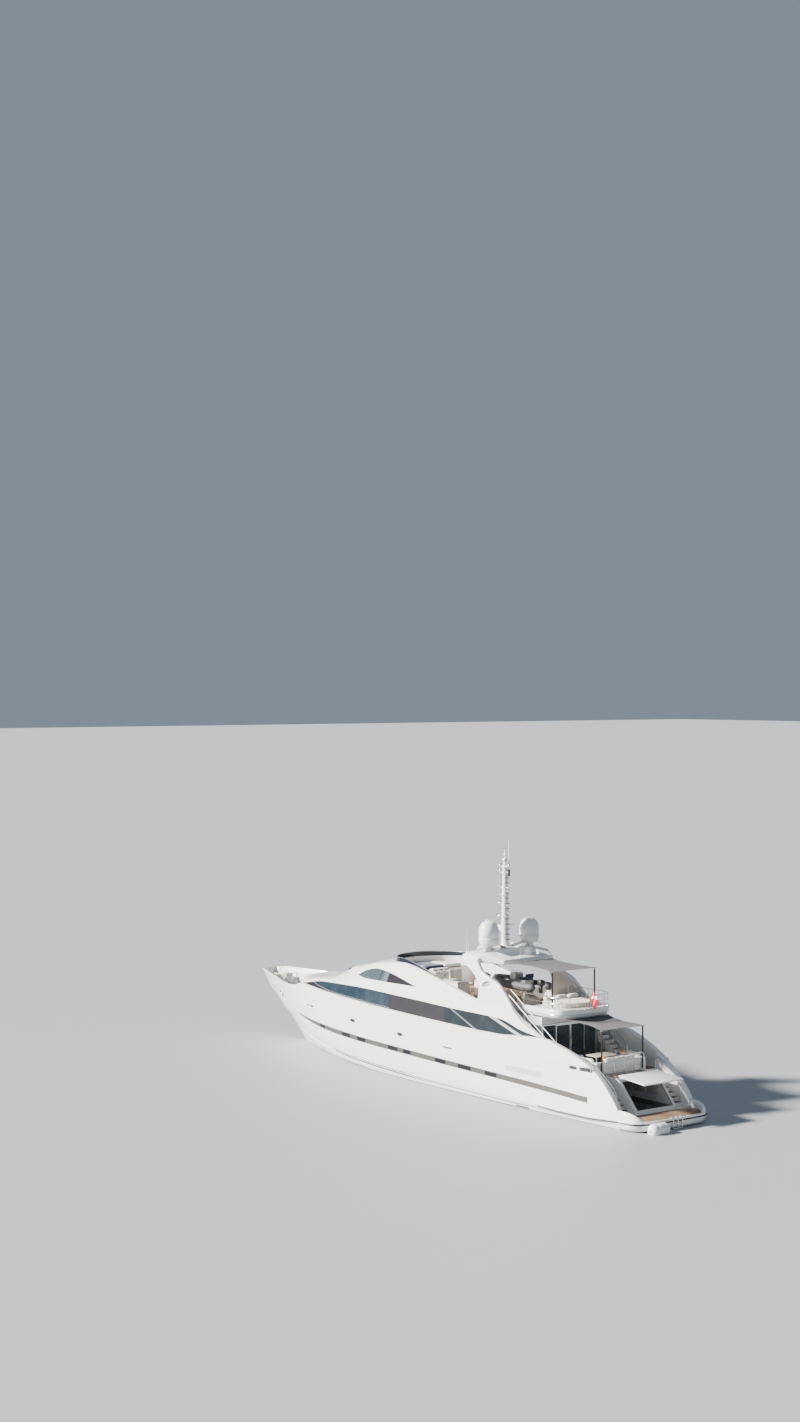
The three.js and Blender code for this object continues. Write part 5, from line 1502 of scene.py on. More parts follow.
    def eyes(self) -> None:
        """Eye-shaped wheelhouse windows with their mullion and dark rim."""
        clear_end, mullion = 1.83, 2.67
        for label, sign in SIDES:
            for part, x0, x1, finish in (("clear", clear_end, 5.16, "clear_glass"),
                                         ("dark", -0.96, clear_end - 0.005, "border")):
                made = self.eye_plate(x0, x1, -self.pane_set, self.pane).on(sign)
                replaced = (f"wheelhouse_glass_{label}",) if part == "clear" else ()
                self.works.piece(f"eye_window_{part}_{label}", made, finish, Slot.GLASS, replaces=replaced)
        path = [(x, self.form.y_at(x, z) - 0.004, z) for x, z in self.eye_line()]
        rims = Shape().tube([*path, path[0]], 0.014, 6)
        for x, half in ((mullion, 0.05), (clear_end, 0.03)):
            rims.join(self.eye_plate(x - half, x + half, -0.004, 0.04, half))
        self.works.piece("eye_window_rims", rims.twice(), "gasket", Slot.GLASS)

    def windscreen(self) -> None:
        """Raked windscreen of the wheelhouse with its wipers."""
        plan = smooth(self.screen_plan[:4], 4)
        back = smooth(list(reversed(self.screen_plan[3:])), 4)

        def limits(y: float) -> Flat:
            """Aft and forward end of the screen at a half breadth."""
            front = float(np.interp(y, [p[1] for p in plan], [p[0] for p in plan]))
            rear = float(np.interp(y, [p[1] for p in back], [p[0] for p in back]))
            return rear + 0.002, front - 0.002

        grid, under = [], []
        for y in spread(-1.89, 1.89, 0.15):
            low, high = limits(abs(y))
            row = [(x, y, self.form.z_at(x, y) - self.pane_set) for x in np.linspace(low, max(high, low + 0.01), 8)]
            grid.append(row)
            under.append([(x, y, z - self.pane) for x, _, z in row])
        self.works.piece("windscreen_glass", Shape().plate(grid, under), "glass", Slot.GLASS, replaces=("windscreen",))
        wipers = Shape()
        for y in (-0.95, 0.0, 0.95):
            root, tip = (8.22, y), (7.25, y + 0.35)
            line = [(root[0] + (tip[0] - root[0]) * t, root[1] + (tip[1] - root[1]) * t) for t in spread(0, 1, 0.25)]
            wipers.tube([(x, v, self.form.z_at(x, v) + 0.035) for x, v in line], 0.012, 6)
            wipers.ball((root[0] + 0.03, root[1], self.form.z_at(*root) + 0.02), 0.04, 10)
        self.works.piece("windscreen_wipers", wipers, "black", Slot.STEEL)

    def coachroof(self) -> None:
        """Low roof ahead of the deckhouse."""
        rows = Curve([(10.88, 2.43, 4.30, 4.66), (11.6, 2.20, 4.27, 4.61), (12.15, 1.72, 4.23, 4.54),
                      (12.5, 1.15, 4.19, 4.47), (12.68, 0.50, 4.15, 4.39)])
        rings = []
        for x in spread(10.88, 12.68, 0.1):
            half, edge, crown = (float(v) for v in rows.at(x))
            rise = crown - edge
            side = [(half, FOREDECK), (half - 0.01, edge - 0.25), (half - 0.02, edge)]
            roof = smooth([(half - 0.02, edge), (half * 0.85, edge + rise * 0.55), (half * 0.5, edge + rise * 0.9),
                           (0.0, crown)], 4)[1:]
            rings.append(station(x, [*side, *roof], slice(-1)))
        self.works.piece("coachroof_shell", Shape().loft(rings), "gelcoat", Slot.GELCOAT, replaces=("coachroof",))

    def fly_screen(self) -> None:
        """Tinted screen round the front of the flybridge, with its chrome edge and feet."""
        rows = [(-2.4, 2.56, 6.05, 0.06), (-1.2, 2.52, 6.27, 0.16), (0.6, 2.40, 6.48, 0.25)]
        rows += [(x, y, self.form.z_at(x, y) - 0.02, h) for x, y, h in (
            (1.44, 2.27, 0.28), (2.07, 2.02, 0.29), (2.56, 1.56, 0.30), (2.84, 0.90, 0.30), (2.945, 0.0, 0.30))]
        line = smooth([*rows, *[(x, -y, z, h) for x, y, z, h in reversed(rows[:-1])]], 5)
        lean, foot, thick = 0.35, 0.10, 0.012
        front, back, edge, feet = [], [], [], Shape()
        for i, (x, y, z, high) in enumerate(line):
            before, after = line[max(i - 1, 0)], line[min(i + 1, len(line) - 1)]
            along = Vector((after[0] - before[0], after[1] - before[1], 0)).normalized()
            out = Vector((along.y, -along.x, 0)) * (-1 if along.cross(Vector((-x, -y, 0))).z < 0 else 1)
            out = out if out.dot(Vector((x + 2.0, y, 0))) > 0 else -out
            bottom = Vector((x, y, z)) + out * (0.015 - foot * lean) - Vector((0, 0, foot))
            top = Vector((x, y, z)) + out * (0.015 - lean * high) + Vector((0, 0, high))
            steps = [bottom + (top - bottom) * t for t in (0, 0.35, 0.7, 1)]
            front.append(steps)
            back.append([p - out * thick for p in steps])
            edge.append(top)
            if i % 6 == 3:
                middle = bottom + (top - bottom) * 0.45
                feet.tube([bottom + out * 0.03, middle + out * 0.02], 0.012, 6)
        self.works.piece("fly_screen_glass", Shape().plate(front, back), "screen_glass", Slot.GLASS,
                         replaces=("fly_windscreen",))
        self.works.piece("fly_screen_edge", Shape().tube(edge, 0.016, 8).join(feet), "steel", Slot.STEEL)

    def inside(self) -> None:
        """Pale posts and furniture that show through the glass."""
        posts = Shape()
        for x in (8.34, 7.17, 6.01, 4.65, 4.26, 3.59, 3.21, 2.77, 2.11, -0.5, -2.2):
            y = self.form.y_at(x, 4.2) - 0.26
            posts.block((x - 0.035, y - 0.05, 2.30), (x + 0.035, y + 0.03, 4.66))
        self.works.piece("saloon_posts", posts.twice(), "inner_gelcoat", Slot.GELCOAT)
        units = Shape()
        for x0, x1, depth, top in ((-7.6, -4.4, 0.7, 2.95), (-3.0, 0.0, 0.6, 3.15), (1.2, 5.8, 0.55, 3.2)):
            y = self.form.y_at(x0, 3.8) - 0.35
            units.block((x0, y - depth, 2.262), (x1, y, top))
        self.works.piece("saloon_cabinets", units.twice(), "joinery", Slot.TEAK, bevel=0.02)
        bulkhead = Shape().block((6.0, -2.0, 2.262), (6.06, 2.0, 4.69))
        bulkhead.block((-0.2, -1.4, 2.262), (-0.14, 1.4, 4.69))
        self.works.piece("saloon_bulkheads", bulkhead, "joinery", Slot.TEAK)
        console = Shape().block((6.2, -1.5, 4.60), (6.9, 1.5, 4.95)).block((2.5, -1.6, 4.58), (6.9, 1.6, 4.62))
        console.block((6.0, -1.2, 4.62), (6.45, 1.2, 5.12))
        self.works.piece("wheelhouse_console", console, "dark", Slot.GELCOAT, bevel=0.03)


# Upholstery


def drawn_in(outline: Sequence[Flat], margin: float) -> list[Flat]:
    """Closed outline drawn in by a margin, square to each of its sides."""
    if not margin:
        return list(outline)
    points = [np.array(p, float) for p in outline]
    area = sum(a[0] * b[1] - b[0] * a[1] for a, b in zip(points, [*points[1:], points[0]])) / 2
    turn = math.copysign(margin, area)
    moved = []
    for i, here in enumerate(points):
        before = here - points[i - 1]
        after = points[(i + 1) % len(points)] - here
        before, after = before / max(np.linalg.norm(before), 1e-9), after / max(np.linalg.norm(after), 1e-9)
        normal = np.array((-before[1] - after[1], before[0] + after[0]))
        normal = normal / max(np.linalg.norm(normal), 1e-9)
        reach = turn / max(0.35, float(normal @ np.array((-after[1], after[0]))))
        moved.append(tuple(here + normal * reach))
    return moved


def rounded(outline: Sequence[Flat], radius: float, steps: int = 4) -> list[Flat]:
    """Closed outline with every corner rounded by an arc-like curve."""
    line: list[Flat] = []
    for i, here in enumerate(outline):
        p, a, b = (np.array(q, float) for q in (here, outline[i - 1], outline[(i + 1) % len(outline)]))
        reach_a = min(radius, float(np.linalg.norm(a - p)) * 0.49)
        reach_b = min(radius, float(np.linalg.norm(b - p)) * 0.49)
        start = p + (a - p) / max(np.linalg.norm(a - p), 1e-9) * reach_a
        end = p + (b - p) / max(np.linalg.norm(b - p), 1e-9) * reach_b
        for t in np.linspace(0, 1, steps + 1):
            line.append(tuple((1 - t) ** 2 * start + 2 * t * (1 - t) * p + t * t * end))
    return line


def slab(outline: Sequence[Flat], low: float, high: float, ease: float, soft_foot: bool = False) -> Shape:
    """Plate on a plan outline with eased upper edges.

    Args:
        outline: its plan.
        low: height of its underside.
        high: height of its top.
        ease: radius of the upper edges.
        soft_foot: whether the lower edges are eased too.

    Returns:
        The plate.
    """
    def level(z: float, margin: float) -> list[Point]:
        """Outline at a height, drawn in by a margin."""
        return [(x, y, z) for x, y in drawn_in(outline, margin)]

    rings = []
    if soft_foot:
        rings += [level(low, ease * 0.8), level(low + ease * 0.3, ease * 0.25), level(low + ease, 0)]
    else:
        rings.append(level(low, 0))
    rings += [level(high - ease, 0), level(high - ease * 0.3, ease * 0.3), level(high, ease)]
    return Shape().loft(rings)


def box_plan(x0: float, x1: float, y0: float, y1: float, radius: float = 0.06) -> list[Flat]:
    """Rectangle with rounded corners."""
    return rounded([(x0, y0), (x1, y0), (x1, y1), (x0, y1)], radius, 3)


@dataclass
class Upholstery:
    """Sews cushions: eased blocks, swollen by a cloth simulation, with piping and seams laid on them."""

    works: Works
    pressure: float = 4.0
    frames: int = 16

    def swollen(self, shape: Shape, voxel: float, cap: float, floor: float) -> Any:
        """Mesh of cushions under pressure.

        Args:
            shape: the cushions as they are cut, a little small.
            voxel: size of the grid that they are remeshed to.
            cap: farthest that a point may move.
            floor: height of what they lie on.

        Returns:
            The finished mesh.
        """
        data = self.works.melted(shape, voxel, 3)
        scene = bpy.context.scene
        body = bpy.data.objects.new("work", data)
        scene.collection.objects.link(body)
        cloth = body.modifiers.new("cloth", "CLOTH").settings
        cloth.use_pressure = True
        cloth.uniform_pressure_force = self.pressure
        cloth.effector_weights.gravity = 0.0
        cloth.quality = 4
        for frame in range(1, self.frames + 1):
            scene.frame_set(frame)
        blown = body.evaluated_get(bpy.context.evaluated_depsgraph_get()).data
        count = len(data.vertices)
        start, end = np.empty(count * 3), np.empty(count * 3)
        data.vertices.foreach_get("co", start)
        blown.vertices.foreach_get("co", end)
        start, move = start.reshape(-1, 3), (end - start).reshape(-1, 3)
        far = np.linalg.norm(move, axis=1, keepdims=True)
        place = start + move * np.minimum(1.0, cap / np.maximum(far, 1e-9))
        place[:, 2] = np.maximum(place[:, 2], floor)
        scene.frame_set(1)
        bpy.data.objects.remove(body)
        data.vertices.foreach_set("co", place.ravel())
        data.update()
        return data

    def sew(self, name: str, blocks: Sequence[Shape], finish: str, floor: float, replaces: Sequence[str] = (),
            voxel: float = 0.042, cap: float = 0.028, welts: Sequence[Sequence[Point]] = (), fill: float = 0.8,
            piping: str = "piping") -> None:
        """Makes cushions and their welts.

        Args:
            name: the piece's name.
            blocks: the cushions.
            finish: name of their finish.
            floor: height of what they lie on.
            replaces: nodes that they stand for.
            voxel: size of the grid.
            cap: farthest that the cloth may swell.
            welts: closed lines near the surface that a corded seam follows.
            fill: how tight they are filled, not used.
            piping: finish of the seams.
        """
        data = self.swollen(Shape().join(*blocks), voxel, cap, floor)
        work = bmesh.new()
        work.from_mesh(data)
        tree = BVHTree.FromBMesh(work)
        work.free()
        made = self.works.piece(name, data, finish, Slot.CUSHION, replaces=replaces, angle=60, rounds=1)
        seams = Shape()
        for line in welts:
            ends = [*line, line[0]]
            fine = [Vector(a).lerp(Vector(b), t) for a, b in zip(ends, ends[1:]) for t in (0, 0.5)]
            path = [tree.find_nearest(p)[0] for p in fine]
            seams.tube([*path, path[0]], 0.007, 5)
        if welts:
            self.works.piece(name + "_welts", seams, piping, Slot.CUSHION)

    @staticmethod
    def pillow(half: float, ease: float, turn: Matrix, spot: Point) -> Shape:
        """Square scatter cushion.

        Args:
            half: half its thickness.
            ease: radius of its edges.
            turn: how it is turned.
            spot: where its centre lies.

        Returns:
            The cushion.
        """
        flat = slab(box_plan(-0.21, 0.21, -0.21, 0.21, 0.05), -half, half, ease, True)
        return flat.mapped(lambda p: turn @ Vector(p) + Vector(spot))

    @staticmethod
    def welt(outline: Sequence[Flat], z: float, ease: float) -> list[Point]:
        """Seam line round the upper edge of a cushion."""
        return [(x, y, z - ease * 0.35) for x, y in drawn_in(outline, ease * 0.30)]


# Radar arch


@dataclass
class Arch:
    """Radar arch with its hardtop, domes, mast and scanner."""

    works: Works
    leg: tuple[Flat, ...] = ((-9.60, 5.06), (-8.59, 5.97), (-8.16, 6.29), (-7.31, 6.58), (-6.70, 6.85), (-6.35, 7.30),
                             (-6.30, 7.48), (-4.70, 7.48), (-5.25, 7.08), (-6.01, 6.60), (-6.40, 6.15), (-6.48, 5.06))
    plan: tuple[Flat, ...] = ((-7.65, 0.02), (-7.62, 0.90), (-7.50, 1.76), (-6.95, 2.03), (-6.5, 2.30), (-6.1, 2.62),
                              (-5.8, 2.69), (-5.0, 2.69), (-4.7, 2.45), (-4.4, 1.30), (-4.32, 0.6), (-4.30, 0.02))
    crown: tuple[Flat, ...] = ((2.70, 7.38), (2.64, 7.56), (2.35, 7.74), (1.30, 7.88), (0.0, 7.95))
    stations: tuple[tuple[float, ...], ...] = ((-8.0, 0.52, 0.08), (-6.3, 0.06, 0.0), (-5.2, 0.0, 0.06),
                                              (-4.0, 0.33, 0.04))
    under: float = 7.25
    dome_x: float = -5.80
    dome_y: float = 1.45
    dome_radius: float = 0.565
    mast_x: float = -5.44
    mast_radius: float = 0.21
    scanner_x: float = -4.53

    def build(self) -> None:
        """Makes every piece of the arch."""
        self.body()
        self.trim()
        self.domes()
        self.wing()
        self.mast()
        self.lights()
        self.scanner()

    def top_at(self, x: float, y: float) -> float:
        """Height of the hardtop's upper side."""
        drop = float(np.interp(x, [s[0] for s in self.stations], [s[1] for s in self.stations]))
        curve = Curve([(p[0], p[1]) for p in self.crown])
        return curve.value(abs(y)) - drop

    def roof(self) -> Shape:
        """Hardtop with a rounded edge."""
        xs = [p[0] for p in self.plan]
        halves = [p[1] for p in self.plan]
        rings = []
        for x in sorted({*xs, *spread(xs[0], xs[-1], 0.12)}):
            half = float(np.interp(x, xs, halves))
            low = self.under - float(np.interp(x, [s[0] for s in self.stations], [s[2] for s in self.stations]))
            edge = max(self.top_at(x, half), low + 0.07)
            lean = min(0.06, half * 0.4)
            line = [(0.0, low), (half * 0.5, low), (half - lean, low), (half - lean * 0.3, low + 0.02),
                    (half, low + 0.05), (half, edge - 0.03)]
            line += [(half * t, max(self.top_at(x, half * t), low + 0.08)) for t in (0.985, 0.93, 0.8, 0.6, 0.4, 0.2)]
            line.append((0.0, max(self.top_at(x, 0), low + 0.08)))
            rings.append(station(x, line, slice(1, -1)))
        return Shape().loft(rings)

    @staticmethod
    def leg_side(z: float) -> float:
        """Outer side of a leg at a height, drawn out to the coaming at its foot."""
        return 2.80 - (z - 5.2) * 0.055 + 0.05 * min(1.0, max(0.0, (5.75 - z) / 0.5))

    def legs(self) -> Shape:
        """Legs with rounded edges."""
        outline = smooth([*self.leg, self.leg[0]], 4, (0, 6, 7, 11))[:-1]
        rings = []
        for depth, margin in ((0.0, 0.06), (0.02, 0.02), (0.06, 0.0), (0.19, 0.0), (0.23, 0.02), (0.25, 0.06)):
            rings.append([(x, self.leg_side(z) - 0.25 + depth, z) for x, z in drawn_in(outline, margin)])
        return Shape().loft(rings).twice()

    def body(self) -> None:
        """Legs and hardtop moulded in one."""
        mesh = self.works.melted(Shape().join(self.roof(), self.legs()), 0.042, 5)
        well = rounded([(-7.25, -1.05), (-6.22, -1.50), (-6.22, 1.50), (-7.25, 1.05)], 0.12, 4)
        mesh = self.works.carve(mesh, [Shape().prism(2, well, 7.42, SKY)])
        self.works.piece("arch_moulding", mesh, "gelcoat", Slot.GELCOAT, replaces=("radar_arch",), angle=70)

    def trim(self) -> None:
        """Courtesy lights on the legs and downlights under the roof."""
        x, z = -7.15, 6.22
        y = self.leg_side(z)
        ring = [(x + 0.38 * math.cos(a), y + 0.012, z + 0.14 * math.sin(a) - 0.1 * math.cos(a)) for a in angles(20)]
        back = [(px, y - 0.03, pz) for px, _, pz in ring]
        dome = [(x + (px - x) * 0.6, y + 0.03, z + (pz - z) * 0.6) for px, _, pz in ring]
        self.works.piece("arch_lights", Shape().loft([back, ring, dome]).twice(), "steel", Slot.STEEL)
        lamps = Shape()
        for x in (-7.0, -6.0, -5.0):
            for y in (0.6, 1.6):
                lamps.lathe([(0.0, 0.0), (0.07, 0.0), (0.07, 0.02), (0.0, 0.03)], (x, y, self.under - 0.075))
        self.works.piece("hardtop_lamps", lamps.twice(), "lamp", Slot.ALLOY)

    def domes(self) -> None:
        """Domes on curved pedestals."""
        r = self.dome_radius
        for label, side in SIDES:
            y = side * self.dome_y
            foot = self.top_at(self.dome_x, y) - 0.05
            waist, crown = 8.84, 9.47
            shell = [(0.0, 8.15), (r * 0.80, 8.15), (r * 0.90, 8.17), (r * 0.965, 8.25), (r, 8.42), (r, 8.52),
                     (r * 0.988, 8.526), (r * 0.988, 8.54), (r, 8.546), (r, waist)]
            for a in np.linspace(0, math.pi / 2, 12)[1:]:
                shell.append((r * math.cos(a) ** 0.9 if a < 1.57 else 0.0, waist + (crown - waist) * math.sin(a)))
            made = Shape().lathe(shell, (self.dome_x, y, 0), sides=48)
            self.works.piece(f"dome_{label}", made, "dome", Slot.DOME, replaces=(f"satellite_dome_{label}",), angle=50)
            stand = [(0.0, foot), (0.36, foot), (0.28, foot + 0.06), (0.22, foot + 0.18), (0.22, foot + 0.26),
                     (0.30, 8.06), (0.44, 8.12), (0.46, 8.155), (0.0, 8.155)]
            post = Shape().lathe(stand, (self.dome_x, y, 0), sides=32)
            for k in range(6):
                a = math.pi / 3 * k
                spot = (self.dome_x + 0.32 * math.cos(a), y + 0.32 * math.sin(a), foot + 0.045)
                post.lathe([(0.0, 0.0), (0.022, 0.0), (0.022, 0.02), (0.0, 0.022)], spot, sides=6)
            self.works.piece(f"dome_stand_{label}", post, "alloy", Slot.ALLOY, angle=40)

    def wing(self) -> None:
        """Thin gull wing from the foot of the mast out under the domes."""
        rows = ((0.0, 7.80, -5.30, -6.10), (0.22, 7.84, -5.35, -6.10), (0.62, 8.03, -5.42, -6.15),
                (0.90, 8.10, -5.42, -6.17),
                (1.45, 8.125, -5.42, -6.17), (1.90, 8.09, -5.52, -6.12), (2.25, 7.99, -5.72, -5.98))
        line = smooth([*[(-y, z, a, b) for y, z, a, b in reversed(rows[1:])], *rows], 4)
        rings = []
        for y, z, a, b in line:
            chord = [(a, 0.0), (a - 0.03, 0.02), ((a + b) / 2, 0.035), (b + 0.03, 0.012), (b, 0.0), (b + 0.03, -0.012),
                     ((a + b) / 2, -0.02), (a - 0.03, -0.015)]
            rings.append([(x, y, z + up) for x, up in chord])
        self.works.piece("dome_wing", Shape().loft(rings), "gelcoat", Slot.GELCOAT, angle=50)

    def mast(self) -> None:
        """Tapered mast with its foot, brackets, ladder rungs and radar arm."""
        x, r = self.mast_x, self.mast_radius
        foot = 7.80
        profile = [(0.0, foot), (r * 2.0, foot), (r * 1.7, foot + 0.08), (r * 1.2, foot + 0.2), (r, foot + 0.36),
                   (r * 0.86, 10.4), (r * 0.62, 12.45), (r * 0.36, 12.7), (r * 0.22, 12.8), (r * 0.19, 13.22),
                   (0.0, 13.24)]
        pole = Shape().lathe(profile, (x, 0, 0), sides=28)
        nose = self.scanner_x + 0.2
        bracket = [(x, 8.70), (x, 9.06), (nose, 9.06), (nose, 8.99)]
        pole.prism(1, bracket, -0.13, 0.13)
        pole.lathe([(0.16, 9.04), (0.15, 9.10), (0.135, 9.175)], (self.scanner_x, 0, 0), sides=24)
        wing = [(0.0, 9.02), (0.0, 9.13), (-0.64, 9.11), (-0.64, 9.07)]
        pole.prism(0, wing, x - 0.06, x + 0.06)
        for z, reach in ((10.20, 0.30), (11.15, 0.32), (12.0, 0.36), (12.33, 0.34)):
            outline = box_plan(x - reach, x + reach, -0.06, 0.06, 0.03)
            pole.join(slab(outline, z, z + 0.06, 0.012))
        for z in (8.45, 9.55, 10.75):
            pole.lathe([(r * 1.12, z), (r * 1.12, z + 0.05)], (x, 0, 0), sides=28)
        self.works.piece("mast_tube", pole, "alloy", Slot.ALLOY, replaces=("mast",), angle=40)
        rungs = Shape()
        for z in spread(8.3, 12.3, 0.29):
            width = 0.16 - 0.05 * (z - 8.3) / 4
            near = r * (1 - 0.13 * (z - 8.16) / 2.24) if z < 10.4 else r * 0.7
            path = [(x - near * 0.6, -width, z), (x - near - 0.06, -width, z), (x - near - 0.06, width, z),
                    (x - near * 0.6, width, z)]
            rungs.tube(path, 0.02, 6)
        self.works.piece("mast_rungs", rungs, "gunmetal", Slot.STEEL)

    def lights(self) -> None:
        """Floodlights, navigation lights, horns and aerials."""
        x = self.mast_x
        bodies, glass, dark = Shape(), Shape(), Shape()
        for z, side, way in ((10.26, 1, 1), (11.21, 1, 1), (12.06, 1, 1), (12.39, 1, 1), (12.39, -1, -1)):
            spot, aim = Vector((x + way * 0.24, 0.0, z + 0.07)), (way * 0.9, side * 0.3, -0.3)
            bodies.lathe([(0.0, 0.0), (0.05, 0.0), (0.085, 0.10), (0.085, 0.13)], spot, aim, 18)
            glass.lathe([(0.0, 0.125), (0.078, 0.125), (0.06, 0.14), (0.0, 0.145)], spot, aim, 18)
            bodies.tube([spot, spot - Vector((0, 0, 0.07))], 0.014, 6)
        for z, reach in ((13.22, 0.0), (9.72, 0.30), (10.92, 0.30)):
            spot = (x - reach, 0, z)
            bodies.lathe([(0.0, 0.0), (0.05, 0.0), (0.05, 0.04), (0.0, 0.04)], spot, sides=16)
            glass.lathe([(0.0, 0.04), (0.045, 0.04), (0.045, 0.13), (0.0, 0.14)], spot, sides=16)
            dark.lathe([(0.0, 0.14), (0.05, 0.14), (0.04, 0.165), (0.0, 0.17)], spot, sides=16)
            if reach:
                bodies.tube([(x, 0, z - 0.012), (x - reach, 0, z - 0.012)], 0.014, 6)
        horn = [(0.016, 0.0), (0.02, 0.18), (0.045, 0.30), (0.085, 0.36), (0.07, 0.355), (0.0, 0.28)]
        for y in (-0.16, 0.16):
            bodies.lathe(horn, (x + 0.10, y, 9.62), (1, 0, 0), 16)
            bodies.tube([(x, 0, 9.62), (x + 0.12, y, 9.62)], 0.014, 6)
        dark.tube([(x - 0.33, 0, 11.83), (x - 0.33, 0, 12.22)], 0.065, 14)
        dark.ball((x - 0.105, 0.075, 12.72), 0.05, 14)
        glass.ball((x, 0.0, 12.72), 0.15, 20)
        glass.ball((x, 0.0, 13.02), 0.085, 18)
        self.works.piece("mast_lamps", bodies, "steel", Slot.STEEL)
        self.works.piece("mast_lamp_glass", glass, "lamp", Slot.ALLOY)
        self.works.piece("mast_lamp_caps", dark, "black", Slot.ALLOY)
        path = [(x - 0.10, -0.03, 12.36), (x - 0.20, -0.12, 12.38), (x - 0.20, -0.12, 12.5), (x - 0.20, -0.12, 13.85)]
        whips = Shape().tube(path, 0.038, 8, 0.022)
        for ax, ay, high in ((-4.75, 2.2, 1.35), (-4.75, -2.2, 1.35), (-5.1, 2.35, 0.7), (-5.1, -2.35, 0.7),
                             (-7.42, 0.55, 0.5), (-7.42, -0.55, 0.9)):
            foot = self.top_at(ax, ay) - 0.02
            whips.lathe([(0.0, 0.0), (0.045, 0.0), (0.045, 0.03), (0.018, 0.09), (0.0, 0.10)], (ax, ay, foot), sides=12)
            whips.tube([(ax, ay, foot + 0.05), (ax, ay, foot + high)], 0.010, 6, 0.004)
        for ax, ay in ((-4.9, 1.0), (-4.9, -1.0)):
            foot = self.top_at(ax, ay) - 0.02
            whips.lathe([(0.0, 0.0), (0.05, 0.0), (0.04, 0.10), (0.10, 0.14), (0.10, 0.18), (0.06, 0.22), (0.0, 0.23)],
                        (ax, ay, foot), sides=20)
        self.works.piece("aerials", whips, "dome", Slot.DOME)

    def scanner(self) -> None:
        """Radar scanner turning on its head."""
        x, z = self.scanner_x, 9.26
        outline = smooth([(-0.09, -0.045), (0.06, -0.055), (0.09, 0.0), (0.08, 0.055), (-0.06, 0.07), (-0.09, 0.03),
                          (-0.09, -0.045)], 3)[:-1]
        tips = ((0.65, 0.55), (0.64, 0.85), (0.60, 1.0), (0.3, 1.0))
        sizes = [*[(-y, size) for y, size in tips], (0.0, 1.0), *reversed(tips)]
        rings = [[(x + u * size, y, z + w * size) for u, w in outline] for y, size in sizes]
        made = Shape().loft(rings)
        made.lathe([(0.0, 9.1805), (0.11, 9.1805), (0.105, 9.2), (0.09, 9.25)], (x, 0, 0), sides=24)
        self.works.piece("scanner_bar", made, "dome", Slot.DOME, body="radar_scanner", replaces=("radar_scanner",))


# Flybridge


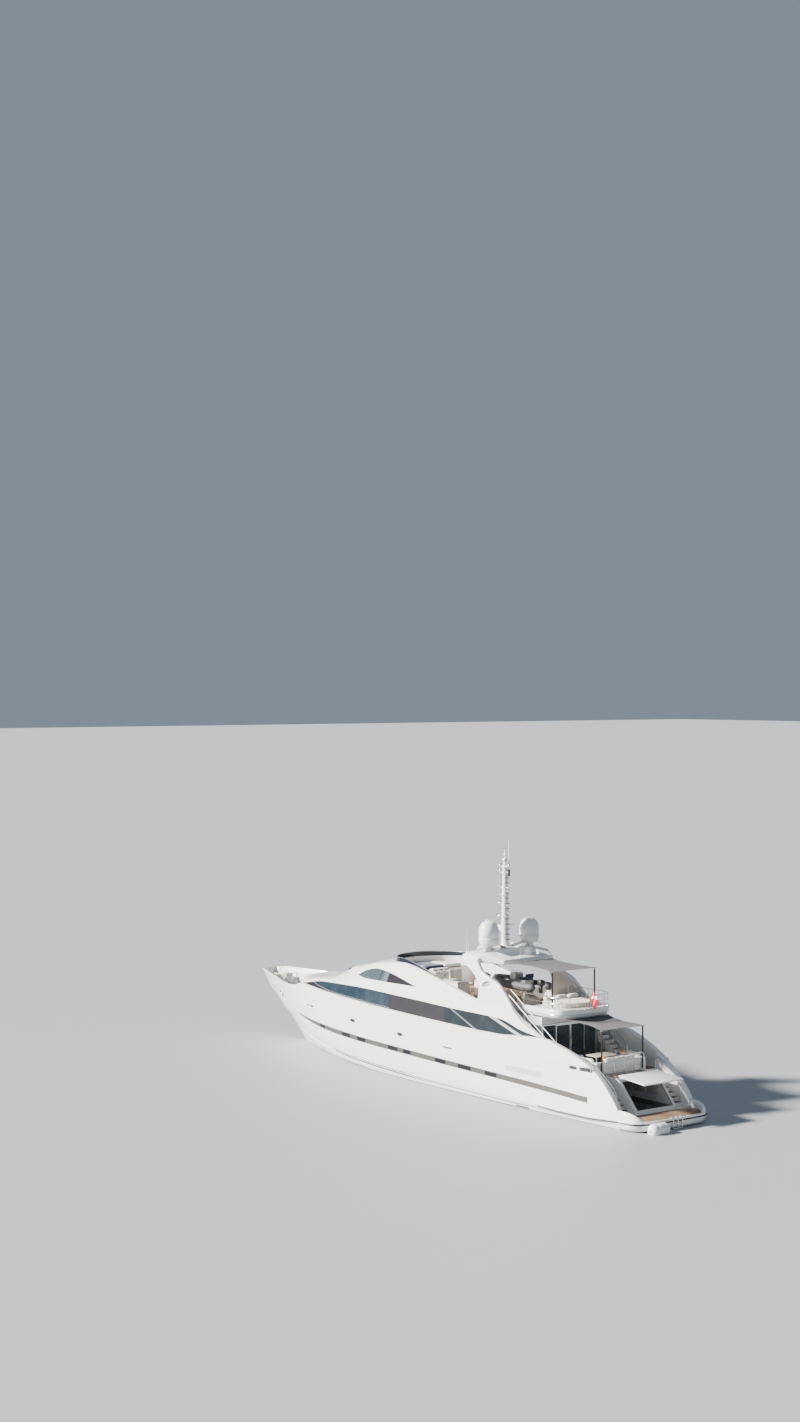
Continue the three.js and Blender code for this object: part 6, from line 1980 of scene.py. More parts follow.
@dataclass
class Flybridge:
    """Open deck with its furniture, tender, aft sunbathing deck, rails and ensign."""

    works: Works
    sewing: Upholstery
    house: HouseForm
    tub: tuple[Flat, ...] = ((-8.4003, 1.99), (-11.2, 1.99), (-11.7, 1.95), (-12.05, 1.80), (-12.30, 1.45),
                             (-12.42, 1.0), (-12.50, 0.5), (-12.52, 0.0))
    pad_front: float = -9.9
    pad_base: float = 5.3

    def build(self) -> None:
        """Makes every piece of the flybridge."""
        self.floors()
        self.aft_deck()
        self.aft_pads()
        self.forward_pads()
        self.helm()
        self.lounge()
        self.bar()
        self.tender()
        self.rails()
        self.ensign()

    def floors(self) -> None:
        """Laid teak of the deck and its raised forward part."""
        edge = [(x, self.house.row(x)[2][0] - 0.27) for x in spread(-8.39, 0.58, 0.3)]
        deck = Shape().prism(2, both(edge), FLY_DECK + 0.001, FLY_DECK + LAID)
        deck.block((-9.88, -1.83, FLY_DECK + 0.001), (-8.41, 1.83, FLY_DECK + LAID))
        plan = [(x, y - 0.02) for x, y in smooth(((0.62, 2.27), (1.23, 2.2), (1.79, 2.06), (2.28, 1.7), (2.63, 1.15),
                                                   (2.80, 0.5)), 4)]
        deck.prism(2, both(plan), FLY_PODIUM + 0.001, FLY_PODIUM + LAID)
        steps, count, end, going = Shape(), 4, 0.60, 0.28
        for k in range(count):
            z = FLY_DECK + 0.2 * (k + 1)
            x = end - going * (count - k)
            deck.block((x, 1.45, z - 0.02), (end - going * (count - 1 - k), 2.15, z))
            steps.block((x, 1.45, FLY_DECK + LAID), (end, 2.15, z - 0.02))
        self.works.piece("fly_teak", deck, "teak", Slot.TEAK)
        self.works.piece("fly_steps", steps, "inner_gelcoat", Slot.GELCOAT, bevel=0.01)

    def aft_deck(self) -> None:
        """Rounded tub of the aft sunbathing deck."""
        plan = both(smooth(self.tub, 4, (1,)))
        levels = ((4.79, 0.20), (4.80, 0.165), (4.84, 0.10), (4.91, 0.04), (5.0, 0.006), (5.08, 0.0), (5.24, 0.0),
                  (5.275, 0.008), (5.295, 0.025), (5.30, 0.05))
        rings = []
        for z, margin in levels:
            rings.append([(min(x, self.tub[0][0]), y, z) for x, y in drawn_in(plan, margin)])
        body = Shape().loft(rings)
        well = Shape().block((self.pad_front, -1.84, FLY_DECK), (0.0, 1.84, SKY))
        mesh = self.works.carve(body, [well])
        self.works.piece("fly_tub", mesh, "gelcoat", Slot.GELCOAT, replaces=("aft_fly_deck",), angle=40)
        line = [(x, y, 5.02) for x, y in drawn_in(plan, -0.004) if x < -8.6]
        self.works.piece("fly_tub_trim", Shape().tube(line, 0.014, 8), "steel", Slot.STEEL)
        lamps = Shape()
        for x in (-9.2, -10.2, -11.2):
            for y in (-1.0, 0.0, 1.0):
                lamps.lathe([(0.0, -0.02), (0.05, -0.02), (0.06, 0.0), (0.0, 0.0)], (x, y, 4.79), sides=20)
        self.works.piece("fly_tub_lamps", lamps, "lamp", Slot.ALLOY)

    def aft_pads(self) -> None:
        """Round sunpad in three mattresses with a bolster."""
        z = self.pad_base
        base = smooth(((-11.60, 1.25), (-11.85, 1.06), (-12.0, 0.6), (-12.05, 0.0)), 4)
        outline = [(-9.97, 1.24), (-11.2, 1.25), *base]
        whole = both(outline)
        blocks, welts = [], []
        for y0, y1 in ((-1.25, -0.425), (-0.415, 0.415), (0.425, 1.25)):
            part = rounded(clipped(whole, 1, y0, y1), 0.10, 2)
            blocks.append(slab(drawn_in(part, 0.012), z + 0.004, z + 0.235, 0.07, True))
            welts.append(self.sewing.welt(part, z + 0.25, 0.07))
        self.sewing.sew("aft_sunpad", blocks, "cream", z + 0.001, ("aft_fly_pad",), welts=welts)
        bolsters = [slab(box_plan(-10.36, -10.02, y - 0.36, y + 0.36, 0.12), z + 0.265, z + 0.43, 0.08, True)
                    for y in (-0.84, 0.0, 0.84)]
        self.sewing.sew("aft_bolsters", bolsters, "cream", z + 0.25, voxel=0.025, cap=0.02)

    def forward_pads(self) -> None:
        """Sunpads ahead of the helm, one of them navy."""
        z = FLY_PODIUM
        outline = smooth(((0.82, 1.96), (1.5, 1.93), (2.02, 1.70), (2.42, 1.15), (2.62, 0.0)), 4)
        whole = both(outline)
        for tone, finish, seam, names, spans in (
            ("white", "white_cloth", "piping", ("forward_fly_pad",), ((-1.97, -0.66), (0.66, 1.97))),
            ("navy", "navy", "navy", (), ((-0.65, 0.65),)),
        ):
            blocks, welts = [], []
            for y0, y1 in spans:
                part = rounded(clipped(whole, 1, y0, y1), 0.10, 2)
                blocks.append(slab(drawn_in(part, 0.012), z + 0.014, z + 0.205, 0.06, True))
                welts.append(self.sewing.welt(part, z + 0.215, 0.06))
            self.sewing.sew(f"forward_sunpad_{tone}", blocks, finish, z + 0.013, names, welts=welts, piping=seam)

    def helm(self) -> None:
        """Outside helm with wheel, screens and a double seat."""
        y0, y1 = 0.25, 1.45
        up = FLY_DECK
        outline = smooth([(-0.30, up + 0.01), (-0.30, up + 1.05), (-0.36, up + 1.20), (-0.52, up + 1.285),
                          (-0.72, up + 1.20), (-1.0, up + 0.98), (-1.0, up + 0.70), (-0.86, up + 0.45),
                          (-0.86, up + 0.01)], 3, (0, 8))
        console = Shape().prism(1, outline, y0 + 0.02, y1 - 0.02)
        console.join(slab(box_plan(-2.2, -0.9, y0, y1, 0.08), up + LAID, up + 0.06, 0.02))
        console.join(slab(box_plan(-1.95, -1.65, y0 + 0.40, y1 - 0.40, 0.06), up + 0.05, up + 0.47, 0.02))
        self.works.piece("helm_console", console, "inner_gelcoat", Slot.GELCOAT, replaces=("fly_helm",), bevel=0.02)
        dash = Shape()
        for v in (0.45, 0.85, 1.25):
            low, high = v - 0.15, v + 0.15
            dash.loft([[(x, low, z + up), (x, high, z + up), (x + 0.02, high, under + up), (x + 0.02, low, under + up)]
                       for x, z, under in ((-0.70, 1.222, 1.192), (-0.97, 1.024, 0.99))])
        self.works.piece("helm_screens", dash, "port_glass", Slot.GLASS)
        wheel = Shape()
        centre = Vector((-1.10, 0.85, up + 0.93))
        lean = Vector((-0.82, 0, 0.57)).normalized()
        side, top = Vector((0, 1, 0)), lean.cross(Vector((0, 1, 0)))
        ring = [centre + (side * math.cos(a) + top * math.sin(a)) * 0.23 for a in angles(28)]
        wheel.tube(ring, 0.017, 8, loop=True)
        for k in range(3):
            a = math.pi * (0.5 + 2 * k / 3)
            wheel.tube([centre, centre + (side * math.cos(a) + top * math.sin(a)) * 0.23], 0.012, 6)
        wheel.tube([centre + lean * 0.02, centre - lean * 0.16], 0.045, 12)
        for dy in (0.36, 0.44):
            wheel.tube([(-0.98, 0.85 + dy, up + 1.0), (-1.04, 0.85 + dy, up + 1.11)], 0.012, 6)
            wheel.ball((-1.045, 0.85 + dy, up + 1.12), 0.026, 10)
        self.works.piece("helm_wheel", wheel, "steel", Slot.STEEL)
        places = ((y0 + 0.12, 0.84), (0.86, y1 - 0.12))
        pads = [slab(box_plan(-1.98, -1.52, low, high, 0.07), up + 0.475, up + 0.60, 0.04, True)
                for low, high in places]
        for low, high in places:
            back = slab(box_plan(0.0, 0.78, low, high, 0.08), 0.0, 0.10, 0.035, True)
            pads.append(back.mapped(lambda p: (-2.17 + p[2] + p[0] * 0.09, p[1], up + 0.62 + p[0])))
        self.sewing.sew("helm_seat", pads, "cream", up + 0.47, voxel=0.022, cap=0.014)

    def lounge(self) -> None:
        """Lounge along starboard with its table."""
        up = FLY_DECK
        base = Shape()
        for span, radius, top in (((-4.30, -0.80, -2.25, -1.50), 0.08, 0.33),
                                  ((-4.30, -3.52, -2.25, -0.62), 0.08, 0.33),
                                  ((-4.48, -0.82, -2.40, -2.22), 0.05, 0.42)):
            base.join(slab(box_plan(*span, radius), up + LAID, up + top, 0.02))
        self.works.piece("lounge_base", base, "inner_gelcoat", Slot.GELCOAT, replaces=("fly_lounge",))
        seats, backs = [], []
        for x0, x1 in ((-3.45, -2.58), (-2.56, -1.70), (-1.68, -0.82)):
            seats.append(slab(box_plan(x0, x1, -2.20, -1.47, 0.09), up + 0.335, up + 0.465, 0.045, True))
            back = slab(box_plan(x0, x1, 0.0, 0.40, 0.09), 0.0, 0.13, 0.045, True)
            backs.append(back.mapped(lambda p: (p[0], -2.39 + p[2] + (0.4 - p[1]) * 0.10, up + 0.45 + p[1])))
        for y0, y1 in ((-2.20, -1.42), (-1.40, -0.64)):
            seats.append(slab(box_plan(-4.26, -3.48, y0, y1, 0.09), up + 0.335, up + 0.465, 0.045, True))
            back = slab(box_plan(0.0, 0.40, y0, y1, 0.09), 0.0, 0.13, 0.045, True)
            backs.append(back.mapped(lambda p: (-4.46 + p[2] + (0.4 - p[0]) * 0.10, p[1], up + 0.45 + p[0])))
        self.sewing.sew("lounge_cushions", [*seats, *backs], "cream", up + 0.33, voxel=0.032, cap=0.018)
        scatter = []
        for k, (x, y) in enumerate(((-3.9, -2.02), (-2.2, -2.10), (-1.2, -2.08))):
            turn = Matrix.Rotation(0.5 * (k - 1), 4, "Z") @ Matrix.Rotation(math.radians(68), 4, "X")
            scatter.append(self.sewing.pillow(0.05, 0.045, turn, (x, y, up + 0.70)))
        self.sewing.sew("lounge_pillows", scatter, "navy", up + 0.45, voxel=0.02, cap=0.02, fill=0.6)
        table = slab(box_plan(-3.0, -1.6, -1.25, -0.65, 0.12), up + 0.70, up + 0.74, 0.012)
        self.works.piece("lounge_table", table, "teak_rail", Slot.TEAK)
        legs = Shape()
        for x in (-2.7, -1.9):
            legs.lathe([(0.0, 0.012), (0.17, 0.012), (0.15, 0.03), (0.045, 0.05), (0.045, 0.69), (0.10, 0.70),
                        (0.0, 0.70)], (x, -0.95, up), sides=24)
        self.works.piece("lounge_table_legs", legs, "steel", Slot.STEEL)

    def bar(self) -> None:
        """Bar with sink, grill lid and stools."""
        up = FLY_DECK
        body = slab(box_plan(-3.9, -2.5, 1.35, 2.15, 0.05), up + LAID, up + 0.90, 0.01)
        self.works.piece("bar_body", body, "inner_gelcoat", Slot.GELCOAT, replaces=("fly_bar",))
        top = slab(box_plan(-3.95, -2.45, 1.30, 2.20, 0.10), up + 0.90, up + 0.945, 0.012)
        self.works.piece("bar_top", top, "grey_gelcoat", Slot.GELCOAT)
        metal = slab(box_plan(-3.8, -3.25, 1.45, 2.05, 0.06), up + 0.945, up + 1.0, 0.03)
        metal.tube([(-3.85, 1.33, up + 0.70), (-3.85, 1.28, up + 0.70), (-2.55, 1.28, up + 0.70),
                    (-2.55, 1.33, up + 0.70)], 0.014, 8)
        metal.tube([(-2.75, 1.9, up + 0.94), (-2.75, 1.9, up + 1.18), (-2.72, 1.82, up + 1.22),
                    (-2.70, 1.72, up + 1.17)], 0.012, 8)
        for x in (-3.5, -2.9):
            metal.lathe([(0.0, 0.012), (0.20, 0.012), (0.19, 0.03), (0.03, 0.05), (0.03, 0.66), (0.12, 0.67),
                         (0.0, 0.68)], (x, 0.95, up), sides=24)
            metal.tube([(x - 0.12, 0.95, up + 0.25), (x, 1.07, up + 0.25), (x + 0.12, 0.95, up + 0.25),
                        (x, 0.83, up + 0.25), (x - 0.12, 0.95, up + 0.25)], 0.010, 6)
        self.works.piece("bar_metal", metal, "steel", Slot.STEEL)
        seats = [slab([(x + 0.19 * math.cos(a), 0.95 + 0.19 * math.sin(a)) for a in angles(24)], up + 0.685, up + 0.755,
                      0.03, True) for x in (-3.5, -2.9)]
        self.sewing.sew("bar_stool_seats", seats, "white_cloth", up + 0.68, voxel=0.018, cap=0.01)

    def tender(self) -> None:
        """Tender on its chocks: tube, hull, console, seat, engine and straps."""
        y, half, r, z = 0.25, 0.62, 0.225, 6.02
        tail, nose = -8.75, -4.95
        side = [(tail, y + half, z), (tail + 0.05, y + half, z), (nose - 1.3, y + half, z),
                (nose - 0.5, y + half * 0.75, z + 0.06)]
        other = [(px, 2 * y - py, pz) for px, py, pz in reversed(side)]
        collar = smooth([*side, (nose - r, y, z + 0.12), *other], 6)
        tube = Shape().tube(collar, r, 20)
        for s in (-1, 1):
            tube.lathe([(r, 0.0), (r * 0.85, 0.10), (r * 0.5, 0.19), (0.0, 0.23)], (tail, y + s * half, z), (-1, 0, 0),
                       20)
        self.works.piece("tender_tube", tube, "rubber", Slot.TENDER, replaces=("tender",), angle=60)
        strakes = Shape()
        for s in (-1, 1):
            line = [(px, py + s * (r + 0.004), pz - 0.02) for px, py, pz in smooth(side, 6)[:-4]]
            strakes.tube([(px, y + s * (half + r + 0.002) if px < nose - 1.3 else py, pz) for px, py, pz in line][:12],
                         0.022, 6)
        for x in (-8.0, -7.0, -6.2):
            for s in (-1, 1):
                top = Vector((x, y + s * (half - 0.02), z + r + 0.004))
                strakes.tube([top + Vector((-0.14, 0, -0.004)), top + Vector((-0.09, 0, 0.035)),
                              top + Vector((0.09, 0, 0.035)), top + Vector((0.14, 0, -0.004))], 0.012, 6)
        self.works.piece("tender_strakes", strakes, "black", Slot.TENDER)
        rings = []
        for x, w, low, high in ((tail + 0.03, half, 5.39, z + 0.06), (-7.6, half, 5.36, z + 0.06),
                                (nose - 1.5, half, 5.33, z + 0.06), (nose - 1.0, half * 0.8, 5.42, z + 0.07),
                                (nose - 0.7, half * 0.55, 5.56, z + 0.08), (nose - 0.3, 0.12, z - 0.2, z + 0.09)):
            chine = z - 0.12
            rings.append([(x, y, low), (x, y + w * 0.5, low + (chine - low) * 0.42), (x, y + w, chine),
                          (x, y + w, high),
                          (x, y + w * 0.5, high - 0.05), (x, y, high - 0.05), (x, y - w * 0.5, high - 0.05),
                          (x, y - w, high), (x, y - w, chine), (x, y - w * 0.5, low + (chine - low) * 0.42)])
        self.works.piece("tender_hull", Shape().loft(rings), "inner_gelcoat", Slot.GELCOAT, angle=50)
        console = slab(rounded([(-7.0, y - 0.30), (-6.45, y - 0.26), (-6.45, y + 0.26), (-7.0, y + 0.30)], 0.08), z,
                       6.60, 0.06)
        console.join(slab(box_plan(-7.85, -7.25, y - 0.32, y + 0.32, 0.08), z, 6.30, 0.03))
        self.works.piece("tender_console", console, "grey_gelcoat", Slot.GELCOAT)
        seat = [slab(box_plan(-7.85, -7.25, y - 0.32, y + 0.32, 0.08), 6.305, 6.42, 0.04, True)]
        back = slab(box_plan(0.0, 0.26, y - 0.30, y + 0.30, 0.06), 0.0, 0.09, 0.03, True)
        seat.append(back.mapped(lambda p: (-7.90 + p[2] * 0.9, p[1], 6.40 + p[0])))
        self.sewing.sew("tender_seat", seat, "navy", 6.30, voxel=0.018, cap=0.012)
        metal = Shape()
        wheel = [(-7.08 - 0.05 * math.sin(a), y + 0.15 * math.cos(a), 6.55 + 0.14 * math.sin(a)) for a in angles(24)]
        metal.tube(wheel, 0.011, 6, loop=True)
        metal.tube([(-7.08, y, 6.55), (-6.98, y, 6.53)], 0.02, 8)
        metal.tube([(-6.5, y - 0.22, 6.55), (-6.55, y - 0.20, 6.69), (-6.55, y + 0.20, 6.69), (-6.5, y + 0.22, 6.55)],
                   0.012, 8)
        self.works.piece("tender_metal", metal, "steel", Slot.STEEL)
        motor = slab(box_plan(-9.0, -8.66, y - 0.17, y + 0.17, 0.10), 6.08, 6.42, 0.09, True)
        motor.join(slab(box_plan(-8.90, -8.74, y - 0.07, y + 0.07, 0.04), 5.70, 6.12, 0.02))
        self.works.piece("tender_engine", motor, "black", Slot.IRON)
        chocks = Shape()
        for x in (-8.0, -6.4):
            outline = [(-0.60, FLY_DECK + LAID), (0.60, FLY_DECK + LAID), (0.60, 5.16), (0.52, 5.62), (0.42, 5.62),
                       (0.0, 5.35), (-0.42, 5.62), (-0.52, 5.62), (-0.60, 5.16)]
            chocks.prism(0, [(y + u, w) for u, w in outline], x - 0.05, x + 0.05)
        self.works.piece("tender_chocks", chocks, "grey_gelcoat", Slot.GELCOAT, bevel=0.01)
        straps = Shape()
        for x in (-8.25, -6.0):
            line = [(x, y + 0.86, FLY_DECK + 0.02), (x, y + 0.87, 5.9), (x, y + 0.78, 6.20), (x, y + 0.55, 6.262),
                    (x, y, 6.262), (x, y - 0.55, 6.262), (x, y - 0.78, 6.20), (x, y - 0.87, 5.9),
                    (x, y - 0.86, FLY_DECK + 0.02)]
            fine = smooth(line, 3)
            straps.plate([[(p[0] - 0.02, p[1], p[2]), (p[0] + 0.02, p[1], p[2])] for p in fine],
                         [[(p[0] - 0.02, y + (p[1] - y) * 1.004, p[2] + 0.004), (p[0] + 0.02, y + (p[1] - y) * 1.004,
                                                                                   p[2] + 0.004)] for p in fine])
        self.works.piece("tender_straps", straps, "webbing", Slot.AWNING)

    def rails(self) -> None:
        """Rails round the tub and along the stair openings."""
        rails = Shape()
        top = 5.93
        line = [(x, y - 0.07) for x, y in smooth(self.tub, 3, (1,)) if x < -9.0]
        whole = both([(x + (0.07 if abs(y) < 1.5 else 0.0), y) for x, y in line])
        for z, radius in ((5.62, 0.011), (top, 0.019)):
            rails.tube([(x, y, z) for x, y in whole], radius, 8)
        for x, y in whole[::3]:
            rails.tube([(x, y, 5.29), (x, y, top)], 0.016, 8)
            rails.lathe([(0.0, 0.0), (0.04, 0.0), (0.035, 0.012), (0.0, 0.014)], (x, y, 5.298), sides=14)
        for s in (-1, 1):
            rails.tube([(-8.55, s * 1.95, FLY_DECK + 0.01), (-8.55, s * 1.95, top), (-9.1, s * 1.93, top)], 0.019, 8)
        self.works.piece("tub_rails", rails, "steel", Slot.STEEL)

    def ensign(self) -> None:
        """Ensign hanging from its raked staff."""
        x, z, rake, height = -12.33, 5.3003, -0.48, 1.0
        staff = Shape().tube([(x, 0, z), (x + rake, 0, z + height)], 0.021, 12, 0.015)
        staff.ball((x + rake, 0, z + height + 0.02), 0.028, 12)
        staff.lathe([(0.0, 0.0), (0.06, 0.0), (0.05, 0.03), (0.03, 0.06), (0.0, 0.06)], (x, 0, z), sides=16)
        self.works.piece("ensign_pole", staff, "teak_rail", Slot.STEEL, replaces=("ensign_staff",))

        def cloth(u: float, v: float) -> Point:
            """Point of the cloth, u along the fly and v down the hoist."""
            t, droop = 0.95 - 0.53 * v, u ** 1.25
            sway = 0.055 * math.sin(2 * math.pi * (1.6 * u + 0.15 * v)) * min(1.0, u * 2.5)
            return (x + rake * t - 0.02 - 0.40 * u + 0.06 * droop * v, sway,
                    z + height * t - 0.46 * droop - 0.02 * math.sin(7 * u + v))

        front = [[cloth(i / 24, j / 16) for j in range(17)] for i in range(25)]
        back = [[(px, py + 0.002, pz) for px, py, pz in row] for row in front]
        flag = self.works.piece("ensign_flag", Shape().plate(front, back), "ensign", Slot.ENSIGN, replaces=("ensign",),
                                angle=60)
        area = area_of(front)
        log.info("ensign area %.3f m2", area)


def clipped(outline: Sequence[Flat], axis: int, low: float, high: float) -> list[Flat]:
    """Part of a closed outline between two lines across an axis."""
    def keep(points: list[Flat], edge: float, sign: float) -> list[Flat]:
        """Part of an outline on one side of a line."""
        result: list[Flat] = []
        for i, here in enumerate(points):
            before = points[i - 1]
            inside, was = sign * (here[axis] - edge) >= 0, sign * (before[axis] - edge) >= 0
            if inside != was:
                t = (edge - before[axis]) / (here[axis] - before[axis])
                result.append(tuple(b + (h - b) * t for b, h in zip(before, here)))
            if inside:
                result.append(here)
        return result

    part = keep(keep(list(outline), low, 1.0), high, -1.0)
    return [p for i, p in enumerate(part) if math.dist(p, part[i - 1]) > 0.02]


# Awnings


@dataclass
class Awning:
    """Stretched awning between a front edge and two poles."""

    works: Works
    name: str
    front: tuple[float, float, float]
    back: tuple[float, float, float]
    pole: tuple[float, float, float, float]
    thick: float = 0.004

    def cloth_at(self, t: float, v: float) -> Vector:
        """Point of the cloth, t from front to back and v from starboard, -1, to port, 1."""
        (x0, half0, z0), (x1, half1, z1) = self.front, self.back
        bow = math.sin(math.pi * t)
        half = (half0 + (half1 - half0) * t) * (1 - 0.22 * bow)
        hollow = 0.06 * (1 - v * v) * (1 if t > 0.5 else -1) * abs(2 * t - 1) ** 3
        sag = 0.12 * bow * (1 - v * v)
        return Vector((x0 + (x1 - x0) * t + hollow, half * v, z0 + (z1 - z0) * t - sag + 0.03))

    def build(self) -> None:
        """Makes the cloth, its hem and corner fittings, and the poles."""
        ts, vs = spread(0, 1, 0.04), spread(-1, 1, 0.1)
        top = [[self.cloth_at(t, v) for v in vs] for t in ts]
        under = [[p - Vector((0, 0, self.thick)) for p in row] for row in top]
        cloth = self.works.piece(f"{self.name}_awning_cloth", Shape().plate(top, under), "awning", Slot.AWNING,
                                 replaces=(f"{self.name}_awning",), angle=60)
        area = area_of(top)
        length = sum((q[10] - p[10]).length for p, q in zip(top, top[1:]))
        width = 2 * max(self.front[1], self.back[1])
        edge = [*top[0], *[row[-1] for row in top[1:]], *reversed(top[-1][:-1]),
                *[row[0] for row in reversed(top[1:-1])]]
        hem = Shape().tube([p - Vector((0, 0, self.thick / 2)) for p in edge], 0.009, 6, loop=True)
        for k in (0.33, 0.66):
            seam = [self.cloth_at(t, -1 + 2 * k) + Vector((0, 0, 0.0015)) for t in ts]
            hem.tube(seam, 0.003, 4)
        hem_piece = self.works.piece(f"{self.name}_awning_hem", hem, "webbing", Slot.AWNING)
        log.info("%s awning %.3f x %.3f m, %.3f m2", self.name, width, length, area)
        self.poles(top)

    def poles(self, cloth: Sequence[Sequence[Vector]]) -> None:
        """Dark poles with their feet, caps and lashings."""
        x, y, foot, high = self.pole
        poles, metal = Shape(), Shape()
        for side in (-1, 1):
            poles.tube([(x, side * y, foot), (x, side * y, high)], 0.045, 20)
            metal.lathe([(0.0, 0.0), (0.085, 0.0), (0.08, 0.02), (0.055, 0.05), (0.05, 0.10), (0.0, 0.10)],
                        (x, side * y, foot - 0.0002), sides=24)
            metal.lathe([(0.047, -0.03), (0.048, 0.01), (0.02, 0.03), (0.0, 0.032)], (x, side * y, high), sides=20)
            end = -1 if side > 0 else 0
            corner, front = cloth[-1][end], cloth[0][end]
            metal.tube([(x, side * y, high + 0.02), corner], 0.006, 6)
            metal.ball(front - Vector((0.01, 0, 0)), 0.022, 10)
            metal.ball(corner, 0.022, 10)
        self.works.piece(f"{self.name}_poles", poles, "carbon", Slot.CARBON,
                         replaces=(f"{self.name}_pole_port", f"{self.name}_pole_starboard"))
        self.works.piece(f"{self.name}_awning_fittings", metal, "steel", Slot.STEEL)


# Cockpit


@dataclass
class Cockpit:
    """Aft deck: glass bulkhead with its sliding doors, stairs to the flybridge, sofa, table and rail."""

    works: Works
    sewing: Upholstery
    door_top: float = 4.314
    steps: int = 13
    going: float = 0.345
    stair_top: float = -8.48
    inner: float = 2.02
    outer: float = 2.53

    def build(self) -> None:
        """Makes every piece of the aft deck."""
        self.bulkhead()
        for label, side in SIDES:
            self.door(label, side)
            self.stair(label, side)
        self.sofa()
        self.table()
        self.rail()

    def bulkhead(self) -> None:
        """Glass wall with its frames, header, track and returns."""
        frames, glass, white = Shape(), Shape(), Shape()
        x0, x1, top = BULKHEAD + 0.005, BULKHEAD + 0.065, 4.7895
        for s in (-1, 1):
            for y0, y1 in ((1.0, 1.05), (1.86, 1.91)):
                frames.block((x0, s * y0, MAIN_DECK), (x1, s * y1, 4.33))
            frames.block((x0, s * 1.05, MAIN_DECK), (x1, s * 1.86, MAIN_DECK + 0.10))
            glass.block((x0 + 0.02, s * 1.05, MAIN_DECK + 0.10), (x1 - 0.02, s * 1.86, 4.30))
            white.block((BULKHEAD, s * 1.91, MAIN_DECK), (ROOF_END - 0.006, s * 1.975, MAIN_DECK + 0.30))
            white.block((BULKHEAD, s * 1.91, 4.35), (ROOF_END - 0.006, s * 1.975, top))
            for x in spread(BULKHEAD, ROOF_END - 0.09, 0.62):
                frames.block((x, s * 1.915, MAIN_DECK + 0.30), (x + 0.05, s * 1.972, 4.35))
            glass.block((BULKHEAD + 0.05, s * 1.935, MAIN_DECK + 0.30), (ROOF_END - 0.09, s * 1.955, 4.35))
            white.block((ROOF_END - 0.076, s * 1.91, MAIN_DECK), (ROOF_END - 0.006, s * 2.78, 4.60))
        white.block((BULKHEAD, -1.91, 4.39), (BULKHEAD + 0.07, 1.91, top))
        frames.block((x0, -1.91, 4.30), (x1, 1.91, 4.39))
        self.works.piece("bulkhead_frames", frames, "brushed", Slot.STEEL, replaces=("aft_bulkhead",), bevel=0.006)
        self.works.piece("bulkhead_glass", glass, "clear_glass", Slot.GLASS)
        self.works.piece("bulkhead_mouldings", white, "gelcoat", Slot.GELCOAT, bevel=0.012)
        track = Shape().block((BULKHEAD - 0.075, -1.98, 4.3205), (BULKHEAD + 0.004, 1.98, 4.39))
        self.works.piece("door_track", track, "steel", Slot.STEEL, bevel=0.008)
        doors, knobs = Shape(), Shape()
        for s in (-1, 1):
            doors.prism(0, rounded([(s * 2.05, 2.30), (s * 2.72, 2.30), (s * 2.72, 4.1), (s * 2.05, 4.1)], 0.08, 4),
                        ROOF_END - 0.084, ROOF_END - 0.070)
            knobs.tube([(ROOF_END - 0.085, s * 2.13, 3.2), (ROOF_END - 0.13, s * 2.13, 3.2),
                        (ROOF_END - 0.13, s * 2.25, 3.2)], 0.012, 8)
        self.works.piece("side_doors", doors, "inner_gelcoat", Slot.GELCOAT, bevel=0.004)
        self.works.piece("side_door_handles", knobs, "steel", Slot.STEEL)

    def door(self, label: str, side: float) -> None:
        """Sliding door with its frame, pane, pull and hangers."""
        body = f"saloon_door_{label}"
        x0, x1 = BULKHEAD - 0.05, BULKHEAD - 0.01
        low, high = MAIN_DECK + 0.007, self.door_top
        frame = Shape()
        for y0, y1, z0, z1 in ((0.004, 0.062, low, high), (0.962, 1.02, low, high), (0.062, 0.962, low, low + 0.09),
                               (0.062, 0.962, high - 0.06, high)):
            frame.block((x0, side * y0, z0), (x1, side * y1, z1))
        for y in (0.154, 0.870):
            frame.block((x0 + 0.004, side * (y - 0.04), high - 0.01), (x1 - 0.004, side * (y + 0.04), 4.3197))
        self.works.piece(f"door_frame_{label}", frame, "steel", Slot.STEEL, body=body, replaces=(body,), bevel=0.004)
        pane = Shape().block((x0 + 0.014, side * 0.058, low + 0.086), (x1 - 0.014, side * 0.966, high - 0.056))
        self.works.piece(f"door_pane_{label}", pane, "clear_glass", Slot.GLASS, body=body)
        pull = Shape().tube([(x0, side * 0.035, 3.05), (x0 - 0.05, side * 0.035, 3.08), (x0 - 0.05, side * 0.035, 3.47),
                   (x0, side * 0.035, 3.50)], 0.011, 8)
        self.works.piece(f"door_pull_{label}", pull, "steel", Slot.STEEL, body=body)

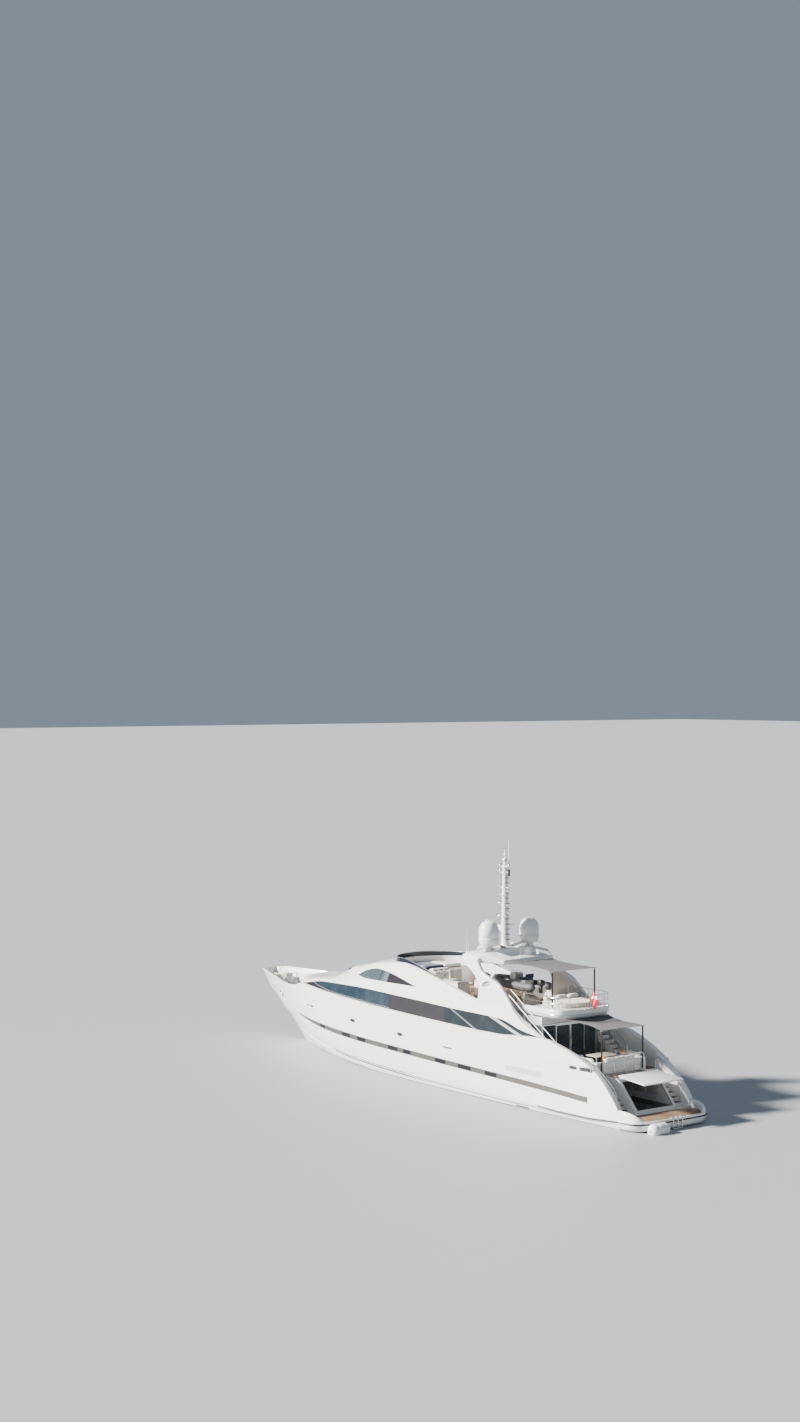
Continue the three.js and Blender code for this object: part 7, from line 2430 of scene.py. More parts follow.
    def stair(self, label: str, side: float) -> None:
        """Stair with teak treads and bowed handrails."""
        rise = (FLY_DECK - MAIN_DECK) / self.steps
        mould, treads, lights = Shape(), Shape(), Shape()
        outline = [(self.stair_top, FLY_DECK - 0.35)]
        for i in range(self.steps):
            z = FLY_DECK - rise * i - (0.0 if i else 0.01) - 0.012
            x = self.stair_top - self.going * i
            outline += [(x, z), (x - self.going, z)]
            if i:
                treads.join(slab(box_plan(x - self.going - 0.012, x - 0.004, side * (self.inner + 0.05),
                                          side * (self.outer - 0.05), 0.03), z, z + 0.012, 0.004))
                lights.block((x - self.going - 0.002, side * (self.inner + 0.18), z - 0.085),
                             (x - self.going + 0.01, side * (self.outer - 0.18), z - 0.075))
        last = self.stair_top - self.going * self.steps
        outline += [(last, MAIN_DECK), (last + 1.4 * self.going, MAIN_DECK)]
        mould.prism(1, outline, side * self.inner, side * self.outer)
        name = f"fly_stair_{label}"
        self.works.piece(f"stair_mould_{label}", mould, "gelcoat", Slot.GELCOAT, replaces=(name,), bevel=0.008)
        self.works.piece(f"stair_treads_{label}", treads, "teak_steps", Slot.TEAK)
        self.works.piece(f"stair_lights_{label}", lights, "lamp", Slot.ALLOY)
        rails = Shape()
        foot = self.stair_top - self.going * (self.steps - 0.6)
        for y in (self.inner + 0.04, self.outer - 0.06):
            line = [(self.stair_top + 0.06, side * y, 6.0), (foot + 0.26, side * y, 3.40),
                    (foot + 0.05, side * y, 3.21), (foot, side * y, 3.02), (foot, side * y, MAIN_DECK + rise / 2)]
            rails.tube(smooth(line, 4, (1,)), 0.024, 10)
            slope = (6.0 - 3.40) / (self.stair_top + 0.06 - foot - 0.26)
            low = [(p[0], p[1], p[2] - 0.48) for p in line[:2]]
            rails.tube(low, 0.012, 8)
            for i in (0.6, 1.5, 4.5, 7.5, 10.5):
                x = self.stair_top - self.going * i - 0.02
                top = 3.40 + slope * (x - foot - 0.26)
                z = FLY_DECK - rise * math.floor(i + 0.06) - 0.02
                rails.tube([(x, side * y, z), (x, side * y, top)], 0.016, 8)
                rails.lathe([(0.0, 0.0), (0.045, 0.0), (0.038, 0.014), (0.0, 0.016)], (x, side * y, z + 0.012),
                            sides=14)
            rails.lathe([(0.0, 0.0), (0.05, 0.0), (0.04, 0.016), (0.0, 0.02)], (foot, side * y, MAIN_DECK + 0.10),
                        sides=14)
        self.works.piece(f"stair_rails_{label}", rails, "steel", Slot.STEEL)

    def sofa(self) -> None:
        """Sofa with its arms, back cushions, seat cushions and scatter cushions."""
        up = MAIN_DECK
        moulding = Shape()
        plan = rounded([(-14.95, -1.74), (-13.10, -1.74), (-13.10, -1.08), (-14.15, -1.08), (-14.15, 1.08),
                        (-13.10, 1.08), (-13.10, 1.74), (-14.95, 1.74)], 0.22, 5)
        moulding.join(slab(plan, up + LAID, up + 0.30, 0.02))
        wall = rounded([(-14.975, -1.755), (-13.10, -1.755), (-13.10, -1.60), (-14.80, -1.60), (-14.80, 1.60),
                        (-13.10, 1.60), (-13.10, 1.755), (-14.975, 1.755)], 0.07, 4)
        moulding.join(slab(wall, up + LAID, up + 0.66, 0.05))
        base, wall = moulding.parts()
        mesh = self.works.carve(base, [self.pole_room()], [wall])
        self.works.piece("sofa_moulding", mesh, "gelcoat", Slot.GELCOAT, replaces=("cockpit_sofa",), angle=40)
        seats, backs, welts = [], [], []
        for y0, y1 in ((-1.03, -0.35), (-0.34, 0.34), (0.35, 1.03)):
            plan = box_plan(-14.78, -14.12, y0, y1, 0.09)
            seats.append(slab(drawn_in(plan, 0.008), up + 0.305, up + 0.445, 0.05, True))
            welts.append(self.sewing.welt(plan, up + 0.455, 0.05))
            back = slab(box_plan(y0, y1, 0.0, 0.40, 0.10), 0.0, 0.15, 0.055, True)
            backs.append(back.mapped(lambda p: (-14.94 + p[2] + (0.4 - p[1]) * 0.12, p[0], up + 0.46 + p[1])))
        for s in (-1, 1):
            for x0, x1 in ((-14.77, -13.99), (-13.97, -13.12)):
                plan = box_plan(x0, x1, s * 1.06, s * 1.60, 0.09)
                seats.append(slab(drawn_in(plan, 0.008), up + 0.305, up + 0.445, 0.05, True))
                welts.append(self.sewing.welt(plan, up + 0.455, 0.05))
                long = (x0 + 0.12, x1) if x0 < -14.5 else (x0, x1)
                back = slab(box_plan(*long, 0.0, 0.38, 0.10), 0.0, 0.13, 0.05, True)
                backs.append(back.mapped(lambda p: (p[0], s * (1.735 - p[2] - (0.38 - p[1]) * 0.10), up + 0.46 + p[1])))
        self.sewing.sew("sofa_cushions", [*seats, *backs], "white_cloth", up + 0.30, welts=welts, voxel=0.033, cap=0.02)
        for tone, spots in (("orange", ((-14.55, 0.72, 0.15), (-13.6, -1.42, 1.3))),
                            ("navy", ((-14.5, -0.75, -0.2), (-13.45, 1.43, 1.8)))):
            tilt = Matrix.Rotation(math.radians(-66), 4, "Y")
            pillows = [self.sewing.pillow(0.055, 0.05, Matrix.Rotation(turn, 4, "Z") @ tilt, (x, y, up + 0.68))
                       for x, y, turn in spots]
            self.sewing.sew(f"sofa_pillows_{tone}", pillows, tone, up + 0.46, voxel=0.02, cap=0.02, fill=0.6)

    @staticmethod
    def pole_room() -> Shape:
        """Room for the poles of the lower awning."""
        return Shape().block((-15.10, 1.385, 2.0), (-14.98, 1.505, 4.0)).twice()

    def table(self) -> None:
        """Table with a varnished top on a steel pedestal."""
        up = MAIN_DECK
        top = slab(box_plan(-13.85, -12.95, -0.75, 0.75, 0.16), up + 0.695, up + 0.73, 0.012)
        top.join(slab(box_plan(-13.75, -13.05, -0.65, 0.65, 0.10), up + 0.67, up + 0.695, 0.006))
        self.works.piece("table_top", top, "cream_lacquer", Slot.TEAK, replaces=("cockpit_table",))
        legs = Shape()
        for y in (-0.36, 0.36):
            legs.lathe([(0.0, 0.012), (0.20, 0.012), (0.18, 0.03), (0.06, 0.06), (0.055, 0.62), (0.13, 0.665),
                        (0.0, 0.672)], (-13.4, y, up), sides=28)
        self.works.piece("table_legs", legs, "steel", Slot.STEEL)

    def rail(self) -> None:
        """Stern rail with its posts."""
        x, half = COCKPIT_END - 0.07, 1.4
        rails = Shape()
        for z in (2.60, 2.92):
            rails.tube([(x, -half, z), (x, half, z)], 0.011, 8)
        top = [(x, -half, MAIN_DECK), (x, -half, 3.10), (x, -half + 0.13, 3.23), (x, half - 0.13, 3.23),
               (x, half, 3.10), (x, half, MAIN_DECK)]
        rails.tube(smooth(top, 4, (2, 3)), 0.023, 10)
        for y in (-0.7, 0.0, 0.7):
            rails.tube([(x, y, MAIN_DECK), (x, y, 3.23)], 0.018, 8)
        for y in (-1.4, -0.7, 0.0, 0.7, 1.4):
            rails.lathe([(0.0, 0.0), (0.05, 0.0), (0.04, 0.016), (0.0, 0.02)], (x, y, MAIN_DECK), sides=16)
        self.works.piece("stern_rail", rails, "steel", Slot.STEEL, replaces=("cockpit_rail",))


# Stern


@dataclass
class Stern:
    """Garage housing with its door, stairs, bathing platform and fender."""

    works: Works
    half: float = 1.44
    mouth_half: float = 1.25
    mouth: Flat = (0.80, 2.10)
    profile: tuple[Flat, ...] = ((-15.10, 0.58), (-15.10, 2.25), (-16.25, 2.25), (-17.50, 0.85), (-17.56, 0.58))
    hinge: Flat = (-16.23, 2.39)
    door_length: float = 1.96
    door_half: float = 1.38
    plan: tuple[Flat, ...] = ((-17.6003, 2.64), (-18.15, 2.60), (-18.65, 2.45), (-18.95, 2.08), (-19.05, 1.40),
                              (-19.1, 0.0))

    def build(self) -> None:
        """Makes every piece of the stern."""
        self.housing()
        self.garage()
        self.door()
        self.stairs()
        self.platform()
        self.fender()

    def housing(self) -> None:
        """Housing with rounded shoulders and the garage mouth."""
        outline = smooth([*self.profile, self.profile[0]], 3, (0, 1, 2, 3, 4))[:-1]
        rings = []
        for y, margin in ((-1.44, 0.035), (-1.43, 0.012), (-1.405, 0.0), (0.0, 0.0), (1.405, 0.0), (1.43, 0.012),
                          (1.44, 0.035)):
            rings.append([(-15.1 if x > -15.2 else x, y, max(z, PLATFORM_TOP)) for x, z in drawn_in(outline, margin)])
        low, high = self.mouth
        mouth = Shape().block((-18.0, -self.mouth_half, low), (-14.0, self.mouth_half, high))
        mesh = self.works.carve(Shape().loft(rings), [mouth])
        self.works.piece("housing", mesh, "gelcoat", Slot.GELCOAT, replaces=("transom_housing",), bevel=0.012)
        x, z = self.hinge
        cheeks = Shape()
        for s in (-1, 1):
            outline = rounded([(x - 0.055, MAIN_DECK - 0.04), (x + 0.06, MAIN_DECK - 0.04), (x + 0.06, z + 0.05),
                               (x - 0.055, z + 0.05)], 0.03, 3)
            cheeks.prism(1, outline, s * (self.door_half + 0.007), s * (self.door_half + 0.05))
            cheeks.tube([(x, s * (self.door_half + 0.0005), z), (x, s * (self.door_half + 0.056), z)], 0.025, 16)
        self.works.piece("door_cheeks", cheeks, "steel", Slot.STEEL)
        top = slab(box_plan(-16.12, -15.30, -1.30, 1.30, 0.10), MAIN_DECK + 0.001, MAIN_DECK + LAID, 0.004)
        self.works.piece("housing_teak", top, "teak", Slot.TEAK)

    def garage(self) -> None:
        """Lining of the garage: gasket round its mouth, mat, tracks, shelves and lamps."""
        low, high = self.mouth
        half = self.mouth_half

        def face(z: float) -> float:
            """Station of the housing's aft face at a height."""
            return float(np.interp(z, (0.58, 0.85, 2.25), (-17.56, -17.50, -16.25)))

        seal = Shape()
        for s in (-1, 1):
            line = [(face(z) + 0.012, s * (half - 0.02), z) for z in (low + 0.02, 1.2, 1.7, high - 0.02)]
            seal.tube(line, 0.018, 8)
        for z in (low + 0.02, high - 0.02):
            seal.tube([(face(z) + 0.012, -half + 0.02, z), (face(z) + 0.012, half - 0.02, z)], 0.018, 8)
        self.works.piece("garage_seal", seal, "gasket", Slot.GELCOAT)
        mat = Shape().block((-17.4, -half + 0.06, low + 0.001), (-12.7, half - 0.06, low + 0.012))
        for y in (-0.62, -0.42, 0.42, 0.62):
            mat.block((-17.3, y - 0.03, low + 0.012), (-12.9, y + 0.03, low + 0.045))
        self.works.piece("garage_mat", mat, "rubber", Slot.TENDER, bevel=0.004)
        lamps = Shape()
        for x in (-14.0, -15.6):
            for y in (-0.8, 0.8):
                lamps.lathe([(0.0, -0.03), (0.07, -0.03), (0.08, 0.0), (0.0, 0.0)], (x, y, high - 0.001), sides=20)
        self.works.piece("garage_lamps", lamps, "lamp", Slot.ALLOY)
        lockers = Shape()
        for s in (-1, 1):
            for x in (-16.0, -15.0, -14.0, -13.1):
                lockers.join(slab(box_plan(x - 0.42, x + 0.42, 0.0, 0.5, 0.06), 0.0, 0.014, 0.005).mapped(
                    lambda p: (p[0], s * (half - p[2]), 1.15 + p[1])))
        self.works.piece("garage_lockers", lockers, "grey_gelcoat", Slot.GELCOAT)

    def at(self, along: float, up: float) -> Flat:
        """Point of the garage door's section as it is stored open."""
        turn = math.radians(5)
        x, z = self.hinge
        return (x - along * math.cos(turn) - up * math.sin(turn), z - along * math.sin(turn) + up * math.cos(turn))

    def door(self) -> None:
        """Garage door: fair outer skin, framed and panelled inner side, with dark sheets in its panels as painted shade
        on the underside.
        """
        r, length = 0.045, self.door_length
        knuckle = [self.at(-r * math.cos(math.radians(a)), r * math.sin(math.radians(a))) for a in range(-90, 91, 15)]
        edge = [self.at(length - 0.16, r), self.at(length - 0.07, r * 0.75), self.at(length - 0.012, r * 0.22),
                self.at(length, 0), self.at(length - 0.02, -r)]
        outline = [*knuckle, *edge]
        rings = []
        for y, margin in ((-1.38, 0.014), (-1.372, 0.004), (-1.36, 0.0), (0.0, 0.0), (1.36, 0.0), (1.372, 0.004),
                          (1.38, 0.014)):
            rings.append([(x, y, z) for x, z in drawn_in(outline, margin)])
        panels = Shape()
        for y0, y1 in ((-1.28, -0.46), (-0.40, 0.40), (0.46, 1.28)):
            sunk = [self.at(0.14, -0.1), self.at(length - 0.14, -0.1), self.at(length - 0.14, 0.0), self.at(0.14, 0.0)]
            panels.prism(1, sunk, y0, y1)
        mesh = self.works.carve(Shape().loft(rings), panels.parts())
        self.works.piece("door_skin", mesh, "gelcoat", Slot.GELCOAT, body="garage_door", replaces=("garage_door",),
                         bevel=0.004)
        # Dark sheets in the sunk panels are painted shade on the door's underside, not a lining.
        shade_sheets = Shape()
        for y0, y1 in ((-1.279, -0.461), (-0.399, 0.399), (0.461, 1.279)):
            flat = [self.at(0.141, -0.003), self.at(length - 0.141, -0.003), self.at(length - 0.141, 0.004),
                    self.at(0.141, 0.004)]
            shade_sheets.prism(1, flat, y0, y1)
        self.works.piece("door_painted_shade_panels", shade_sheets, "dark", Slot.GELCOAT, body="garage_door")
        stays = Shape()
        for y in (-1.30, 1.30):
            stays.tube([(x, y, z) for x, z in (self.at(0.10, -0.0305), self.at(length - 0.12, -0.0305))], 0.011, 8)
        self.works.piece("door_stays", stays, "steel", Slot.STEEL, body="garage_door")

    def stairs(self) -> None:
        """Stairs at both sides with teak treads and lit risers."""
        steps, going, start = 8, 0.285, COCKPIT_END - 0.0003
        rise = (MAIN_DECK - PLATFORM_TOP) / steps
        mould, treads, lights, rails = Shape(), Shape(), Shape(), Shape()
        outline = [(start, PLATFORM_TOP)]
        for i in range(steps - 1):
            z = MAIN_DECK - rise * (i + 1) - 0.012
            x = start - going * i
            outline += [(x, z), (x - going, z)]
            treads.join(slab(box_plan(x - going - 0.012, x - 0.004, 1.48, 2.29, 0.03), z, z + 0.012, 0.004))
            lights.block((x - going - 0.002, 1.62, z - 0.06), (x - going + 0.008, 2.16, z - 0.045))
        outline.append((start - going * (steps - 1), PLATFORM_TOP))
        mould.prism(1, outline, self.half + 0.0003, 2.3297)
        rails.tube(smooth([(-15.18, 2.24, MAIN_DECK), (-15.18, 2.24, 2.78), (-15.32, 2.24, 2.88), (-15.55, 2.24, 2.82),
                           (-16.85, 2.24, 1.92), (-17.0, 2.24, 1.70), (-17.0, 2.24, 0.95)], 4, ()), 0.022, 10)
        self.works.piece("stern_stair_moulds", mould.twice(), "inner_gelcoat", Slot.GELCOAT,
                         replaces=("stern_stair_port", "stern_stair_starboard"), bevel=0.008)
        self.works.piece("stern_treads", treads.twice(), "teak_steps", Slot.TEAK)
        self.works.piece("stern_stair_lights", lights.twice(), "lamp", Slot.ALLOY)
        self.works.piece("stern_stair_rails", rails.twice(), "steel", Slot.STEEL)

    def outline(self, margin: float = 0.0) -> list[Flat]:
        """Plan of the platform, drawn in by a margin except along the transom."""
        edge = smooth(self.plan, 5, (0,))
        half = []
        for x, y in edge:
            off = margin if margin > 0 else margin * min(1.0, max(0.0, (x + 19.0) / 0.6))
            half.append((x + off if x < -17.61 else x, y - off if y > 0.01 else y))
        return both(half)

    def platform(self) -> None:
        """Platform with white sides, rub line, teak top, side fairings, cleats and ladder."""
        levels = ((0.03, 0.16), (0.045, 0.11), (0.09, 0.05), (0.17, 0.0), (0.26, -0.03), (0.34, -0.045), (0.42, -0.05),
                  (0.50, -0.02), (0.548, 0.0), (0.562, 0.015), (0.568, 0.04))
        rings = [[(x, y, z) for x, y in self.outline(margin)] for z, margin in levels]
        self.works.piece("platform_body", Shape().loft(rings), "gelcoat", Slot.GELCOAT,
                         replaces=("bathing_platform",), angle=50)
        teak = slab(self.outline(0.07), 0.567, PLATFORM_TOP, 0.003)
        self.works.piece("platform_teak", teak, "teak", Slot.TEAK)
        around = [p for p in self.outline(-0.06) if p[0] < -17.605]
        side = around[0][1]
        around = [(-17.45, side), *around, (-17.45, -side)]
        line = Shape().tube([(x, y, 0.42) for x, y in around], 0.038, 8)
        self.works.piece("platform_rub_lines", line, "black", Slot.TENDER)
        metal = Shape()
        for s in (-1, 1):
            for x, y in ((-17.85, 2.16), (-18.45, 1.98)):
                metal.join(cleat(Vector((x, s * y, PLATFORM_TOP)), 0.15, math.radians(90)))
        for y in (-0.34, -0.025, 0.29):
            metal.tube([(-18.95, y, 0.595), (-19.08, y, 0.59), (-19.15, y, 0.50), (-19.15, y, -0.45)], 0.022, 8)
        for z in (0.30, 0.05, -0.20, -0.42):
            metal.join(slab(box_plan(-19.20, -19.11, -0.34, 0.29, 0.03), z, z + 0.025, 0.008))
        self.works.piece("platform_metal", metal, "steel", Slot.STEEL)
        rows = Curve([(-16.9, 2.66, 0.42, -0.03), (-17.3, 2.662, 0.42, 0.006), (-17.6, 2.652, 0.42, 0.012),
                      (-17.9, 2.645, 0.41, 0.012), (-18.2, 2.60, 0.38, 0.010), (-18.45, 2.53, 0.32, 0.008),
                      (-18.65, 2.45, 0.22, 0.006), (-18.80, 2.30, 0.10, 0.0), (-18.88, 2.18, 0.0, -0.02)])
        rings = []
        for x in spread(-18.88, -16.9, 0.09):
            y, high, off = (float(v) for v in rows.at(x))
            base, y = PLATFORM_TOP, y + off
            ring = [(y - 0.30, 0.25), (y - 0.06, 0.22), (y - 0.01, 0.27), (y + 0.03, 0.34), (y + 0.045, 0.42),
                    (y + 0.03, 0.50),
                    (y + 0.008, base), (y - 0.004, base + high * 0.4), (y - 0.025, base + high * 0.75),
                    (y - 0.07, base + high * 0.95), (y - 0.13, base + high), (y - 0.20, base + high * 0.9),
                    (y - 0.26, base + high * 0.55), (y - 0.30, base + high * 0.1)]
            rings.append([(x, v, z) for v, z in ring])
        self.works.piece("platform_coamings", Shape().loft(rings).twice(), "gelcoat", Slot.GELCOAT, angle=60)
        hatch = slab(box_plan(-18.6, -17.95, -0.35, 0.35, 0.06), PLATFORM_TOP - 0.005, PLATFORM_TOP + 0.003, 0.002)
        self.works.piece("platform_hatch", hatch, "teak_steps", Slot.TEAK)

    def fender(self) -> None:
        """Inflated fender with moulded ends and eyes, resting against the platform."""
        r = 0.34
        profile = [(0.0, 0.90), (0.05, 0.90), (0.06, 0.93), (0.20, 0.945), (0.26, 0.985), (0.31, 1.05), (r, 1.14),
                   (r, 1.25), (r - 0.004, 1.26), (r, 1.27), (r, 1.78), (r - 0.004, 1.79), (r, 1.80), (r, 1.91),
                   (0.31, 2.00), (0.26, 2.065), (0.20, 2.105), (0.06, 2.12), (0.05, 2.15), (0.0, 2.15)]
        made = Shape().lathe(profile, (-19.377, 0, 0.18), (0, 1, 0), 40)
        self.works.piece("fender_tube", made, "vinyl", Slot.FENDER, replaces=("fender",), angle=60)
        ends = Shape()
        for y0, y1 in ((0.902, 0.93), (2.12, 2.148)):
            ends.lathe([(0.062, y0), (0.064, y0), (0.064, y1), (0.05, y1), (0.05, y0)], (-19.377, 0, 0.18), (0, 1, 0),
                       24)
        self.works.piece("fender_ends", ends, "navy", Slot.FENDER)


def cleat(spot: Vector, reach: float, turn: float) -> Shape:
    """Horned mooring cleat.

    Args:
        spot: centre of its foot.
        reach: half its length.
        turn: angle of its horns from the X axis.

    Returns:
        The cleat.
    """
    place = Matrix.Translation(spot) @ Matrix.Rotation(turn, 4, "Z")
    made = Shape()
    made.tube([(-reach, 0, 0.075), (-reach * 0.6, 0, 0.07), (0, 0, 0.062), (reach * 0.6, 0, 0.07), (reach, 0, 0.075)],
              0.019, 8)
    for x in (-reach * 0.35, reach * 0.35):
        made.tube([(x, 0, -0.002), (x, 0, 0.065)], 0.018, 8)
    made.join(slab(box_plan(-reach * 0.6, reach * 0.6, -0.04, 0.04, 0.03), -0.002, 0.01, 0.004))
    return made.mapped(lambda p: place @ Vector(p))


# Foredeck


@dataclass
class Foredeck:
    """Bow deck: sunbed, windlass, hatch, cleats, bench and staffs."""

    works: Works
    sewing: Upholstery

    def build(self) -> None:
        """Makes every piece of the foredeck."""
        self.sunbed()
        self.windlass()
        self.hatch()
        self.fittings()

    def sunbed(self) -> None:
        """Sunbed on its moulded base, with a raised back."""
        z = FOREDECK
        plan = rounded([(12.78, -1.13), (13.98, -1.04), (13.98, 1.04), (12.78, 1.13)], 0.12)
        base = slab(plan, z + 0.0003, z + 0.20, 0.03)
        self.works.piece("sunbed_base", base, "gelcoat", Slot.GELCOAT, replaces=("foredeck_pad",))
        blocks, welts = [], []
        for y0, y1 in ((-1.08, -0.37), (-0.36, 0.36), (0.37, 1.08)):
            part = rounded(clipped([(13.04, -1.12), (13.97, -1.03), (13.97, 1.03), (13.04, 1.12)], 1, y0, y1), 0.09, 2)
            blocks.append(slab(drawn_in(part, 0.01), z + 0.205, z + 0.345, 0.05, True))
            welts.append(self.sewing.welt(part, z + 0.355, 0.05))
            back = slab(box_plan(y0, y1, 0.0, 0.62, 0.10), 0.0, 0.16, 0.05, True)
            blocks.append(back.mapped(lambda p: (12.80 + p[2] + (0.62 - p[1]) * 0.10, p[0], z + 0.225 + p[1])))
        self.sewing.sew("sunbed_cushions", blocks, "cream", z + 0.20, welts=welts, voxel=0.033, cap=0.02)

    def windlass(self) -> None:
        """Windlass with two drums, chain and bow roller."""
        z = FOREDECK
        bed = slab(box_plan(15.5, 16.4, -0.42, 0.42, 0.10), z, z + 0.05, 0.015)
        self.works.piece("windlass_bed", bed, "inner_gelcoat", Slot.GELCOAT, replaces=("windlass",))
        metal = Shape()
        for s in (-1, 1):
            drum = [(0.0, 0.04), (0.135, 0.04), (0.13, 0.06), (0.10, 0.085), (0.10, 0.13), (0.125, 0.15),
                    (0.125, 0.165),
                    (0.085, 0.18), (0.075, 0.21), (0.085, 0.25), (0.13, 0.29), (0.14, 0.31), (0.12, 0.32), (0.0, 0.32)]
            metal.lathe(drum, (15.85, s * 0.26, z), sides=32)
            metal.lathe([(0.0, 0.04), (0.05, 0.04), (0.05, 0.11), (0.03, 0.13), (0.0, 0.13)], (16.15, s * 0.26, z),
                        sides=20)
        roller = [(16.2, z + 0.05), (17.26, z + 0.05), (17.3, z + 0.09), (17.26, z + 0.13), (16.3, z + 0.13)]
        metal.prism(1, roller, -0.06, -0.045).prism(1, roller, 0.045, 0.06)
        metal.prism(1, [(16.2, z + 0.05), (17.2, z + 0.05), (17.2, z + 0.065), (16.2, z + 0.065)], -0.05, 0.05)
        metal.lathe([(0.035, -0.044), (0.022, 0.0), (0.035, 0.044)], (17.22, 0, z + 0.095), (0, 1, 0), 16)
        for k in range(24):
            spot = Vector((16.05 + 0.048 * k, 0.0, z + 0.088))
            turn = Matrix.Rotation(math.pi / 2 * (k % 2), 4, "X")
            link = [(0.033 * math.cos(a) * (1.2 if abs(math.cos(a)) > 0.5 else 1.0), 0.017 * math.sin(a), 0.0)
                    for a in angles(10)]
            metal.tube([turn @ Vector(p) + spot for p in link], 0.0065, 6, loop=True)
        self.works.piece("windlass_metal", metal, "steel", Slot.STEEL, angle=40)

    def hatch(self) -> None:
        """Deck hatch: tinted pane in a frame, between the lugs of its hinge."""
        low, high = FOREDECK + 0.006, FOREDECK + 0.056
        frame = Shape()
        for x0, x1, y0, y1 in ((14.35, 14.41, -0.35, 0.35), (14.99, 15.05, -0.35, 0.35), (14.41, 14.99, -0.35, -0.29),
                               (14.41, 14.99, 0.29, 0.35)):
            frame.block((x0, y0, low), (x1, y1, high))
        frame.tube([(14.37, -0.12, high - 0.004), (14.37, -0.12, high), (14.37, 0.12, high),
                    (14.37, 0.12, high - 0.004)], 0.008, 6)
        self.works.piece("hatch_frame", frame, "brushed", Slot.STEEL, body="foredeck_hatch",
                         replaces=("foredeck_hatch",), bevel=0.006)
        pane = Shape().block((14.408, -0.292, low + 0.014), (14.992, 0.292, high - 0.006))
        self.works.piece("hatch_pane", pane, "port_glass", Slot.GLASS, body="foredeck_hatch")
        lugs = Shape()
        for s in (-1, 1):
            outline = rounded([(15.02, FOREDECK), (15.07, FOREDECK), (15.07, 3.253), (15.02, 3.253)], 0.015, 3)
            lugs.prism(1, outline, s * 0.3565, s * 0.39)
            lugs.tube([(15.045, s * 0.3505, 3.233), (15.045, s * 0.394, 3.233)], 0.005, 10)
        self.works.piece("hatch_lugs", lugs, "steel", Slot.STEEL)

    def fittings(self) -> None:
        """Cleats, staffs, frame of the windlass, its control box and the bow bench."""
        metal = Shape()
        for s in (-1, 1):
            metal.join(cleat(Vector((16.6, s * 0.55, FOREDECK + 0.004)), 0.17, math.radians(20 * s)))
            metal.join(cleat(Vector((14.9, s * 1.2, FOREDECK + 0.004)), 0.17, math.radians(12 * s)))
            for x in (12.2, 11.2):
                metal.join(cleat(Vector((x, s * 1.9, FOREDECK + 0.004)), 0.14, math.radians(8 * s)))
        staff = Shape().tube([(18.42, 0, 3.9), (18.48, 0, 5.13)], 0.020, 12, 0.013)
        staff.ball((18.481, 0, 5.12), 0.022, 12)
        self.works.piece("bow_pole", staff, "steel", Slot.STEEL, replaces=("bow_staff",))
        metal.tube([(12.45, -0.45, 4.36), (12.35, -0.45, 4.45), (11.5, -0.45, 4.90)], 0.022, 8, 0.012)
        for s in (-1, 1):
            metal.tube([(16.35, s * 0.62, FOREDECK), (16.1, s * 0.50, 4.02), (15.8, s * 0.62, FOREDECK)], 0.018, 8)
        metal.tube([(16.1, -0.50, 4.0), (16.1, 0.50, 4.0)], 0.018, 8)
        self.works.piece("foredeck_metal", metal, "steel", Slot.STEEL)
        boxes, pads = Shape(), []
        for s in (-1, 1):
            plan = [(16.80, 0.12), (17.62, 0.12), (17.62, 0.36), (16.80, 0.74)]
            boxes.prism(2, [(x, s * y) for x, y in plan], FOREDECK + 0.004, 3.70)
            pads.append(slab([(x, s * y) for x, y in drawn_in(rounded(plan, 0.08, 2), 0.01)][::s], 3.705, 3.90, 0.06,
                             True))
        self.works.piece("bow_bench", boxes, "gelcoat", Slot.GELCOAT, bevel=0.02)
        self.sewing.sew("bow_cushions", pads, "cream", 3.70, voxel=0.035, cap=0.02)
        cover = slab(box_plan(16.40, 16.62, -0.26, 0.26, 0.08), FOREDECK + 0.004, 3.72, 0.05)
        self.works.piece("windlass_cover", cover, "grey_gelcoat", Slot.GELCOAT)


# Running gear


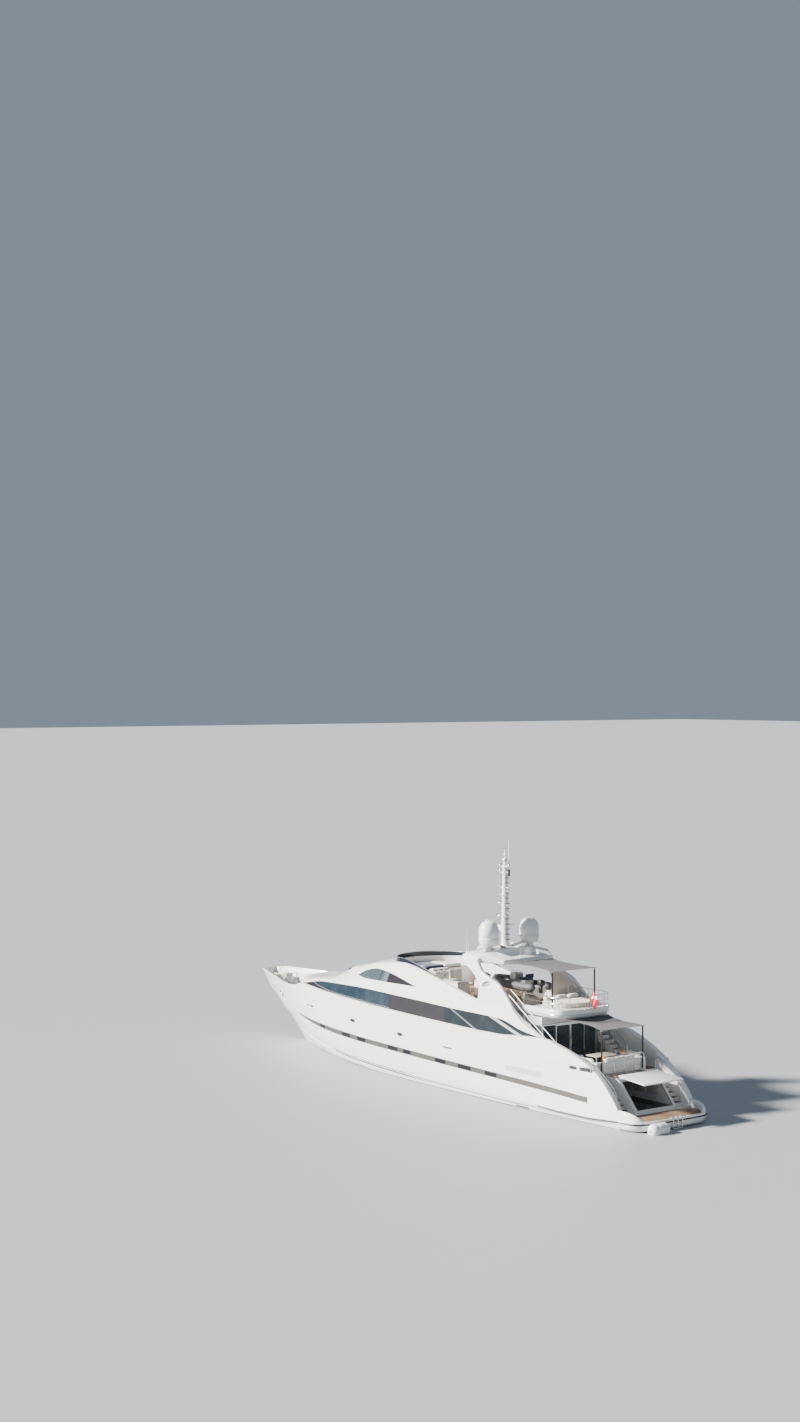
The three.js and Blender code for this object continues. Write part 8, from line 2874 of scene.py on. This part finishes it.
@dataclass
class RunningGear:
    """Propellers, rudders and engines."""

    works: Works
    start: Point = (-9.8, 1.2, -0.62)
    end: Point = (-14.5, 1.2, -1.4)
    blades: int = 5
    # radius, half chord, pitch angle, thickness
    sections: tuple[tuple[float, ...], ...] = ((0.09, 0.130, 55, 0.032), (0.17, 0.165, 48, 0.028),
                                              (0.26, 0.190, 42, 0.024), (0.34, 0.192, 38, 0.020),
                                              (0.42, 0.180, 34, 0.016), (0.49, 0.140, 31.5, 0.012),
                                              (0.53, 0.088, 30.3, 0.008), (0.54, 0.05, 30, 0.005))

    def build(self) -> None:
        """Makes the gear of both sides."""
        for label, side in SIDES:
            self.propeller(label, side)
            self.rudder(label, side)
            self.engine(label, side)

    def propeller(self, label: str, side: float) -> None:
        """Bronze propeller with faired blades."""
        made = Shape()
        hub = [(0.0, 0.0), (0.125, 0.0), (0.13, 0.012), (0.13, 0.15), (0.122, 0.19), (0.10, 0.225), (0.07, 0.255),
               (0.03, 0.30), (0.0, 0.318)]
        made.lathe(hub, (0, 0, 0), sides=32)
        for k in range(self.blades):
            turn = Matrix.Rotation(2 * math.pi * k / self.blades, 4, "Z")
            rings = []
            for r, chord, pitch, thick in self.sections:
                a = math.radians(pitch)
                ring = []
                for t in angles(16):
                    u, w = chord * math.cos(t), thick / 2 * math.sin(t)
                    across = u * math.cos(a) - w * math.sin(a)
                    along = 0.104 + (u * math.sin(a) + w * math.cos(a)) * 0.6
                    ring.append(turn @ Vector((r, across, along)))
                rings.append(ring)
            made.loft(rings)
        line = Vector((self.end[0] - self.start[0], 0, self.end[2] - self.start[2])).normalized()
        spin = Vector((0, 0, 1)).rotation_difference(line)
        foot = Vector(self.end) + line * 0.0003
        placed = made.mapped(lambda p: spin @ Vector(p) + foot).on(side)
        body = f"propeller_{label}"
        self.works.piece(f"screw_{label}", placed, "bronze", Slot.BRONZE, body=body, replaces=(body,), angle=35)

    def rudder(self, label: str, side: float) -> None:
        """Foil rudder on its stock."""
        made = Shape()
        rings = []
        foil = ((0.28, 0.0), (0.27, 0.28), (0.235, 0.55), (0.16, 0.86), (0.05, 1.0), (-0.12, 0.93), (-0.32, 0.68),
                (-0.52, 0.36), (-0.66, 0.12), (-0.72, 0.02))
        for t in (0.0, 0.04, 0.3, 0.6, 0.9, 0.97, 1.0):
            z = -0.8403 - t * (1.75 - 0.8403)
            chord = 0.72 + (0.56 - 0.72) * t
            thick = 0.05 + (0.032 - 0.05) * t
            ease = 0.965 if t in (0.0, 1.0) else 1.0
            upper = [(-15.75 + u * chord * ease, w * thick * ease) for u, w in foil]
            lower = [(x, -y) for x, y in reversed(upper[1:-1])]
            rings.append([(x, 1.2 + y, z) for x, y in [*upper, (upper[-1][0], -upper[-1][1]), *lower]])
        made.loft(rings)
        made.tube([(-15.75, 1.2, -0.86), (-15.75, 1.2, -0.7353)], 0.048, 20)
        body = f"rudder_{label}"
        self.works.piece(f"rudder_blade_{label}", made.on(side), "bronze", Slot.BRONZE, body=body,
                         replaces=(body,), angle=40)

    def engine(self, label: str, side: float) -> None:
        """V engine with covers, intake, coolers, gearbox and mounts."""
        low = -0.2497
        iron, covers = Shape(), Shape()
        block = [(0.80, low + 0.25), (1.53, low + 0.25), (1.62, 0.45), (1.78, 0.95), (1.40, 1.15), (1.25, 0.80),
                 (1.08, 0.80), (0.93, 1.15), (0.55, 0.95), (0.71, 0.45)]
        iron.prism(0, block, -9.95, -7.55)
        iron.join(slab(box_plan(-9.8, -7.7, 0.86, 1.47, 0.08), low, low + 0.27, 0.05))
        for y in (0.52, 1.63):
            iron.prism(0, [(y, low + 0.02), (y + 0.18, low + 0.02), (y + 0.18, low + 0.34), (y, low + 0.34)], -10.2,
                       -7.4)
        iron.lathe([(0.0, 0.0), (0.42, 0.0), (0.42, 0.10), (0.34, 0.14), (0.30, 0.55), (0.20, 0.62), (0.16, 0.80),
                    (0.0, 0.80)], (-9.95, 1.165, 0.35), (-1, 0, 0), 32)
        iron.lathe([(0.0, 0.0), (0.25, 0.0), (0.25, 0.09), (0.10, 0.12), (0.10, 0.2), (0.0, 0.2)], (-7.55, 1.165, 0.35),
                   (1, 0, 0), 28)
        self.works.piece(f"engine_block_{label}", iron.on(side), "iron", Slot.IRON,
                         replaces=(f"engine_{label}",), bevel=0.02)
        for k in range(6):
            x = -9.72 + 0.40 * k
            for y, lean in ((0.75, -0.5), (1.58, 0.5)):
                cover = slab(box_plan(-0.17, 0.17, -0.16, 0.16, 0.05), 0.0, 0.13, 0.03)
                turn = Matrix.Rotation(-lean, 4, "X")
                covers.join(cover.mapped(lambda p: turn @ Vector(p) + Vector((x, y, 1.04))))
        covers.join(slab(box_plan(-9.6, -7.9, 1.02, 1.31, 0.08), 0.80, 1.18, 0.06))
        for y in (0.98, 1.35):
            covers.lathe([(0.0, 0.0), (0.13, 0.0), (0.15, 0.05), (0.15, 0.30), (0.10, 0.36), (0.0, 0.36)],
                         (-7.95, y, 1.25), (-1, 0, 0), 24)
        self.works.piece(f"engine_covers_{label}", covers.on(side), "silver", Slot.IRON)


# Studio


@dataclass
class Studio:
    """Floor at the waterline, soft light and the camera of the photograph."""

    eye: Point = (-95.718, 74.624, 22.472)
    yaw: float = 36.71
    pitch: float = 0.71
    lens: float = 53.16
    sensor: float = 36.0
    reach: float = 3000.0
    floor: float = 900.0

    def build(self) -> None:
        """Makes the floor, the lights and the camera."""
        self.ground()
        self.sky()
        self.lamps()
        self.camera()

    def ground(self) -> None:
        """Plain pale floor whose top is the waterline."""
        data = Shape().block((-self.floor, -self.floor, -0.02), (self.floor, self.floor, 0.0)).mesh("floor")
        tree = Tree("studio_floor")
        tone = tree.mix(tree.noise(0.15, 2.0) * 0.4, (0.36, 0.375, 0.39), (0.34, 0.355, 0.37))
        data.materials.append(tree.finish(Base_Color=tone, Roughness=0.5 + tree.noise(0.6, 2.0) * 0.1))
        floor = bpy.data.objects.new("floor", data)
        bpy.context.scene.collection.objects.link(floor)

    @staticmethod
    def sky() -> None:
        """Even pale surround, a little bluer than the key light."""
        world = bpy.data.worlds.new("surround")
        world.use_nodes = True
        shade = world.node_tree.nodes["Background"]
        shade.inputs["Color"].default_value = (0.62, 0.76, 0.95, 1.0)
        shade.inputs["Strength"].default_value = 0.36
        bpy.context.scene.world = world

    @staticmethod
    def lamps() -> None:
        """Soft warm key light from port and ahead, faint fill from astern."""
        for name, towards, power, angle, colour in (
            ("key", (-0.46, -0.76, -0.51), 17.0, 6.0, (1.0, 0.965, 0.92)),
            ("fill", (0.75, -0.35, -0.45), 0.2, 40.0, (0.85, 0.92, 1.0)),
        ):
            data = bpy.data.lights.new(name, "SUN")
            data.energy, data.angle, data.color = power, math.radians(angle), colour
            lamp = bpy.data.objects.new(name, data)
            lamp.rotation_euler = Vector(towards).to_track_quat("-Z", "Y").to_euler()
            bpy.context.scene.collection.objects.link(lamp)

    def camera(self) -> None:
        """Camera at the photograph's place and angle."""
        data = bpy.data.cameras.new("photo_camera")
        data.lens, data.sensor_width, data.clip_end = self.lens, self.sensor, self.reach
        camera = bpy.data.objects.new("photo_camera", data)
        yaw, pitch = math.radians(self.yaw), math.radians(self.pitch)
        ahead = Vector((math.cos(yaw) * math.cos(pitch), -math.sin(yaw) * math.cos(pitch), -math.sin(pitch)))
        camera.location = self.eye
        camera.rotation_euler = ahead.to_track_quat("-Z", "Y").to_euler()
        bpy.context.scene.collection.objects.link(camera)
        bpy.context.scene.camera = camera


NODE_FINISH: dict[Slot, str] = {
    Slot.GELCOAT: "gelcoat", Slot.GLASS: "glass", Slot.DOME: "dome", Slot.ALLOY: "alloy", Slot.CUSHION: "cream",
    Slot.TENDER: "rubber", Slot.CARBON: "carbon", Slot.AWNING: "awning", Slot.TEAK: "teak", Slot.STEEL: "steel",
    Slot.FENDER: "vinyl", Slot.ENSIGN: "ensign", Slot.IRON: "iron", Slot.BRONZE: "bronze",
}


def dress_nodes(frame: dict[str, Any]) -> None:
    """Gives every solid of the frame the finish of its slot."""
    slots = {part["node"]: part["material_slot"] for part in frame["record"]["subparts"]}
    for name, node in frame["nodes"].items():
        finish = Paints.get(NODE_FINISH[Slot(slots[name])])
        if node.data.materials:
            for i in range(len(node.data.materials)):
                node.data.materials[i] = finish
        else:
            node.data.materials.append(finish)


def main() -> None:
    """Dresses the frame, one sub-assembly after the other."""
    logging.basicConfig(level=logging.INFO, format="%(name)s: %(message)s")
    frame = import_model()
    dress_nodes(frame)
    works = Works()
    Studio().build()
    Hull(works).build()
    house = House(works)
    house.build()
    sewing = Upholstery(works)
    Arch(works).build()
    Flybridge(works, sewing, house.form).build()
    Awning(works, "upper", (-7.65, 1.6, 7.30), (-11.3, 1.58, 7.19), (-11.2, 1.5, 5.3003, 7.205)).build()
    Awning(works, "lower", (-12.25, 1.55, 4.7597), (-15.14, 1.55, 4.57), (-15.04, 1.445, 2.2503, 4.59)).build()
    Cockpit(works, sewing).build()
    Stern(works).build()
    Foredeck(works, sewing).build()
    RunningGear(works).build()
    log.info("%d pieces", works.count)


if __name__ == "__main__":
    main()
